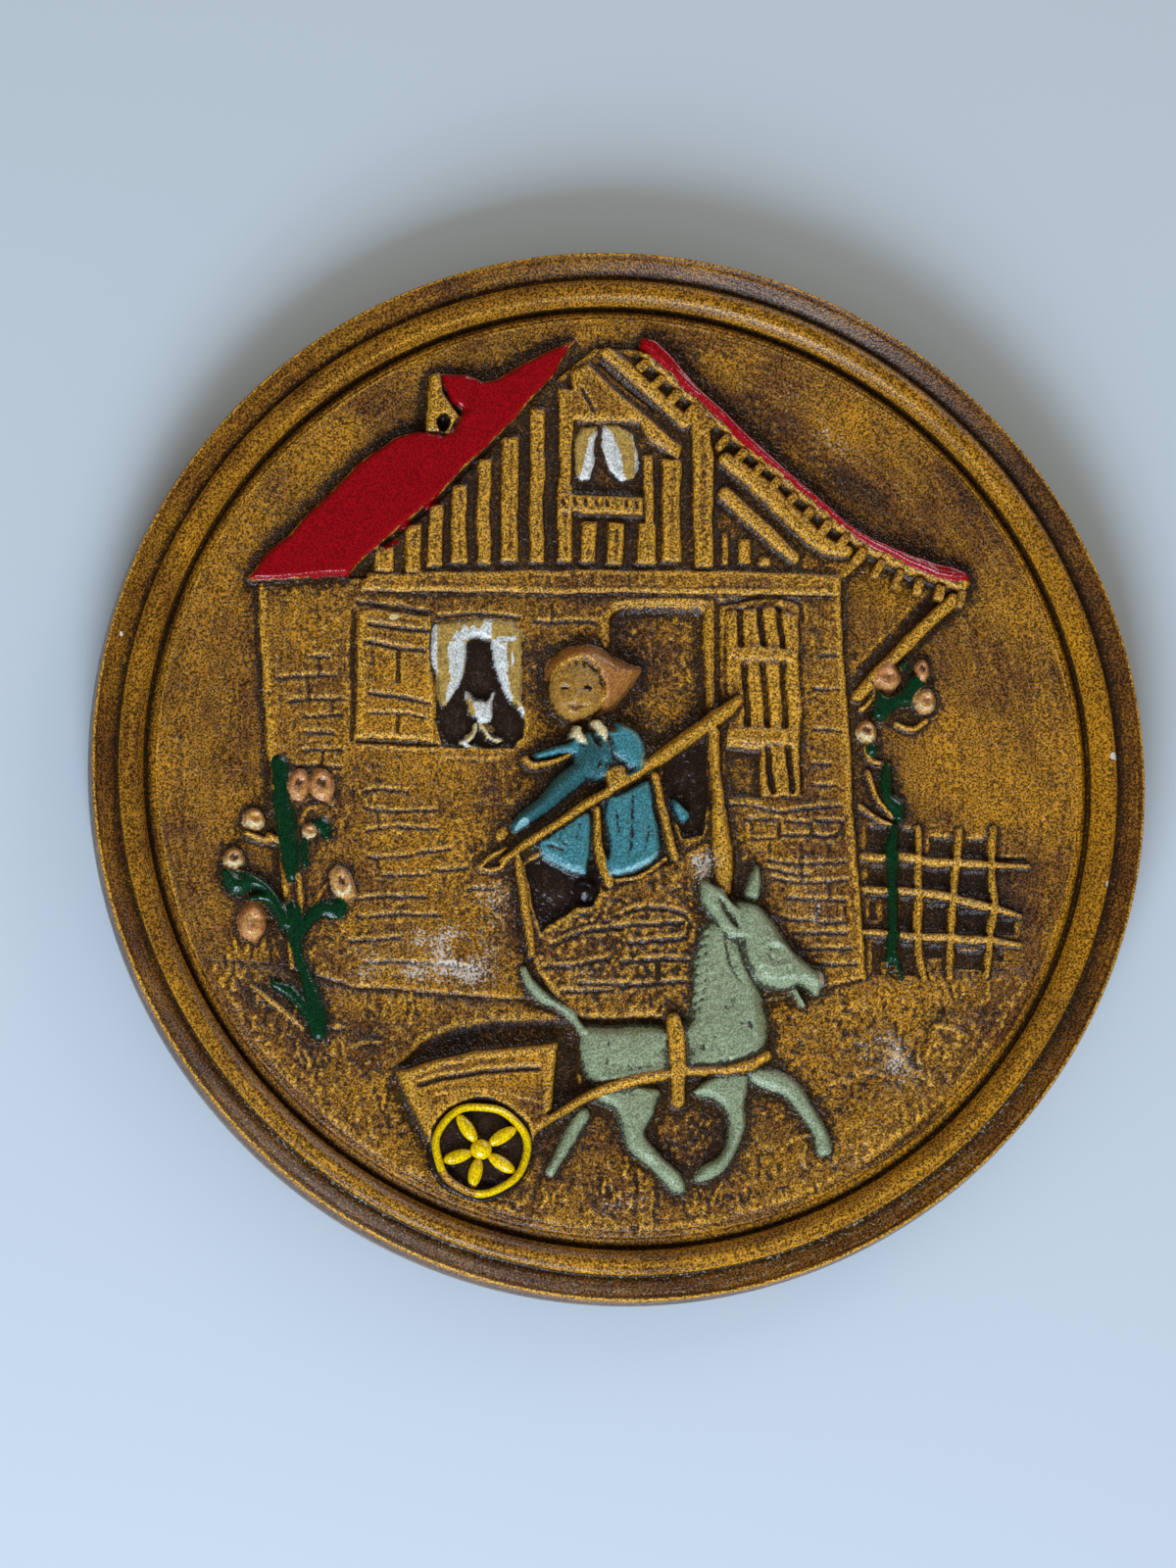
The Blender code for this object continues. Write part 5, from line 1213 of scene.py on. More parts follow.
@dataclass
class Hollyhocks:
    """The hollyhocks at both corners of the house."""

    leaf: float = 2.3
    bloom: float = 3.1

    def carve(self, canvas: Canvas) -> None:
        """Carves both plants onto the canvas."""
        canvas.work_on(Part.FLOWERS_LEFT, 0.04)
        self.left_plant(canvas)
        canvas.work_on(Part.FLOWERS_RIGHT, 0.04)
        self.right_plant(canvas)

    def leaf_stroke(self, canvas: Canvas, path: tuple, width: float | tuple, lift: float = 0.0) -> None:
        """Lays a leaf or a stem with a vein along it."""
        canvas.bar(path, width, self.leaf + lift, 0.9, Enamel.BOTTLE_GREEN)
        if len(path) > 2:
            canvas.groove(path, 0.7, 0.18)

    def bloom_at(self, canvas: Canvas, centre: tuple, radii: tuple, turn: float = 0.0, paint: Enamel = Enamel.PEACH,
                 eye: Enamel | None = Enamel.UMBER) -> None:
        """Dabs a blossom: a raised pad with curled petals round a sunk eye."""
        canvas.lay(Oval(centre, radii, turn), self.bloom, 0.6, paint)
        reach, ring = min(radii), []
        for k in range(9):
            a = math.radians(turn + 20 + 38 * k)
            ring.append((centre[0] + 0.68 * radii[0] * math.cos(a), centre[1] + 0.68 * radii[1] * math.sin(a)))
        canvas.groove(tuple(ring), tuple(reach * (0.3 + 0.16 * (k % 3)) for k in range(9)), -0.42)
        # A lighter dab along the lower petals: partly the paint's own lighter dab and partly a painted highlight on the
        # side the light comes from
        canvas.brush(Stroke(tuple(ring[5:9]), reach * 0.24), Enamel.CREAM if paint is Enamel.PEACH else Enamel.LINEN)
        inner = (centre[0] - 0.08 * radii[0], centre[1] + 0.06 * radii[1])
        canvas.score(Oval(inner, (0.46 * radii[0], 0.44 * radii[1]), turn), 0.75)
        canvas.groove((inner, ring[0], (2 * ring[0][0] - inner[0], 2 * ring[0][1] - inner[1])), reach * 0.24, 0.5)
        if eye:
            canvas.brush(Oval(inner, (0.34 * radii[0], 0.3 * radii[1]), turn), eye)

    def left_plant(self, canvas: Canvas) -> None:
        """Carves the plant on the left."""
        for path, width in (
            (((-83, -16.4), (-80, -18.4), (-79, -22)), 2.2), (((-88, -16), (-84, -17.4), (-81, -17)), 1.6),
            (((-76.4, -9), (-72.6, -7), (-68, -8.4)), 1.8), (((-75, -17.6), (-74.6, -11), (-72, -9.6)), 1.4),
            (((-90.6, -25), (-86, -26.6), (-81.6, -31)), 1.4), (((-72.4, -33), (-70.4, -29), (-68, -26)), 1.6)
        ):
            canvas.bar(path, width, self.leaf - 0.6, 0.9)
        canvas.bar(((-86.4, -52.4), (-81.6, -55.8), (-78, -58.6), (-74.6, -61.6)), (1, 1.8, 1.6, 1), 1.7, 0.9)
        self.leaf_stroke(
            canvas, ((-80.4, 1), (-79.8, -6), (-79, -13), (-78, -20), (-77.4, -25.6)), (3.8, 4.6, 5.4, 4.8, 3.2), 0.3
        )
        canvas.bar(((-76, -25.6), (-75.4, -31), (-75.6, -36)), (1.6, 2, 1.4), self.leaf, 0.9)
        self.leaf_stroke(
            canvas, ((-77, -34), (-76.4, -40), (-75.4, -45.6), (-73.4, -51), (-71.4, -57), (-70.8, -62.6)),
            (4, 3.2, 2.8, 3.6, 5, 4)
        )
        self.leaf_stroke(canvas, ((-81.6, -51.4), (-77.8, -53), (-74.2, -56.6), (-72.4, -60)), (2, 3.2, 3, 2), -0.2)
        self.leaf_stroke(
            canvas, ((-93, -25), (-90.6, -28), (-87, -27.4), (-83.6, -28.6), (-81, -32.4), (-79, -37)),
            (2.6, 5.6, 4.4, 2.8, 3, 3)
        )
        self.leaf_stroke(canvas, ((-87, -31.4), (-83.4, -31), (-80.6, -33), (-79, -36.6)), (2.2, 3.2, 3.2, 2.6))
        self.leaf_stroke(
            canvas, ((-65.4, -31), (-66.6, -33.4), (-70, -33.4), (-73, -35.4), (-75.6, -39.4)),
            (2.4, 4.6, 4, 2.8, 2.6)
        )
        self.leaf_stroke(canvas, ((-74.6, -23), (-74.6, -18.6), (-74, -16.6)), (1.6, 2, 1.6))
        self.leaf_stroke(canvas, ((-72.6, -14.4), (-70.4, -13.6), (-69.2, -16)), (2.2, 4, 2))
        self.bloom_at(canvas, (-75.8, -4.2), (2.7, 4.0))
        self.bloom_at(canvas, (-70.4, -4.2), (2.9, 3.9), 10)
        self.bloom_at(canvas, (-86.2, -12.6), (2.6, 2.8), 0, Enamel.CREAM, Enamel.AMBER)
        self.bloom_at(canvas, (-73.2, -15.4), (1.7, 1.6), 0, Enamel.CREAM, None)
        self.bloom_at(canvas, (-91.2, -22), (2.8, 2.6), 0, Enamel.CREAM)
        self.bloom_at(canvas, (-86.6, -36.8), (3.5, 4.7), -10, Enamel.PEACH, Enamel.CREAM)
        self.bloom_at(canvas, (-65.6, -27), (2.8, 4.6), 25, Enamel.CREAM)

    def right_plant(self, canvas: Canvas) -> None:
        """Carves the plant on the right."""
        for path, width in (
            (((59, 2), (61.4, -4), (65, -8.6)), 1.4), (((57.4, -6), (61, -8.6), (65, -10.4)), 1.2),
            (((58.6, 8), (59.6, 5), (62, 4.4)), 1.6), (((66, 14), (70, 13), (73, 15)), 1.4),
            (((57.6, 17), (60, 20), (60.6, 23)), 1.6)
        ):
            canvas.bar(path, width, self.leaf - 0.8, 0.9)
        self.leaf_stroke(
            canvas, ((65.4, -11), (64.6, -15.6), (65, -20), (64.6, -27), (64.6, -33), (64.3, -42)),
            (2, 3.4, 3.2, 2.6, 2.8, 3), 0.2
        )
        canvas.bar(((65.4, -41), (66.2, -44), (66.6, -47)), (1.6, 1.4, 0.9), self.leaf, 0.9, Enamel.BOTTLE_GREEN)
        self.leaf_stroke(canvas, ((63.6, 3.8), (63.6, 0), (64, -4), (66, -6), (66.4, -8.6)), (2, 3.2, 3, 4.4, 2.6))
        canvas.lay(
            Outline(((59.4, 24), (61, 21.6), (60.2, 17.6), (60.4, 14.8), (63.4, 14.8), (66, 17.8), (69.6, 18.6),
             (70.6, 21), (73, 23.4), (72.4, 25.6), (69, 25.6), (67, 22), (63.4, 20.8)), smooth=True), self.leaf, 0.9,
            Enamel.BOTTLE_GREEN
        )
        canvas.lay(Oval((60.2, 7.8), (1.8, 2.5)), self.leaf, 0.8, Enamel.BOTTLE_GREEN)
        canvas.lay(Oval((67.8, 28), (1.3, 1.3)), self.leaf, 0.8, Enamel.BOTTLE_GREEN)
        self.bloom_at(canvas, (63.8, 24.8), (3.4, 3.3), 10, Enamel.PEACH, None)
        self.bloom_at(canvas, (72.6, 19.4), (2.8, 3.2), 0, Enamel.CREAM, Enamel.PEACH)
        self.bloom_at(canvas, (72, 27), (1.8, 2.9), 0, Enamel.PEACH, Enamel.UMBER)
        self.bloom_at(canvas, (58.9, 11.8), (2.6, 2.7), 0, Enamel.CREAM, Enamel.UMBER)


@dataclass
class Lattice:
    """The garden lattice to the right of the house: laid laths with sunk panes."""

    lath: float = 1.5
    sunk: float = -0.9

    def carve(self, canvas: Canvas) -> None:
        """Carves the lattice onto the canvas."""
        canvas.work_on(Part.LATTICE, 0.07)
        panes = (
            (58.6, -16.4, 63.4, -10.4), (66.4, -16.6, 70.4, -11), (73.4, -17.4, 79.2, -12.6), (82, -18, 87.4, -12.8),
            (58.8, -24.4, 63.2, -19.6), (66.6, -24, 69.6, -19.2), (72.2, -25.6, 79, -20.2), (81, -26.8, 87.4, -21),
            (66.4, -35, 69.6, -27.4), (72, -35, 77.6, -28.6), (80.2, -36, 87, -30), (89.8, -36, 94, -32),
            (66.4, -46, 70.6, -38), (72.8, -42, 77, -38.4), (79.6, -44, 86.4, -39.4), (59, -33, 61, -27.4),
            (59.6, -46, 62.4, -37.6), (89.4, -42.4, 91.4, -39.6)
        )
        for x0, z0, x1, z1 in panes:
            canvas.lay(box(x0, z0, x1, z1), self.sunk, 0.8, pressed=True)
        canvas.groove(((89.6, -17.6), (92, -17.9), (96.4, -17.6)), (1.4, 1.2, 0.6), 1.0)
        laths = (
            (((58, -17.8), (63, -18), (68, -17.8), (75, -19), (86, -19.4), (97, -19.6)),
             (2.0, 2.2, 2.4, 2.4, 2.2, 1.0)),
            (((58, -25.6), (70, -26.2), (80, -27.6), (88, -29.6), (95, -31.6)), (1.8, 2.2, 2.4, 2.2, 1.0)),
            (((58, -36), (66, -36.2), (75, -36.8), (88, -37.6), (95, -38.4)), (1.6, 2, 2.2, 2.2, 1.0)),
            (((71, -11), (71, -26.6), (70.8, -36.6), (72, -46.6)), (1.6, 2.2, 2.2, 1.6)),
            (((80.6, -11), (80, -19.6), (79, -28), (78.6, -37), (78.2, -46)), (1.8, 2.2, 2.2, 2, 1.6)),
            (((88.8, -10.6), (88.6, -20), (88.6, -29.4), (87.8, -38), (87, -45.6)), (1.8, 2, 2.2, 2, 1.4))
        )
        for path, width in laths:
            canvas.bar(path, width, self.lath, 0.7)
        for path, _ in laths[:3]:
            canvas.groove(tuple((x, z + 0.5) for x, z in path[1:-1]), 0.7, -0.35)
        for x, z in ((73, -44), (75.6, -45.4), (77.6, -43.6), (82, -45.6), (85.6, -44.6)):
            canvas.groove(((x, z), (x + 0.8, z - 2.4)), 1.0, -0.5)


@dataclass(frozen=True)
class Grains:
    """How grain breaks an even cover up: each pattern's share, and the amounts where a grain starts and is full."""

    speck: float
    grit: float
    streak: float
    start: float
    full: float


@dataclass(frozen=True)
class StainedPlaster:
    """Cast plaster under a brown wood stain, rubbed back on the high places and varnished, with enamel brushwork.

    The stain gives golden ground with fine dark pits and redder brown where it lies thick, the varnish gives small
    sharp glints on the tooth of the casting and a pale bloom where it has dulled. The dark of the wash also paints
    shade, the rubbed golden also paints highlights, and the pale bloom also paints sheen and a reflection.
    """

    name: str
    golden: str = "#a87316"
    ochre: str = "#8a5d18"
    sienna: str = "#673f17"
    umber: str = "#442c18"
    # The rubbed golden also paints highlights, the dark of the wash also paints shade, and the pale bloom also paints
    # sheen and a reflection
    worn_and_highlight: str = "#c8942e"
    wash: str = "#271a12"
    bloom: str = "#d9d1c3"
    plaster: str = "#dedcd4"
    varnish_roughness: float = 0.27
    enamel_roughness: float = 0.22
    # The real pits are 0.2 to 0.3 mm; they are drawn a little coarser, so that they show
    speck_mm: float = 0.29
    grain_mm: float = 0.24
    grit_mm: float = 1.4
    blotch_mm: float = 8.0
    streak_mm: tuple[float, float] = (0.42, 7.0)
    streak_turned: bool = False
    wash_and_shade_grains: Grains = Grains(1.9, 0.2, 0.3, 0.3, 0.92)
    rub_and_highlight_grains: Grains = Grains(0.8, 0.2, 0.3, 0.1, 0.9)
    bloom_and_sheen_grains: Grains = Grains(2.9, 0.3, 1.0, 0.6, 1.15)
    wash_and_shade_cover: float = 0.92
    rub_and_highlight_cover: float = 0.8
    bloom_and_sheen_cover: float = 0.72
    # How far the grain darkens and lightens the stain and the enamel
    stain_shades: tuple[float, float] = (0.27, 1.66)
    enamel_shades: tuple[float, float] = (0.66, 1.26)
    tooth: float = 0.45
    specular: float = 0.5
    ior: float = 1.47
    chips: tuple = ()


class Nodes:
    """A node tree under construction."""

    def __init__(self, tree: bpy.types.NodeTree) -> None:
        """Keeps the tree."""
        self.tree = tree

    def add(
        self, kind: str, links: dict | None = None, values: dict | None = None, **settings: object
    ) -> bpy.types.Node:
        """Adds one node.

        Args:
            kind: the node's type name.
            links: input name or number to the output socket that feeds it.
            values: input name or number to its fixed value.
            settings: the node's own settings.

        Returns:
            The new node.
        """
        node = self.tree.nodes.new(kind)
        for key, value in settings.items():
            setattr(node, key, value)
        for key, value in (values or {}).items():
            node.inputs[key].default_value = value
        for key, socket in (links or {}).items():
            self.tree.links.new(socket, node.inputs[key])
        return node


class Finish(Nodes):
    """A material's node tree."""

    def __init__(self, name: str) -> None:
        """Starts a material with its shader and output."""
        self.material = bpy.data.materials.new(name)
        self.material.use_nodes = True
        super().__init__(self.material.node_tree)
        self.tree.nodes.clear()
        self.shader = self.add("ShaderNodeBsdfPrincipled")
        self.output = self.add("ShaderNodeOutputMaterial", {"Surface": self.shader.outputs[0]})

    def math(self, operation: str, first: object, second: object = 0.0) -> bpy.types.NodeSocket:
        """Returns: the output of a math node on two sockets or numbers."""
        both = dict(enumerate((first, second)))
        links = {k: v for k, v in both.items() if isinstance(v, bpy.types.NodeSocket)}
        values = {k: v for k, v in both.items() if k not in links}
        return self.add("ShaderNodeMath", links, values, operation=operation).outputs[0]

    def blend(self, share: object, first: object, second: object, mode: str = "MIX") -> bpy.types.NodeSocket:
        """Returns: a mix of two colours, each a socket or a linear colour."""
        three = {0: share, 6: first, 7: second}
        links = {k: v for k, v in three.items() if isinstance(v, bpy.types.NodeSocket)}
        values = {k: v for k, v in three.items() if k not in links}
        return self.add("ShaderNodeMix", links, values, data_type="RGBA", blend_type=mode, clamp_factor=True).outputs[2]


class PlasterFinish(Finish):
    """The node tree of the stained, rubbed and painted plaster."""

    def __init__(self, finish: StainedPlaster) -> None:
        """Builds the whole tree.

        Args:
            finish: the finish's colours and sizes.
        """
        super().__init__(finish.name)
        self.finish = finish
        self.place = self.add("ShaderNodeTexCoord").outputs["Object"]
        self.speck = self.lumps(finish.speck_mm, 1.0, 0.5)
        self.grain = self.lumps(finish.grain_mm, 1.0, 0.6)
        self.grit = self.lumps(finish.grit_mm, 3.0, 0.65)
        self.blotch = self.lumps(finish.blotch_mm, 4.0, 0.6)
        self.streak = self.brush_streaks()
        cover = self.enamel_cover()
        dark = self.broken(self.attribute("wash"), finish.wash_and_shade_grains)
        colour = self.blend(cover, self.stain(dark), self.enamel(dark))
        colour = self.chipped(colour)
        link = self.tree.links.new
        link(colour, self.shader.inputs["Base Color"])
        uneven = self.swing(self.grit, 0.3)
        rough = self.math("ADD", self.math("ADD", uneven, finish.varnish_roughness), self.math("MULTIPLY", dark, 0.04))
        gloss = self.add("ShaderNodeMix", {0: cover, 2: rough}, {3: finish.enamel_roughness}, data_type="FLOAT")
        link(gloss.outputs[0], self.shader.inputs["Roughness"])
        self.shader.inputs["Specular IOR Level"].default_value = finish.specular
        self.shader.inputs["IOR"].default_value = finish.ior
        link(self.surface(cover), self.shader.inputs["Normal"])

    def lumps(self, size: float, detail: float, roughness: float) -> bpy.types.NodeSocket:
        """Returns: noise whose lumps are about a size in millimetres across, which is half a wave."""
        values = {"Scale": HALF_WAVES_PER_METRE / size, "Detail": detail, "Roughness": roughness}
        return self.add("ShaderNodeTexNoise", {"Vector": self.place}, values).outputs[0]

    def attribute(self, name: str, output: str = "Fac") -> bpy.types.NodeSocket:
        """Returns: an attribute of the piece."""
        return self.add("ShaderNodeAttribute", attribute_name=name).outputs[output]

    def step(self, value: object, low: float, high: float) -> bpy.types.NodeSocket:
        """Returns: 0 below low and 1 above high, or the other way round where low is the greater."""
        node = self.add("ShaderNodeMapRange", {0: value}, {1: low, 2: high}, clamp=True)
        return node.outputs[0]

    def brush_streaks(self) -> bpy.types.NodeSocket:
        """Returns: the brush's streaks, upright on the relief and round the axis on the rim."""
        place = self.place
        if self.finish.streak_turned:
            apart = self.add("ShaderNodeSeparateXYZ", {0: place})
            square = [self.math("MULTIPLY", apart.outputs[k], apart.outputs[k]) for k in (0, 2)]
            radius = self.math("SQRT", self.math("ADD", *square))
            angle = self.math("ARCTAN2", apart.outputs[2], apart.outputs[0])
            along = self.math("MULTIPLY", angle, 0.1)
            place = self.add("ShaderNodeCombineXYZ", {0: radius, 1: apart.outputs[1], 2: along}).outputs[0]
        thin, long = self.finish.streak_mm
        mapped = self.add("ShaderNodeMapping", {0: place}, {"Scale": (1 / thin, 1 / thin, 1 / long)})
        values = {"Scale": HALF_WAVES_PER_METRE, "Detail": 3.0, "Roughness": 0.6}
        return self.add("ShaderNodeTexNoise", {"Vector": mapped.outputs[0]}, values).outputs[0]

    def enamel_cover(self) -> bpy.types.NodeSocket:
        """Returns: where enamel lies, with a brushed edge."""
        ragged = self.swing(self.grit, 1.2)
        return self.step(self.math("ADD", self.attribute("painted"), ragged), -0.1, 0.1)

    def swing(self, socket: bpy.types.NodeSocket, share: float) -> bpy.types.NodeSocket:
        """Returns: how far a noise is off its mean, times a share."""
        return self.math("MULTIPLY", self.math("SUBTRACT", socket, NOISE_MEAN), share)

    def broken(self, amount: bpy.types.NodeSocket, grains: Grains) -> bpy.types.NodeSocket:
        """Breaks an even cover up into grains, as a wash does that was wiped over a toothed ground.

        Args:
            amount: how much lies there, 0 to 1.
            grains: how the specks, the grit and the brush's streaks break it up.

        Returns:
            The cover, 0 to 1.
        """
        for socket, share in ((self.speck, grains.speck), (self.grit, grains.grit), (self.streak, grains.streak)):
            amount = self.math("ADD", amount, self.swing(socket, share))
        return self.step(amount, grains.start, grains.full)

    def stain(self, dark: bpy.types.NodeSocket) -> bpy.types.NodeSocket:
        """Returns: the stained ground's colour, with its rubbed golden and painted highlights, under its wash and
        painted shade, and its pale bloom and painted sheen.
        """
        finish, tone = self.finish, self.attribute("tone")
        for socket, share in ((self.blotch, 0.8), (self.streak, 0.8), (self.grit, 0.16)):
            tone = self.math("ADD", tone, self.swing(socket, share))
        ramp = self.add("ShaderNodeValToRGB", {0: self.math("ADD", tone, 0.55)})
        stops = ramp.color_ramp.elements
        stops[0].position, stops[0].color = 0.12, linear(finish.umber)
        stops[1].position, stops[1].color = 0.82, linear(finish.golden)
        for position, colour in ((0.34, finish.sienna), (0.56, finish.ochre)):
            stops.new(position).color = linear(colour)
        # The rubbed golden of the crests, which also paints highlight lines along the rim's bead
        worn_and_highlight = self.math("MULTIPLY", self.broken(self.attribute("rub"), finish.rub_and_highlight_grains), finish.rub_and_highlight_cover)
        ground = self.grained(self.blend(worn_and_highlight, ramp.outputs[0], linear(finish.worn_and_highlight)), finish.stain_shades)
        # The dark of the wash, which also paints shade in hollows and round raised forms
        ground = self.blend(self.math("MULTIPLY", dark, finish.wash_and_shade_cover), ground, linear(finish.wash))
        # The pale bloom, with painted sheen and a painted reflection, goes over it all
        lies = self.math("MULTIPLY", self.step(self.attribute("haze"), 0.03, 0.3), finish.bloom_and_sheen_cover)
        bloom = self.math("MULTIPLY", self.broken(self.attribute("haze"), finish.bloom_and_sheen_grains), lies)
        return self.blend(bloom, ground, linear(finish.bloom))

    def grained(self, colour: bpy.types.NodeSocket, shades: tuple[float, float]) -> bpy.types.NodeSocket:
        """Returns: a colour made darker and lighter by the grain."""
        low, high = shades
        shade = self.add(
            "ShaderNodeMapRange", {0: self.grain}, {1: 0.4, 2: 0.6, 3: low, 4: high}, clamp=True
        ).outputs[0]
        grey = self.add("ShaderNodeCombineColor", {0: shade, 1: shade, 2: shade}).outputs[0]
        return self.blend(1.0, colour, grey, "MULTIPLY")

    def enamel(self, dark: bpy.types.NodeSocket) -> bpy.types.NodeSocket:
        """Returns: the brush colour, with as much of the wash and painted shade over it as its alpha says."""
        tint = self.add("ShaderNodeAttribute", attribute_name="tint")
        colour = self.grained(tint.outputs["Color"], self.finish.enamel_shades)
        return self.blend(self.math("MULTIPLY", tint.outputs["Alpha"], dark), colour, linear(self.finish.wash))

    def chipped(self, colour: bpy.types.NodeSocket) -> bpy.types.NodeSocket:
        """Returns: the colour with bare white plaster where the rim is chipped."""
        ragged = self.swing(self.grit, 0.003)
        for x, y, z, size in self.finish.chips:
            spot = tuple(c * MM for c in (x, y, z))
            gap = self.add("ShaderNodeVectorMath", {0: self.place}, {1: spot}, operation="DISTANCE").outputs["Value"]
            chip = self.step(self.math("ADD", gap, ragged), size * MM, size * MM * 0.8)
            colour = self.blend(chip, colour, linear(self.finish.plaster))
        return colour

    def surface(self, cover: bpy.types.NodeSocket) -> bpy.types.NodeSocket:
        """Returns: the normal of the fine tooth, calmer where enamel has filled it."""
        tooth = self.math("MULTIPLY", self.speck, 0.9)
        for socket, share in ((self.grit, 0.9), (self.streak, 0.4), (self.grain, 0.9)):
            tooth = self.math("ADD", tooth, self.math("MULTIPLY", socket, share))
        alpha = self.attribute("tint", "Alpha")
        filled = self.math("MULTIPLY", cover, self.math("SUBTRACT", 0.85, self.math("MULTIPLY", alpha, 0.7)))
        lift = self.math("MULTIPLY", tooth, self.math("SUBTRACT", 1.0, filled))
        return self.add(
            "ShaderNodeBump", {"Height": lift}, {"Strength": self.finish.tooth, "Distance": 0.0007}
        ).outputs[0]


class Shaper(Nodes):
    """A Geometry Nodes tree with named inputs, which is run on a start mesh."""

    def __init__(self, name: str, sizes: dict[str, float]) -> None:
        """Starts the tree.

        Args:
            name: the tree's name.
            sizes: input name to value. A whole number makes a whole-number input.
        """
        super().__init__(bpy.data.node_groups.new(name, "GeometryNodeTree"))
        face = self.tree.interface
        face.new_socket("Start", in_out="INPUT", socket_type="NodeSocketGeometry")
        for key, value in sizes.items():
            kind = "NodeSocketInt" if isinstance(value, int) else "NodeSocketFloat"
            face.new_socket(key, in_out="INPUT", socket_type=kind)
        face.new_socket("Result", in_out="OUTPUT", socket_type="NodeSocketGeometry")
        self.sizes = sizes
        self.given = self.add("NodeGroupInput").outputs

    def finish(self, shape: bpy.types.NodeSocket, material: bpy.types.Material) -> None:
        """Ends the tree: instances made real, shading set and the finish put on."""
        real = self.add("GeometryNodeRealizeInstances", {0: shape})
        smooth = self.add("GeometryNodeSetShadeSmooth", {0: real.outputs[0]}, {"Shade Smooth": True})
        dressed = self.add("GeometryNodeSetMaterial", {0: smooth.outputs[0]}, {"Material": material})
        self.add("NodeGroupOutput", {0: dressed.outputs[0]})

    def scaled(self, shape: bpy.types.NodeSocket, *sizes: object) -> bpy.types.NodeSocket:
        """Returns: a shape scaled along its three axes by sockets."""
        size = self.add("ShaderNodeCombineXYZ", dict(enumerate(sizes)))
        return self.add("GeometryNodeTransform", {"Geometry": shape, "Scale": size.outputs[0]}).outputs[0]

    def run(self, start: bpy.types.Mesh) -> bpy.types.Object:
        """Runs the tree on a mesh.

        Args:
            start: the mesh that it starts from.

        Returns:
            A new object with the result as its plain mesh.
        """
        holder = new_object("start", start)
        modifier = holder.modifiers.new("shape", "NODES")
        modifier.node_group = self.tree
        for item in self.tree.interface.items_tree:
            if item.name in self.sizes:
                modifier[item.identifier] = self.sizes[item.name]
        bpy.context.view_layer.update()
        mesh = bpy.data.meshes.new_from_object(holder.evaluated_get(bpy.context.evaluated_depsgraph_get()))
        holder.modifiers.clear()
        bpy.data.objects.remove(holder)
        mesh.name = self.tree.name
        return new_object(self.tree.name, mesh)


def places_of(mesh: bpy.types.Mesh) -> np.ndarray:
    """Returns: the places of a mesh's points in millimetres, one a row."""
    places = np.empty(len(mesh.vertices) * 3, np.float32)
    mesh.vertices.foreach_get("co", places)
    return places.reshape(-1, 3) / MM


def write_wear_and_painted_light(mesh: bpy.types.Mesh, tint: Enamel | None = None, **values: np.ndarray) -> None:
    """Writes what the finish reads by name: the wash with painted shade, the rub with painted highlights, the paint,
    the tone with painted shade and the haze with painted sheen, and the brush colour.
    """
    count = len(mesh.vertices)
    for name, usual in (("wash", 0.0), ("rub", 0.0), ("painted", BARE), ("tone", 0.0), ("haze", 0.0)):
        column = np.broadcast_to(values.get(name, usual), count).astype(np.float32)
        mesh.attributes.new(name, "FLOAT", "POINT").data.foreach_set("value", column)
    colour = (*linear(tint.value[0])[:3], tint.value[1]) if tint else (0.0,) * 4
    column = np.tile(np.array(colour, np.float32), count)
    mesh.attributes.new("tint", "FLOAT_COLOR", "POINT").data.foreach_set("color", column)


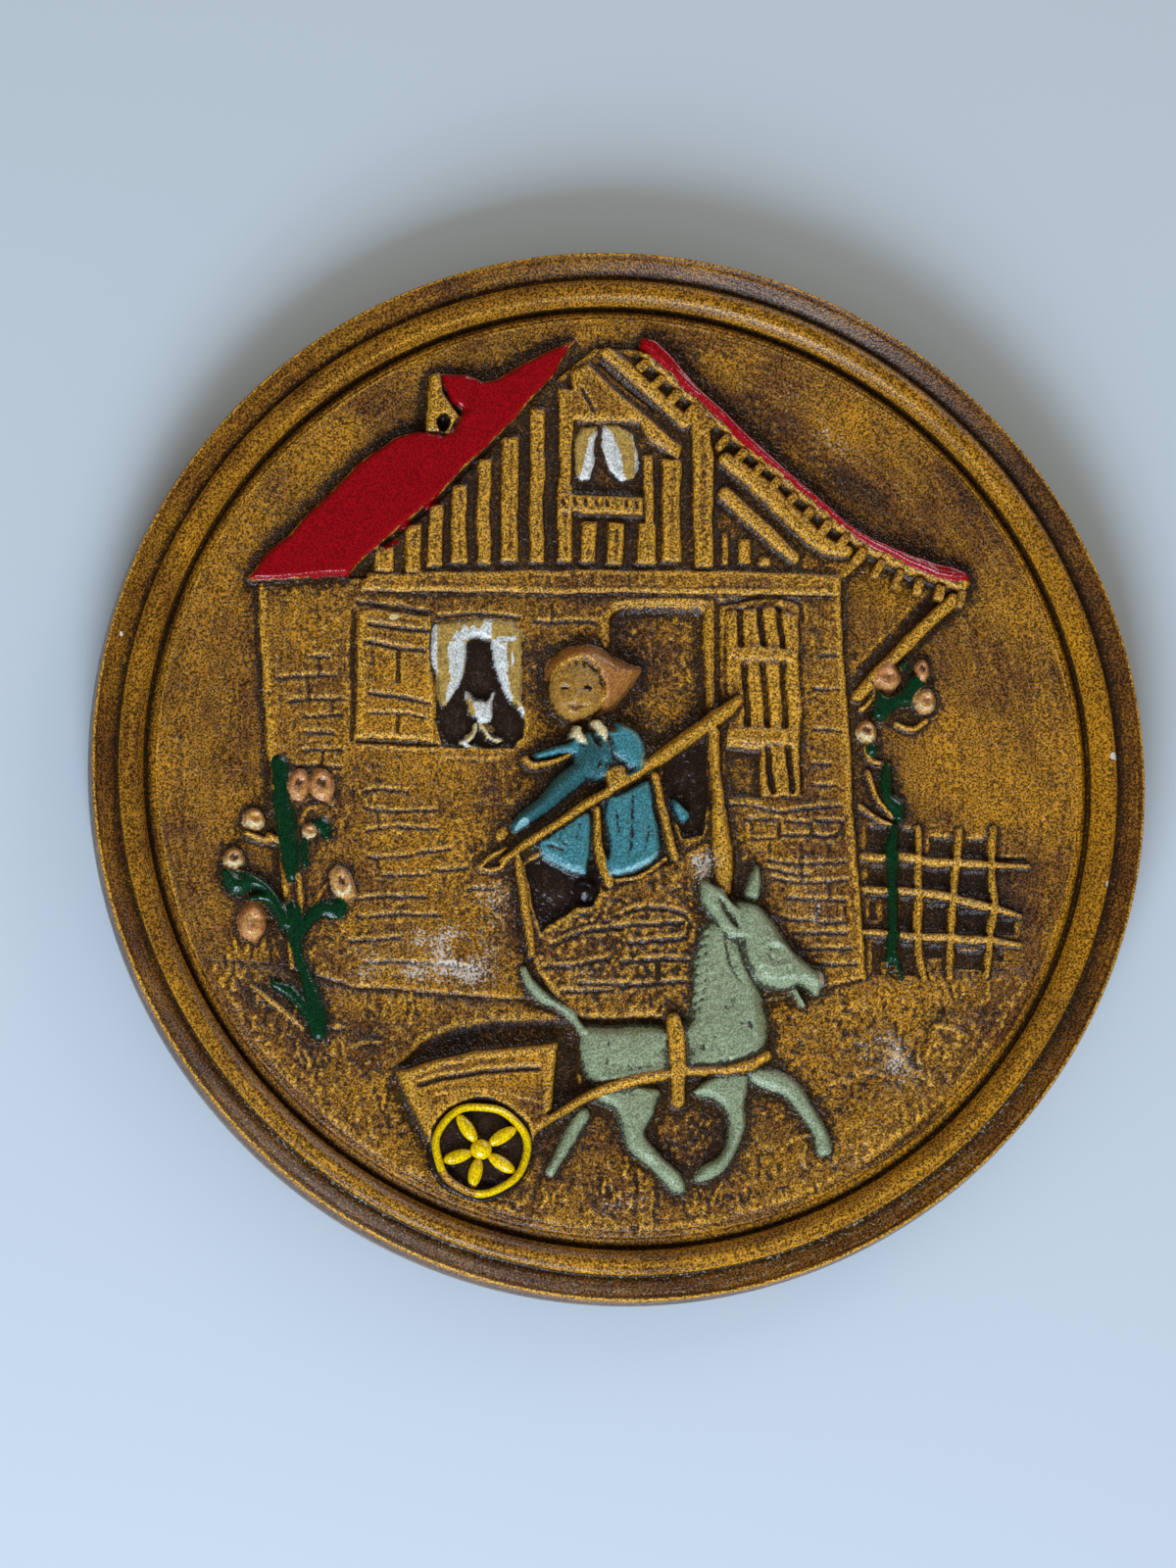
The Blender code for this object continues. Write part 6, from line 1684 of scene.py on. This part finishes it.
@dataclass
class CartWheel:
    """The cart's painted wheel: a ring and lens-shaped spokes round a knob, by Geometry Nodes. Millimetres."""

    centre: tuple[float, float] = WHEEL_CENTRE
    middle_height: float = 15.7
    ring_radius: float = 10.7
    ring_width: float = 1.9
    ring_deep: float = 3.6
    spoke_long: float = 7.6
    spoke_wide: float = 3.3
    spoke_deep: float = 2.9
    hub: float = 2.55
    squash: float = 0.95
    angles: tuple[int, ...] = (34, 123, 199, 257, 325)
    bare: tuple[float, float] = (212.0, 262.0)

    def build(self, material: bpy.types.Material) -> bpy.types.Object:
        """Makes the wheel.

        Args:
            material: its finish.

        Returns:
            The new object.
        """
        start = bpy.data.meshes.new("spoke_middles")
        turns = np.radians(self.angles)
        middle = (self.ring_radius + 1.2) / 2
        start.from_pydata([(middle * math.cos(a) * MM, middle * math.sin(a) * MM, 0.0) for a in turns], [], [])
        start.attributes.new("turn", "FLOAT", "POINT").data.foreach_set("value", turns)
        lengths = {
            "Ring Radius": self.ring_radius, "Ring Half Width": self.ring_width / 2,
            "Ring Half Depth": self.ring_deep / 2, "Spoke Half Length": self.spoke_long / 2,
            "Spoke Half Width": self.spoke_wide / 2, "Spoke Half Depth": self.spoke_deep / 2, "Hub Radius": self.hub,
            "Hub Half Depth": self.ring_deep / 2
        }
        made = self.shaper({name: value * MM for name, value in lengths.items()}, material).run(start)
        self.wear_and_painted_light(made.data)
        return made

    def shaper(self, sizes: dict[str, float], material: bpy.types.Material) -> Shaper:
        """Returns: the tree that makes ring, spokes and hub, and stands them on the cart."""
        tree = Shaper("cart_wheel", sizes)
        given = tree.given
        circle = tree.add("GeometryNodeCurvePrimitiveCircle", {"Radius": given["Ring Radius"]}, {"Resolution": 84})
        band = tree.add("GeometryNodeCurvePrimitiveCircle", None, {"Resolution": 14, "Radius": 1.0})
        size = tree.add("ShaderNodeCombineXYZ", {0: given["Ring Half Width"], 1: given["Ring Half Depth"]}, {2: 1.0})
        flat = tree.add("GeometryNodeTransform", {"Geometry": band.outputs[0], "Scale": size.outputs[0]})
        ring = tree.add("GeometryNodeCurveToMesh", {0: circle.outputs[0], 1: flat.outputs[0]})
        ball = tree.add("GeometryNodeMeshUVSphere", None, {"Segments": 20, "Rings": 12, "Radius": 1.0}).outputs[0]
        spoke = tree.scaled(ball, given["Spoke Half Length"], given["Spoke Half Width"], given["Spoke Half Depth"])
        turn = tree.add("GeometryNodeInputNamedAttribute", None, {"Name": "turn"}, data_type="FLOAT")
        angle = tree.add("ShaderNodeCombineXYZ", {2: turn.outputs[0]})
        spokes = tree.add("GeometryNodeInstanceOnPoints", {"Points": given["Start"], "Instance": spoke,
                                                           "Rotation": angle.outputs[0]})
        hub = tree.scaled(ball, given["Hub Radius"], given["Hub Radius"], given["Hub Half Depth"])
        joined = tree.add("GeometryNodeJoinGeometry")
        for part in (ring.outputs[0], spokes.outputs[0], hub):
            tree.tree.links.new(part, joined.inputs[0])
        x, z = self.centre
        round_ = tree.add("GeometryNodeTransform", {"Geometry": joined.outputs[0]}, {"Scale": (1.0, self.squash, 1.0)})
        stood = tree.add(
            "GeometryNodeTransform", {"Geometry": round_.outputs[0]},
            {"Rotation": (math.pi / 2, 0.0, 0.0), "Translation": (x * MM, -self.middle_height * MM, z * MM)}
        )
        tree.finish(stood.outputs[0], material)
        return tree

    def wear_and_painted_light(self, mesh: bpy.types.Mesh) -> None:
        """Makes the band a little uneven and writes its paint, which is missing along the bottom, with wash and painted
        shade deeper down.
        """
        places = places_of(mesh)
        x, z = places[:, 0] - self.centre[0], (places[:, 2] - self.centre[1]) / self.squash
        angle, radius = np.degrees(np.arctan2(z, x)) % 360, np.hypot(x, z)
        sway = 0.22 * np.sin(np.radians(angle * 3 + 40)) + 0.12 * np.sin(np.radians(angle * 7))
        lift = 0.25 * np.sin(np.radians(angle * 4 + 80)) + 0.15 * np.sin(np.radians(angle * 9 + 10))
        outer = radius > self.ring_radius - 2.0
        places[:, 0] += np.where(outer, x / radius * sway, 0.0)
        places[:, 2] += np.where(outer, z / radius * sway, 0.0)
        places[:, 1] += np.where(outer, lift * 0.5, 0.0)
        mesh.vertices.foreach_set("co", (places * MM).astype(np.float32).ravel())
        out = -places[:, 1] - self.middle_height
        first, last = self.bare
        gap = np.minimum(angle - first, last - angle) * math.radians(1) * self.ring_radius
        painted = np.where(outer, np.minimum(out + 0.2, -gap * 0.6), out + 0.2).clip(BARE, -BARE)
        write_wear_and_painted_light(
            mesh, Enamel.YELLOW, painted=painted, wash=(0.45 - out * 0.5).clip(0, 1), rub=(out * 0.5).clip(0, 0.6)
        )


@dataclass
class RafterEnds:
    """The ends of the rafters under the right slope, by Geometry Nodes along the eave. Millimetres."""

    path: tuple = ((5.4, 98), (11, 91.6), (17, 86.6), (21.6, 82.4), (25.8, 78.8), (32, 73.4), (38, 68.6), (44.6, 63),
                   (51, 58.2), (56.4, 53.8), (61.8, 50.2), (68, 47.4), (75.6, 45.2), (81, 43.8))
    apart: float = 5.1
    wide: float = 2.3
    long: float = 4.6
    deep: float = 4.4
    middle_height: float = 13.1
    seed: int = 3

    def build(self, material: bpy.types.Material) -> bpy.types.Object:
        """Makes the rafter ends.

        Args:
            material: their finish.

        Returns:
            The new object.
        """
        line = curve(self.path, False, 1.0)
        start = bpy.data.meshes.new("eave_line")
        places = [(x * MM, -self.middle_height * MM, z * MM) for x, z in line]
        start.from_pydata(places, [(k, k + 1) for k in range(len(line) - 1)], [])
        lengths = {"Apart": self.apart, "Width": self.wide, "Length": self.long, "Depth": self.deep}
        made = self.shaper({name: value * MM for name, value in lengths.items()}, material).run(start)
        out = -places_of(made.data)[:, 1] - self.middle_height
        # Wash with painted shade deeper down, and rub on the outer faces
        write_wear_and_painted_light(made.data, wash=(0.5 - out * 0.5).clip(0, 1), rub=((out - 1.2) * 0.6).clip(0, 0.7), tone=0.05)
        return made

    def shaper(self, sizes: dict[str, float], material: bpy.types.Material) -> Shaper:
        """Returns: the tree that sets rounded blocks along the start line."""
        tree = Shaper("rafter_ends", sizes)
        given = tree.given
        line = tree.add("GeometryNodeMeshToCurve", {0: given["Start"]})
        spots = tree.add("GeometryNodeCurveToPoints", {0: line.outputs[0], "Length": given["Apart"]}, mode="LENGTH")
        turned = tree.add("FunctionNodeAlignRotationToVector", {"Vector": spots.outputs["Tangent"]}, {"Factor": 1.0},
                          axis="X", pivot_axis="Y")
        ball = tree.add(
            "GeometryNodeMeshCube", None, {"Size": (1.0, 1.0, 1.0), "Vertices X": 4, "Vertices Y": 4, "Vertices Z": 4}
        )
        soft = tree.add("GeometryNodeSubdivisionSurface", {0: ball.outputs[0]}, {"Level": 1})
        block = tree.scaled(soft.outputs[0], given["Width"], given["Depth"], given["Length"])
        uneven = tree.add(
            "FunctionNodeRandomValue", None, {0: (0.86, 0.9, 0.8), 1: (1.12, 1.06, 1.12), "Seed": self.seed},
            data_type="FLOAT_VECTOR"
        )
        blocks = tree.add("GeometryNodeInstanceOnPoints", {"Points": spots.outputs[0], "Instance": block,
                                                           "Rotation": turned.outputs[0], "Scale": uneven.outputs[0]})
        tree.finish(blocks.outputs[0], material)
        return tree


@dataclass
class Body:
    """The rim, side and back, turned about the plaque's axis by Geometry Nodes, with the nail recess cut in.

    The tables of wash, wear, tone, painted shade, painted highlights and painted sheen give shares of the rim's width,
    or degrees round it from the right, against amounts.
    """

    rim: Rim

    CRESTS = ((0.955, 0.02, 1.0), (0.54, 0.02, 0.5))
    # Where the painted highlight lines lie on the bead's flanks, and how wide they are
    BEAD_FLANKS, FLANK_WIDE = (0.415, 0.275), 0.03
    LIP_EDGE = (0.9, 0.012)
    # The wash in the cove and in the groove, which also paints shade in them
    COVE_WASH_AND_SHADE = ((0.55, 0.56, 0.62, 0.76, 0.88, 0.92), (0.0, 0.5, 0.42, 0.3, 0.16, 0.0))
    GROOVE_WASH_AND_SHADE = ((0.0, 0.02, 0.1, 0.11, 0.145, 0.155), (0.0, 0.4, 0.5, 1.0, 1.0, 0.0))
    # How dark the cove is round the rim: painted shade, darkest on the side away from the light
    SHADE_ROUND = ((0, 45, 80, 120, 160, 200, 280, 330), (1.1, 1.3, 0.9, 0.7, 0.55, 0.5, 0.6, 0.9))
    BEAD_TONE = ((0, 60, 110, 180, 230, 280, 330), (0.18, 0.06, 0.02, 0.0, -0.02, 0.04, 0.14))
    # The outer band's tone round the rim, with painted shade on the side away from the light
    BAND_TONE_AND_SHADE = ((0, 45, 100, 180, 230, 280, 330), (-0.2, -0.25, -0.05, -0.1, -0.16, -0.1, -0.12))
    # The stretches round the bottom and round the top of the rim where painted highlight lines and painted sheen lie
    BELOW = ((190, 230, 310, 350), (0, 1, 1, 0))
    ABOVE = ((15, 40, 130, 150), (0, 1, 1, 0))
    HALF_KERNEL, FINE_MM = 60, 0.1

    def recess(self) -> bpy.types.Object:
        """Returns: the solid that is cut from the back, a slot with round ends."""
        rim, shape = self.rim, bmesh.new()
        half, straight = rim.nail_width / 2, (rim.nail_tall - rim.nail_width) / 2
        ring = []
        for side in (1, -1):
            for k in range(13):
                angle = math.pi * k / 12 + (0.0 if side > 0 else math.pi)
                ring.append((half * math.cos(angle), rim.nail_middle + side * straight + half * math.sin(angle)))
        layers = [[shape.verts.new((x * MM, y * MM, z * MM)) for x, z in ring] for y in (2.0, -rim.nail_deep)]
        for k in range(len(ring)):
            nxt = (k + 1) % len(ring)
            shape.faces.new((layers[0][k], layers[0][nxt], layers[1][nxt], layers[1][k]))
        for layer in layers:
            shape.faces.new(layer)
        bmesh.ops.recalc_face_normals(shape, faces=shape.faces[:])
        mesh = bpy.data.meshes.new("nail_recess")
        shape.to_mesh(mesh)
        shape.free()
        return new_object("nail_recess", mesh)

    def build(self, material: bpy.types.Material) -> bpy.types.Object:
        """Makes the turned body.

        Args:
            material: its finish.

        Returns:
            The new object.
        """
        rim, start = self.rim, bpy.data.meshes.new("half_section")
        points = [((r - rim.field_radius) * MM, h * MM, 0.0) for r, h in rim.section()]
        start.from_pydata(points, [(k, k + 1) for k in range(len(points) - 1)], [])
        recess = self.recess()
        made = self.shaper(
            {"Segments": rim.segments, "Path Radius": rim.field_radius * MM}, material, recess
        ).run(start)
        bpy.data.objects.remove(recess)
        self.wear_and_painted_light(made.data)
        return made

    def shaper(self, sizes: dict[str, float], material: bpy.types.Material, recess: bpy.types.Object) -> Shaper:
        """Returns: the tree that sweeps the half section round the axis, stands it up and cuts the recess."""
        tree = Shaper("turned_rim_and_back", sizes)
        given = tree.given
        section = tree.add("GeometryNodeMeshToCurve", {0: given["Start"]})
        path = tree.add(
            "GeometryNodeCurvePrimitiveCircle", {"Resolution": given["Segments"], "Radius": given["Path Radius"]}
        )
        swept = tree.add("GeometryNodeCurveToMesh", {0: path.outputs[0], 1: section.outputs[0]})
        stood = tree.add("GeometryNodeTransform", {0: swept.outputs[0]}, {"Rotation": (-math.pi / 2, 0.0, 0.0)})
        merged = tree.add("GeometryNodeMergeByDistance", {0: stood.outputs[0]}, {"Distance": 0.00001})
        tool = tree.add("GeometryNodeObjectInfo", None, {"Object": recess})
        cut = tree.add("GeometryNodeMeshBoolean", {0: merged.outputs[0], 1: tool.outputs["Geometry"]},
                       operation="DIFFERENCE", solver="EXACT")
        tree.finish(cut.outputs[0], material)
        return tree

    def wear_and_painted_light(self, mesh: bpy.types.Mesh) -> None:
        """Writes the wash with painted shade in the grooves and the cove, the rub on the crests with painted highlight
        lines on the bead, the stain's tone with painted shade on the side away from the light, and pale bloom with
        painted sheen.
        """
        places, rim = places_of(mesh), self.rim
        radius, angle = np.hypot(places[:, 0], places[:, 2]), np.arctan2(places[:, 2], places[:, 0])
        front = curve(tuple(rim.turned()), False, 0.3)
        fine = np.arange(rim.field_radius, rim.radius, self.FINE_MM)
        heights = np.interp(fine, front[:, 0], front[:, 1])

        def soft(size: float) -> np.ndarray:
            """Returns: the rim's heights softened over some millimetres."""
            reach = self.HALF_KERNEL
            kernel = np.exp(-0.5 * (np.arange(-reach, reach + 1) * self.FINE_MM / size) ** 2)
            return np.convolve(np.pad(heights, reach, mode="edge"), kernel / kernel.sum(), "valid")

        cavity = (soft(0.6) - heights) * 0.9 + (soft(1.5) - heights) * 0.35
        on_front = -places[:, 1] > rim.side_widest - 1.5
        share = (radius - rim.field_radius) / (rim.radius - rim.field_radius)
        turn = np.degrees(angle) % 360
        # The cove's wash, made darker on the side away from the light as painted shade
        band = np.interp(share, *self.COVE_WASH_AND_SHADE) * np.interp(turn, *self.SHADE_ROUND, period=360)
        floor, edge = np.interp(share, *self.GROOVE_WASH_AND_SHADE), 0.45 * hump(share, *self.LIP_EDGE)
        wash = np.interp(radius, fine, (cavity / 0.9).clip(0, 0.6)) + band + floor + edge + 0.1
        # Rubbed crests, and painted highlight lines on the bead: on its outer side round the bottom of the rim and on
        # its inner side round the top
        crest = sum(amount * hump(share, middle, wide) for middle, wide, amount in self.CRESTS)
        low, high = (hump(share, middle, self.FLANK_WIDE) for middle in self.BEAD_FLANKS)
        below, above = np.interp(turn, *self.BELOW), np.interp(turn, *self.ABOVE)
        outer = ((share - 0.55) / 0.02).clip(0, 1)
        bead_tone = np.interp(turn, *self.BEAD_TONE, period=360)
        # The outer band is darker on the side away from the light, as painted shade
        band_tone_and_shade = np.interp(turn, *self.BAND_TONE_AND_SHADE, period=360)
        # Pale bloom with painted sheen low round the rim, and a little on the bead's inner side at the top
        bloom = 0.34 * below * outer * (share < 0.9) + 0.16 * below * (1 - outer) + 0.1 * above * high
        write_wear_and_painted_light(
            mesh,
            wash=np.where(on_front, wash.clip(0, 1), 0.3),
            rub=np.where(on_front, (crest + 0.6 * (low * below + high * above)).clip(0, 1), 0.1),
            tone=np.where(on_front, bead_tone * (1 - outer) + band_tone_and_shade * outer + 0.04 * np.sin(5 * angle + 1), -0.12),
            haze=np.where(on_front, bloom, 0.0),
        )


@dataclass
class Studio:
    """The pale wall, the soft lights and the camera at the photograph's angle."""

    azimuth: float = -8.2
    elevation: float = -9.8
    distance: float = 2.5
    frame_wide: float = 0.2757
    centre_px: tuple[float, float] = (632.9, 790.6)
    image_px: tuple[int, int] = (1200, 1600)
    wall_colour: str = "#c6d2da"
    sensor_mm: float = 36.0
    middle_out: float = 0.0125

    def build(self) -> None:
        """Adds the wall, the lights and the camera."""
        self.wall()
        self.light("window", (-0.28, -0.8, -1.26), 0.75, 31.5, "#d3e4fb")
        self.light("room", (0.9, -0.9, 0.9), 0.6, 2.0, "#fff1e2").visible_glossy = False
        self.light("sheen", (0.8, -0.5, 1.2), 0.9, 13.0, "#eef2f6").visible_diffuse = False
        world = bpy.data.worlds.new("room")
        world.use_nodes = True
        world.node_tree.nodes["Background"].inputs[0].default_value = linear("#ebe4da")
        world.node_tree.nodes["Background"].inputs[1].default_value = 0.5
        world.cycles_visibility.glossy = False
        bpy.context.scene.world = world
        self.camera()

    def wall(self) -> None:
        """Adds a painted wall behind the plaque, which is clear when it is seen from behind."""
        mesh = bpy.data.meshes.new("wall")
        reach, back = 1.6, 0.0006
        mesh.from_pydata([(-reach, back, -reach), (reach, back, -reach), (reach, back, reach), (-reach, back, reach)],
                         [], [(0, 1, 2, 3)])
        wall = new_object("wall", mesh)
        made = Finish("wall_paint")
        made.shader.inputs["Base Color"].default_value = linear(self.wall_colour)
        made.shader.inputs["Roughness"].default_value = 0.85
        clear, side = made.add("ShaderNodeBsdfTransparent"), made.add("ShaderNodeNewGeometry")
        mix = made.add(
            "ShaderNodeMixShader", {0: side.outputs["Backfacing"], 1: made.shader.outputs[0], 2: clear.outputs[0]}
        )
        made.tree.links.new(mix.outputs[0], made.output.inputs["Surface"])
        mesh.materials.append(made.material)

    def light(self, name: str, place: tuple, size: float, power: float, colour: str) -> bpy.types.Object:
        """Returns: a new square area light aimed at the plaque's middle."""
        lamp = bpy.data.lights.new(name, "AREA")
        lamp.size, lamp.energy, lamp.color = size, power, linear(colour)[:3]
        made = new_object(name, lamp)
        made.location = place
        made.rotation_euler = (-Vector(place)).to_track_quat("-Z", "Y").to_euler()
        return made

    def camera(self) -> None:
        """Adds the camera so that the plaque's middle falls where the photograph has it."""
        az, el = math.radians(self.azimuth), math.radians(self.elevation)
        back = Vector((math.sin(az) * math.cos(el), -math.cos(az) * math.cos(el), math.sin(el)))
        right = Vector((math.cos(az), math.sin(az), 0.0))
        up = right.cross(-back)
        scale = self.frame_wide / self.image_px[0]
        aside = (self.centre_px[0] - self.image_px[0] / 2) * scale
        above = (self.image_px[1] / 2 - self.centre_px[1]) * scale
        target = Vector((0.0, -self.middle_out, 0.0)) - right * aside - up * above
        data = bpy.data.cameras.new("camera")
        data.sensor_fit, data.sensor_width = "HORIZONTAL", self.sensor_mm
        data.lens = self.sensor_mm * self.distance / self.frame_wide
        made = new_object("camera", data)
        made.location = target + back * self.distance
        made.rotation_euler = (-back).to_track_quat("-Z", "Y").to_euler()
        bpy.context.scene.camera = made


@dataclass
class StainShadeAndSheen:
    """Broad patches of the stain's tone, painted shade, pale bloom and painted sheen: places, radii, turn, golden,
    bloom.
    """

    # The darker patches in the stair's openings, the window, the cart's inside and the wheel's round, beside the
    # figure's head and arm, between the cart and the donkey, between the donkey's legs, under the right eave and just
    # above the right roof are painted shade. The pale patch further above the right roof is a painted reflection, and
    # the pale patches on the low wall, the stair and the meadow are pale bloom with painted sheen. The other patches
    # make broad areas of the stain darker, and some more golden.
    patches: tuple = (
        (-98, 6, 9, 34, 6, 0.14, 0.0), (-92, -30, 12, 12, 20, -0.12, 0.1), (-80, -62, 20, 14, -40, -0.14, 0.0),
        (-52, 86, 32, 10, 36, 0.12, 0.0), (52, 74, 36, 5, -40, -0.4, 0.0), (46, 87, 27, 4, -40, 0.0, 0.55),
        (66, 80, 26, 9, -45, 0.14, 0.0), (94, 14, 12, 36, 0, -0.06, 0.0), (100, -24, 8, 20, 8, 0.04, 0.0),
        (-42, -44, 22, 12, 0, 0.04, 0.95), (-58, -46, 12, 8, 0, 0.0, 0.65), (-30, -29, 9, 12, 20, 0.0, 0.7),
        (-29, -4, 9, 13, -40, -0.4, 0.12), (-25, 12, 6, 9, 0, -0.35, 0.0), (-19, 28, 6, 9, 20, -0.25, 0.0),
        (9, 24, 12, 18, 0, -0.32, 0.0), (46, -28, 11, 22, 0, -0.36, 0.4), (42, 0, 10, 16, 0, -0.3, 0.1),
        (12, -42, 15, 14, 0, -0.1, 0.5), (-6, -48, 12, 8, 0, -0.12, 0.3), (20, -22, 6, 10, 0, 0.05, 0.85),
        (64, -65, 14, 7, -30, 0.0, 0.8), (46, -92, 12, 5, 20, -0.05, 0.5), (2, -101, 20, 4, 2, 0.0, 0.5),
        (-60, -68, 12, 8, 10, -0.2, 0.0), (86, -56, 16, 12, 30, -0.26, 0.0), (-4, 47, 30, 2.5, 1, -0.1, 0.0),
        (78, -30, 20, 18, 0, -0.24, 0.0), (-20, -84, 10, 10, 0, -0.3, 0.0), (-78, -34, 8, 16, 10, -0.3, 0.0),
        (-12, -27, 8, 8, 0, -0.6, 0.0), (16, -3, 6, 12, 12, -0.7, 0.0), (-33, 15, 7, 10, 0, -0.5, 0.0),
        (-31, -60.4, 22, 3.4, 5, -0.6, 0.0), (-11.5, -68, 3, 9, 0, -0.6, 0.0), (-33, -90, 11, 11, 0, -0.5, 0.0),
        (-34, -75, 20, 7, 8, 0.4, 0.0), (70, 36, 8, 12, -40, -0.2, 0.0), (56, -60, 30, 12, -10, -0.06, 0.0),
        (20, -82, 9, 8, 0, -0.3, 0.0), (36, -82, 6, 7, 0, -0.25, 0.0), (62, -4, 7, 22, 0, -0.15, 0.0)
    )
    arcs: int = 70
    seed: int = 9
    bloom_and_sheen_share: float = 0.85
    softness: float = 0.95

    def apply(self, canvas: Canvas) -> None:
        """Brushes the patches onto the canvas, and draws the broad brush's hairs through the stain of the field."""
        rng = np.random.default_rng(self.seed)
        for _ in range(self.arcs):
            side, radius, length = rng.choice((math.pi, 0.0)), rng.uniform(88, 108), rng.uniform(0.06, 0.3)
            turn = side + rng.uniform(-0.45, 0.75) * (1 if side == 0.0 else -1)
            path = tuple(
                (radius * math.cos(turn + k * length / 3), radius * math.sin(turn + k * length / 3)) for k in range(4)
            )
            canvas.groove(path, (0.5, 0.8, 0.8, 0.4), rng.uniform(0.04, 0.14))
        for x, z, wide, tall, turn, golden, haze in self.patches:
            canvas.stain(Oval((x, z), (wide, tall), turn), golden, haze * self.bloom_and_sheen_share, self.softness)


@dataclass
class Plaque:
    """The whole plaque."""

    rim: Rim

    def carved(self) -> Canvas:
        """Returns: the canvas with everything carved on it, back to front."""
        canvas = Canvas(self.rim)
        stair, figure = Stair(), Figure()
        for maker in (Meadow(), House(), Roof(), Lattice(), Hollyhocks(), stair, figure):
            maker.carve(canvas)
        stair.handrail(canvas)
        figure.upper(canvas)
        for maker in (Cart(), Donkey()):
            maker.carve(canvas)
        StainShadeAndSheen().apply(canvas)
        canvas.finish()
        return canvas

    def build(self) -> list[bpy.types.Object]:
        """Returns: the finished pieces."""
        relief = PlasterFinish(StainedPlaster("stained_relief")).material
        ground = PlasterFinish(StainedPlaster("stained_field", streak_turned=True)).material
        chips = ((40.9, -11.0, 118.6, 1.3), (108.4, -12.0, -60.9, 1.7), (115.8, -15.0, -23.4, 1.0),
                 (117.3, -14.0, 6.9, 1.0), (-118.0, -14.5, 30.0, 0.6))
        turned = StainedPlaster("stained_rim", streak_turned=True, streak_mm=(0.4, 9.0), tooth=0.2, specular=0.27,
                                chips=chips)
        rim = PlasterFinish(turned).material
        pieces = [Body(self.rim).build(rim), CartWheel().build(relief), RafterEnds().build(relief)]
        canvas = self.carved()
        cells = canvas.cells()
        for part in Part:
            made = canvas.piece(part, cells) if part is not Part.NONE else None
            if made:
                made.data.materials.append(ground if part in Part.grounds() else relief)
                pieces.append(made)
        return pieces


def main() -> None:
    """Builds the plaque, hands its pieces over to the frame and sets the stage."""
    logging.basicConfig(level=logging.INFO, format="%(name)s: %(message)s")
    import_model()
    low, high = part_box("plaque")
    radius = (high.x - low.x) / 2 / MM
    for piece in Plaque(Rim(radius, radius * FIELD_SHARE)).build():
        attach(piece, "root")
        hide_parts("plaque")
        LOG.info("%s: %d faces", piece.name, len(piece.data.polygons))
    Studio().build()
    bpy.context.scene.view_settings.view_transform = "Standard"


if __name__ == "__main__":
    main()
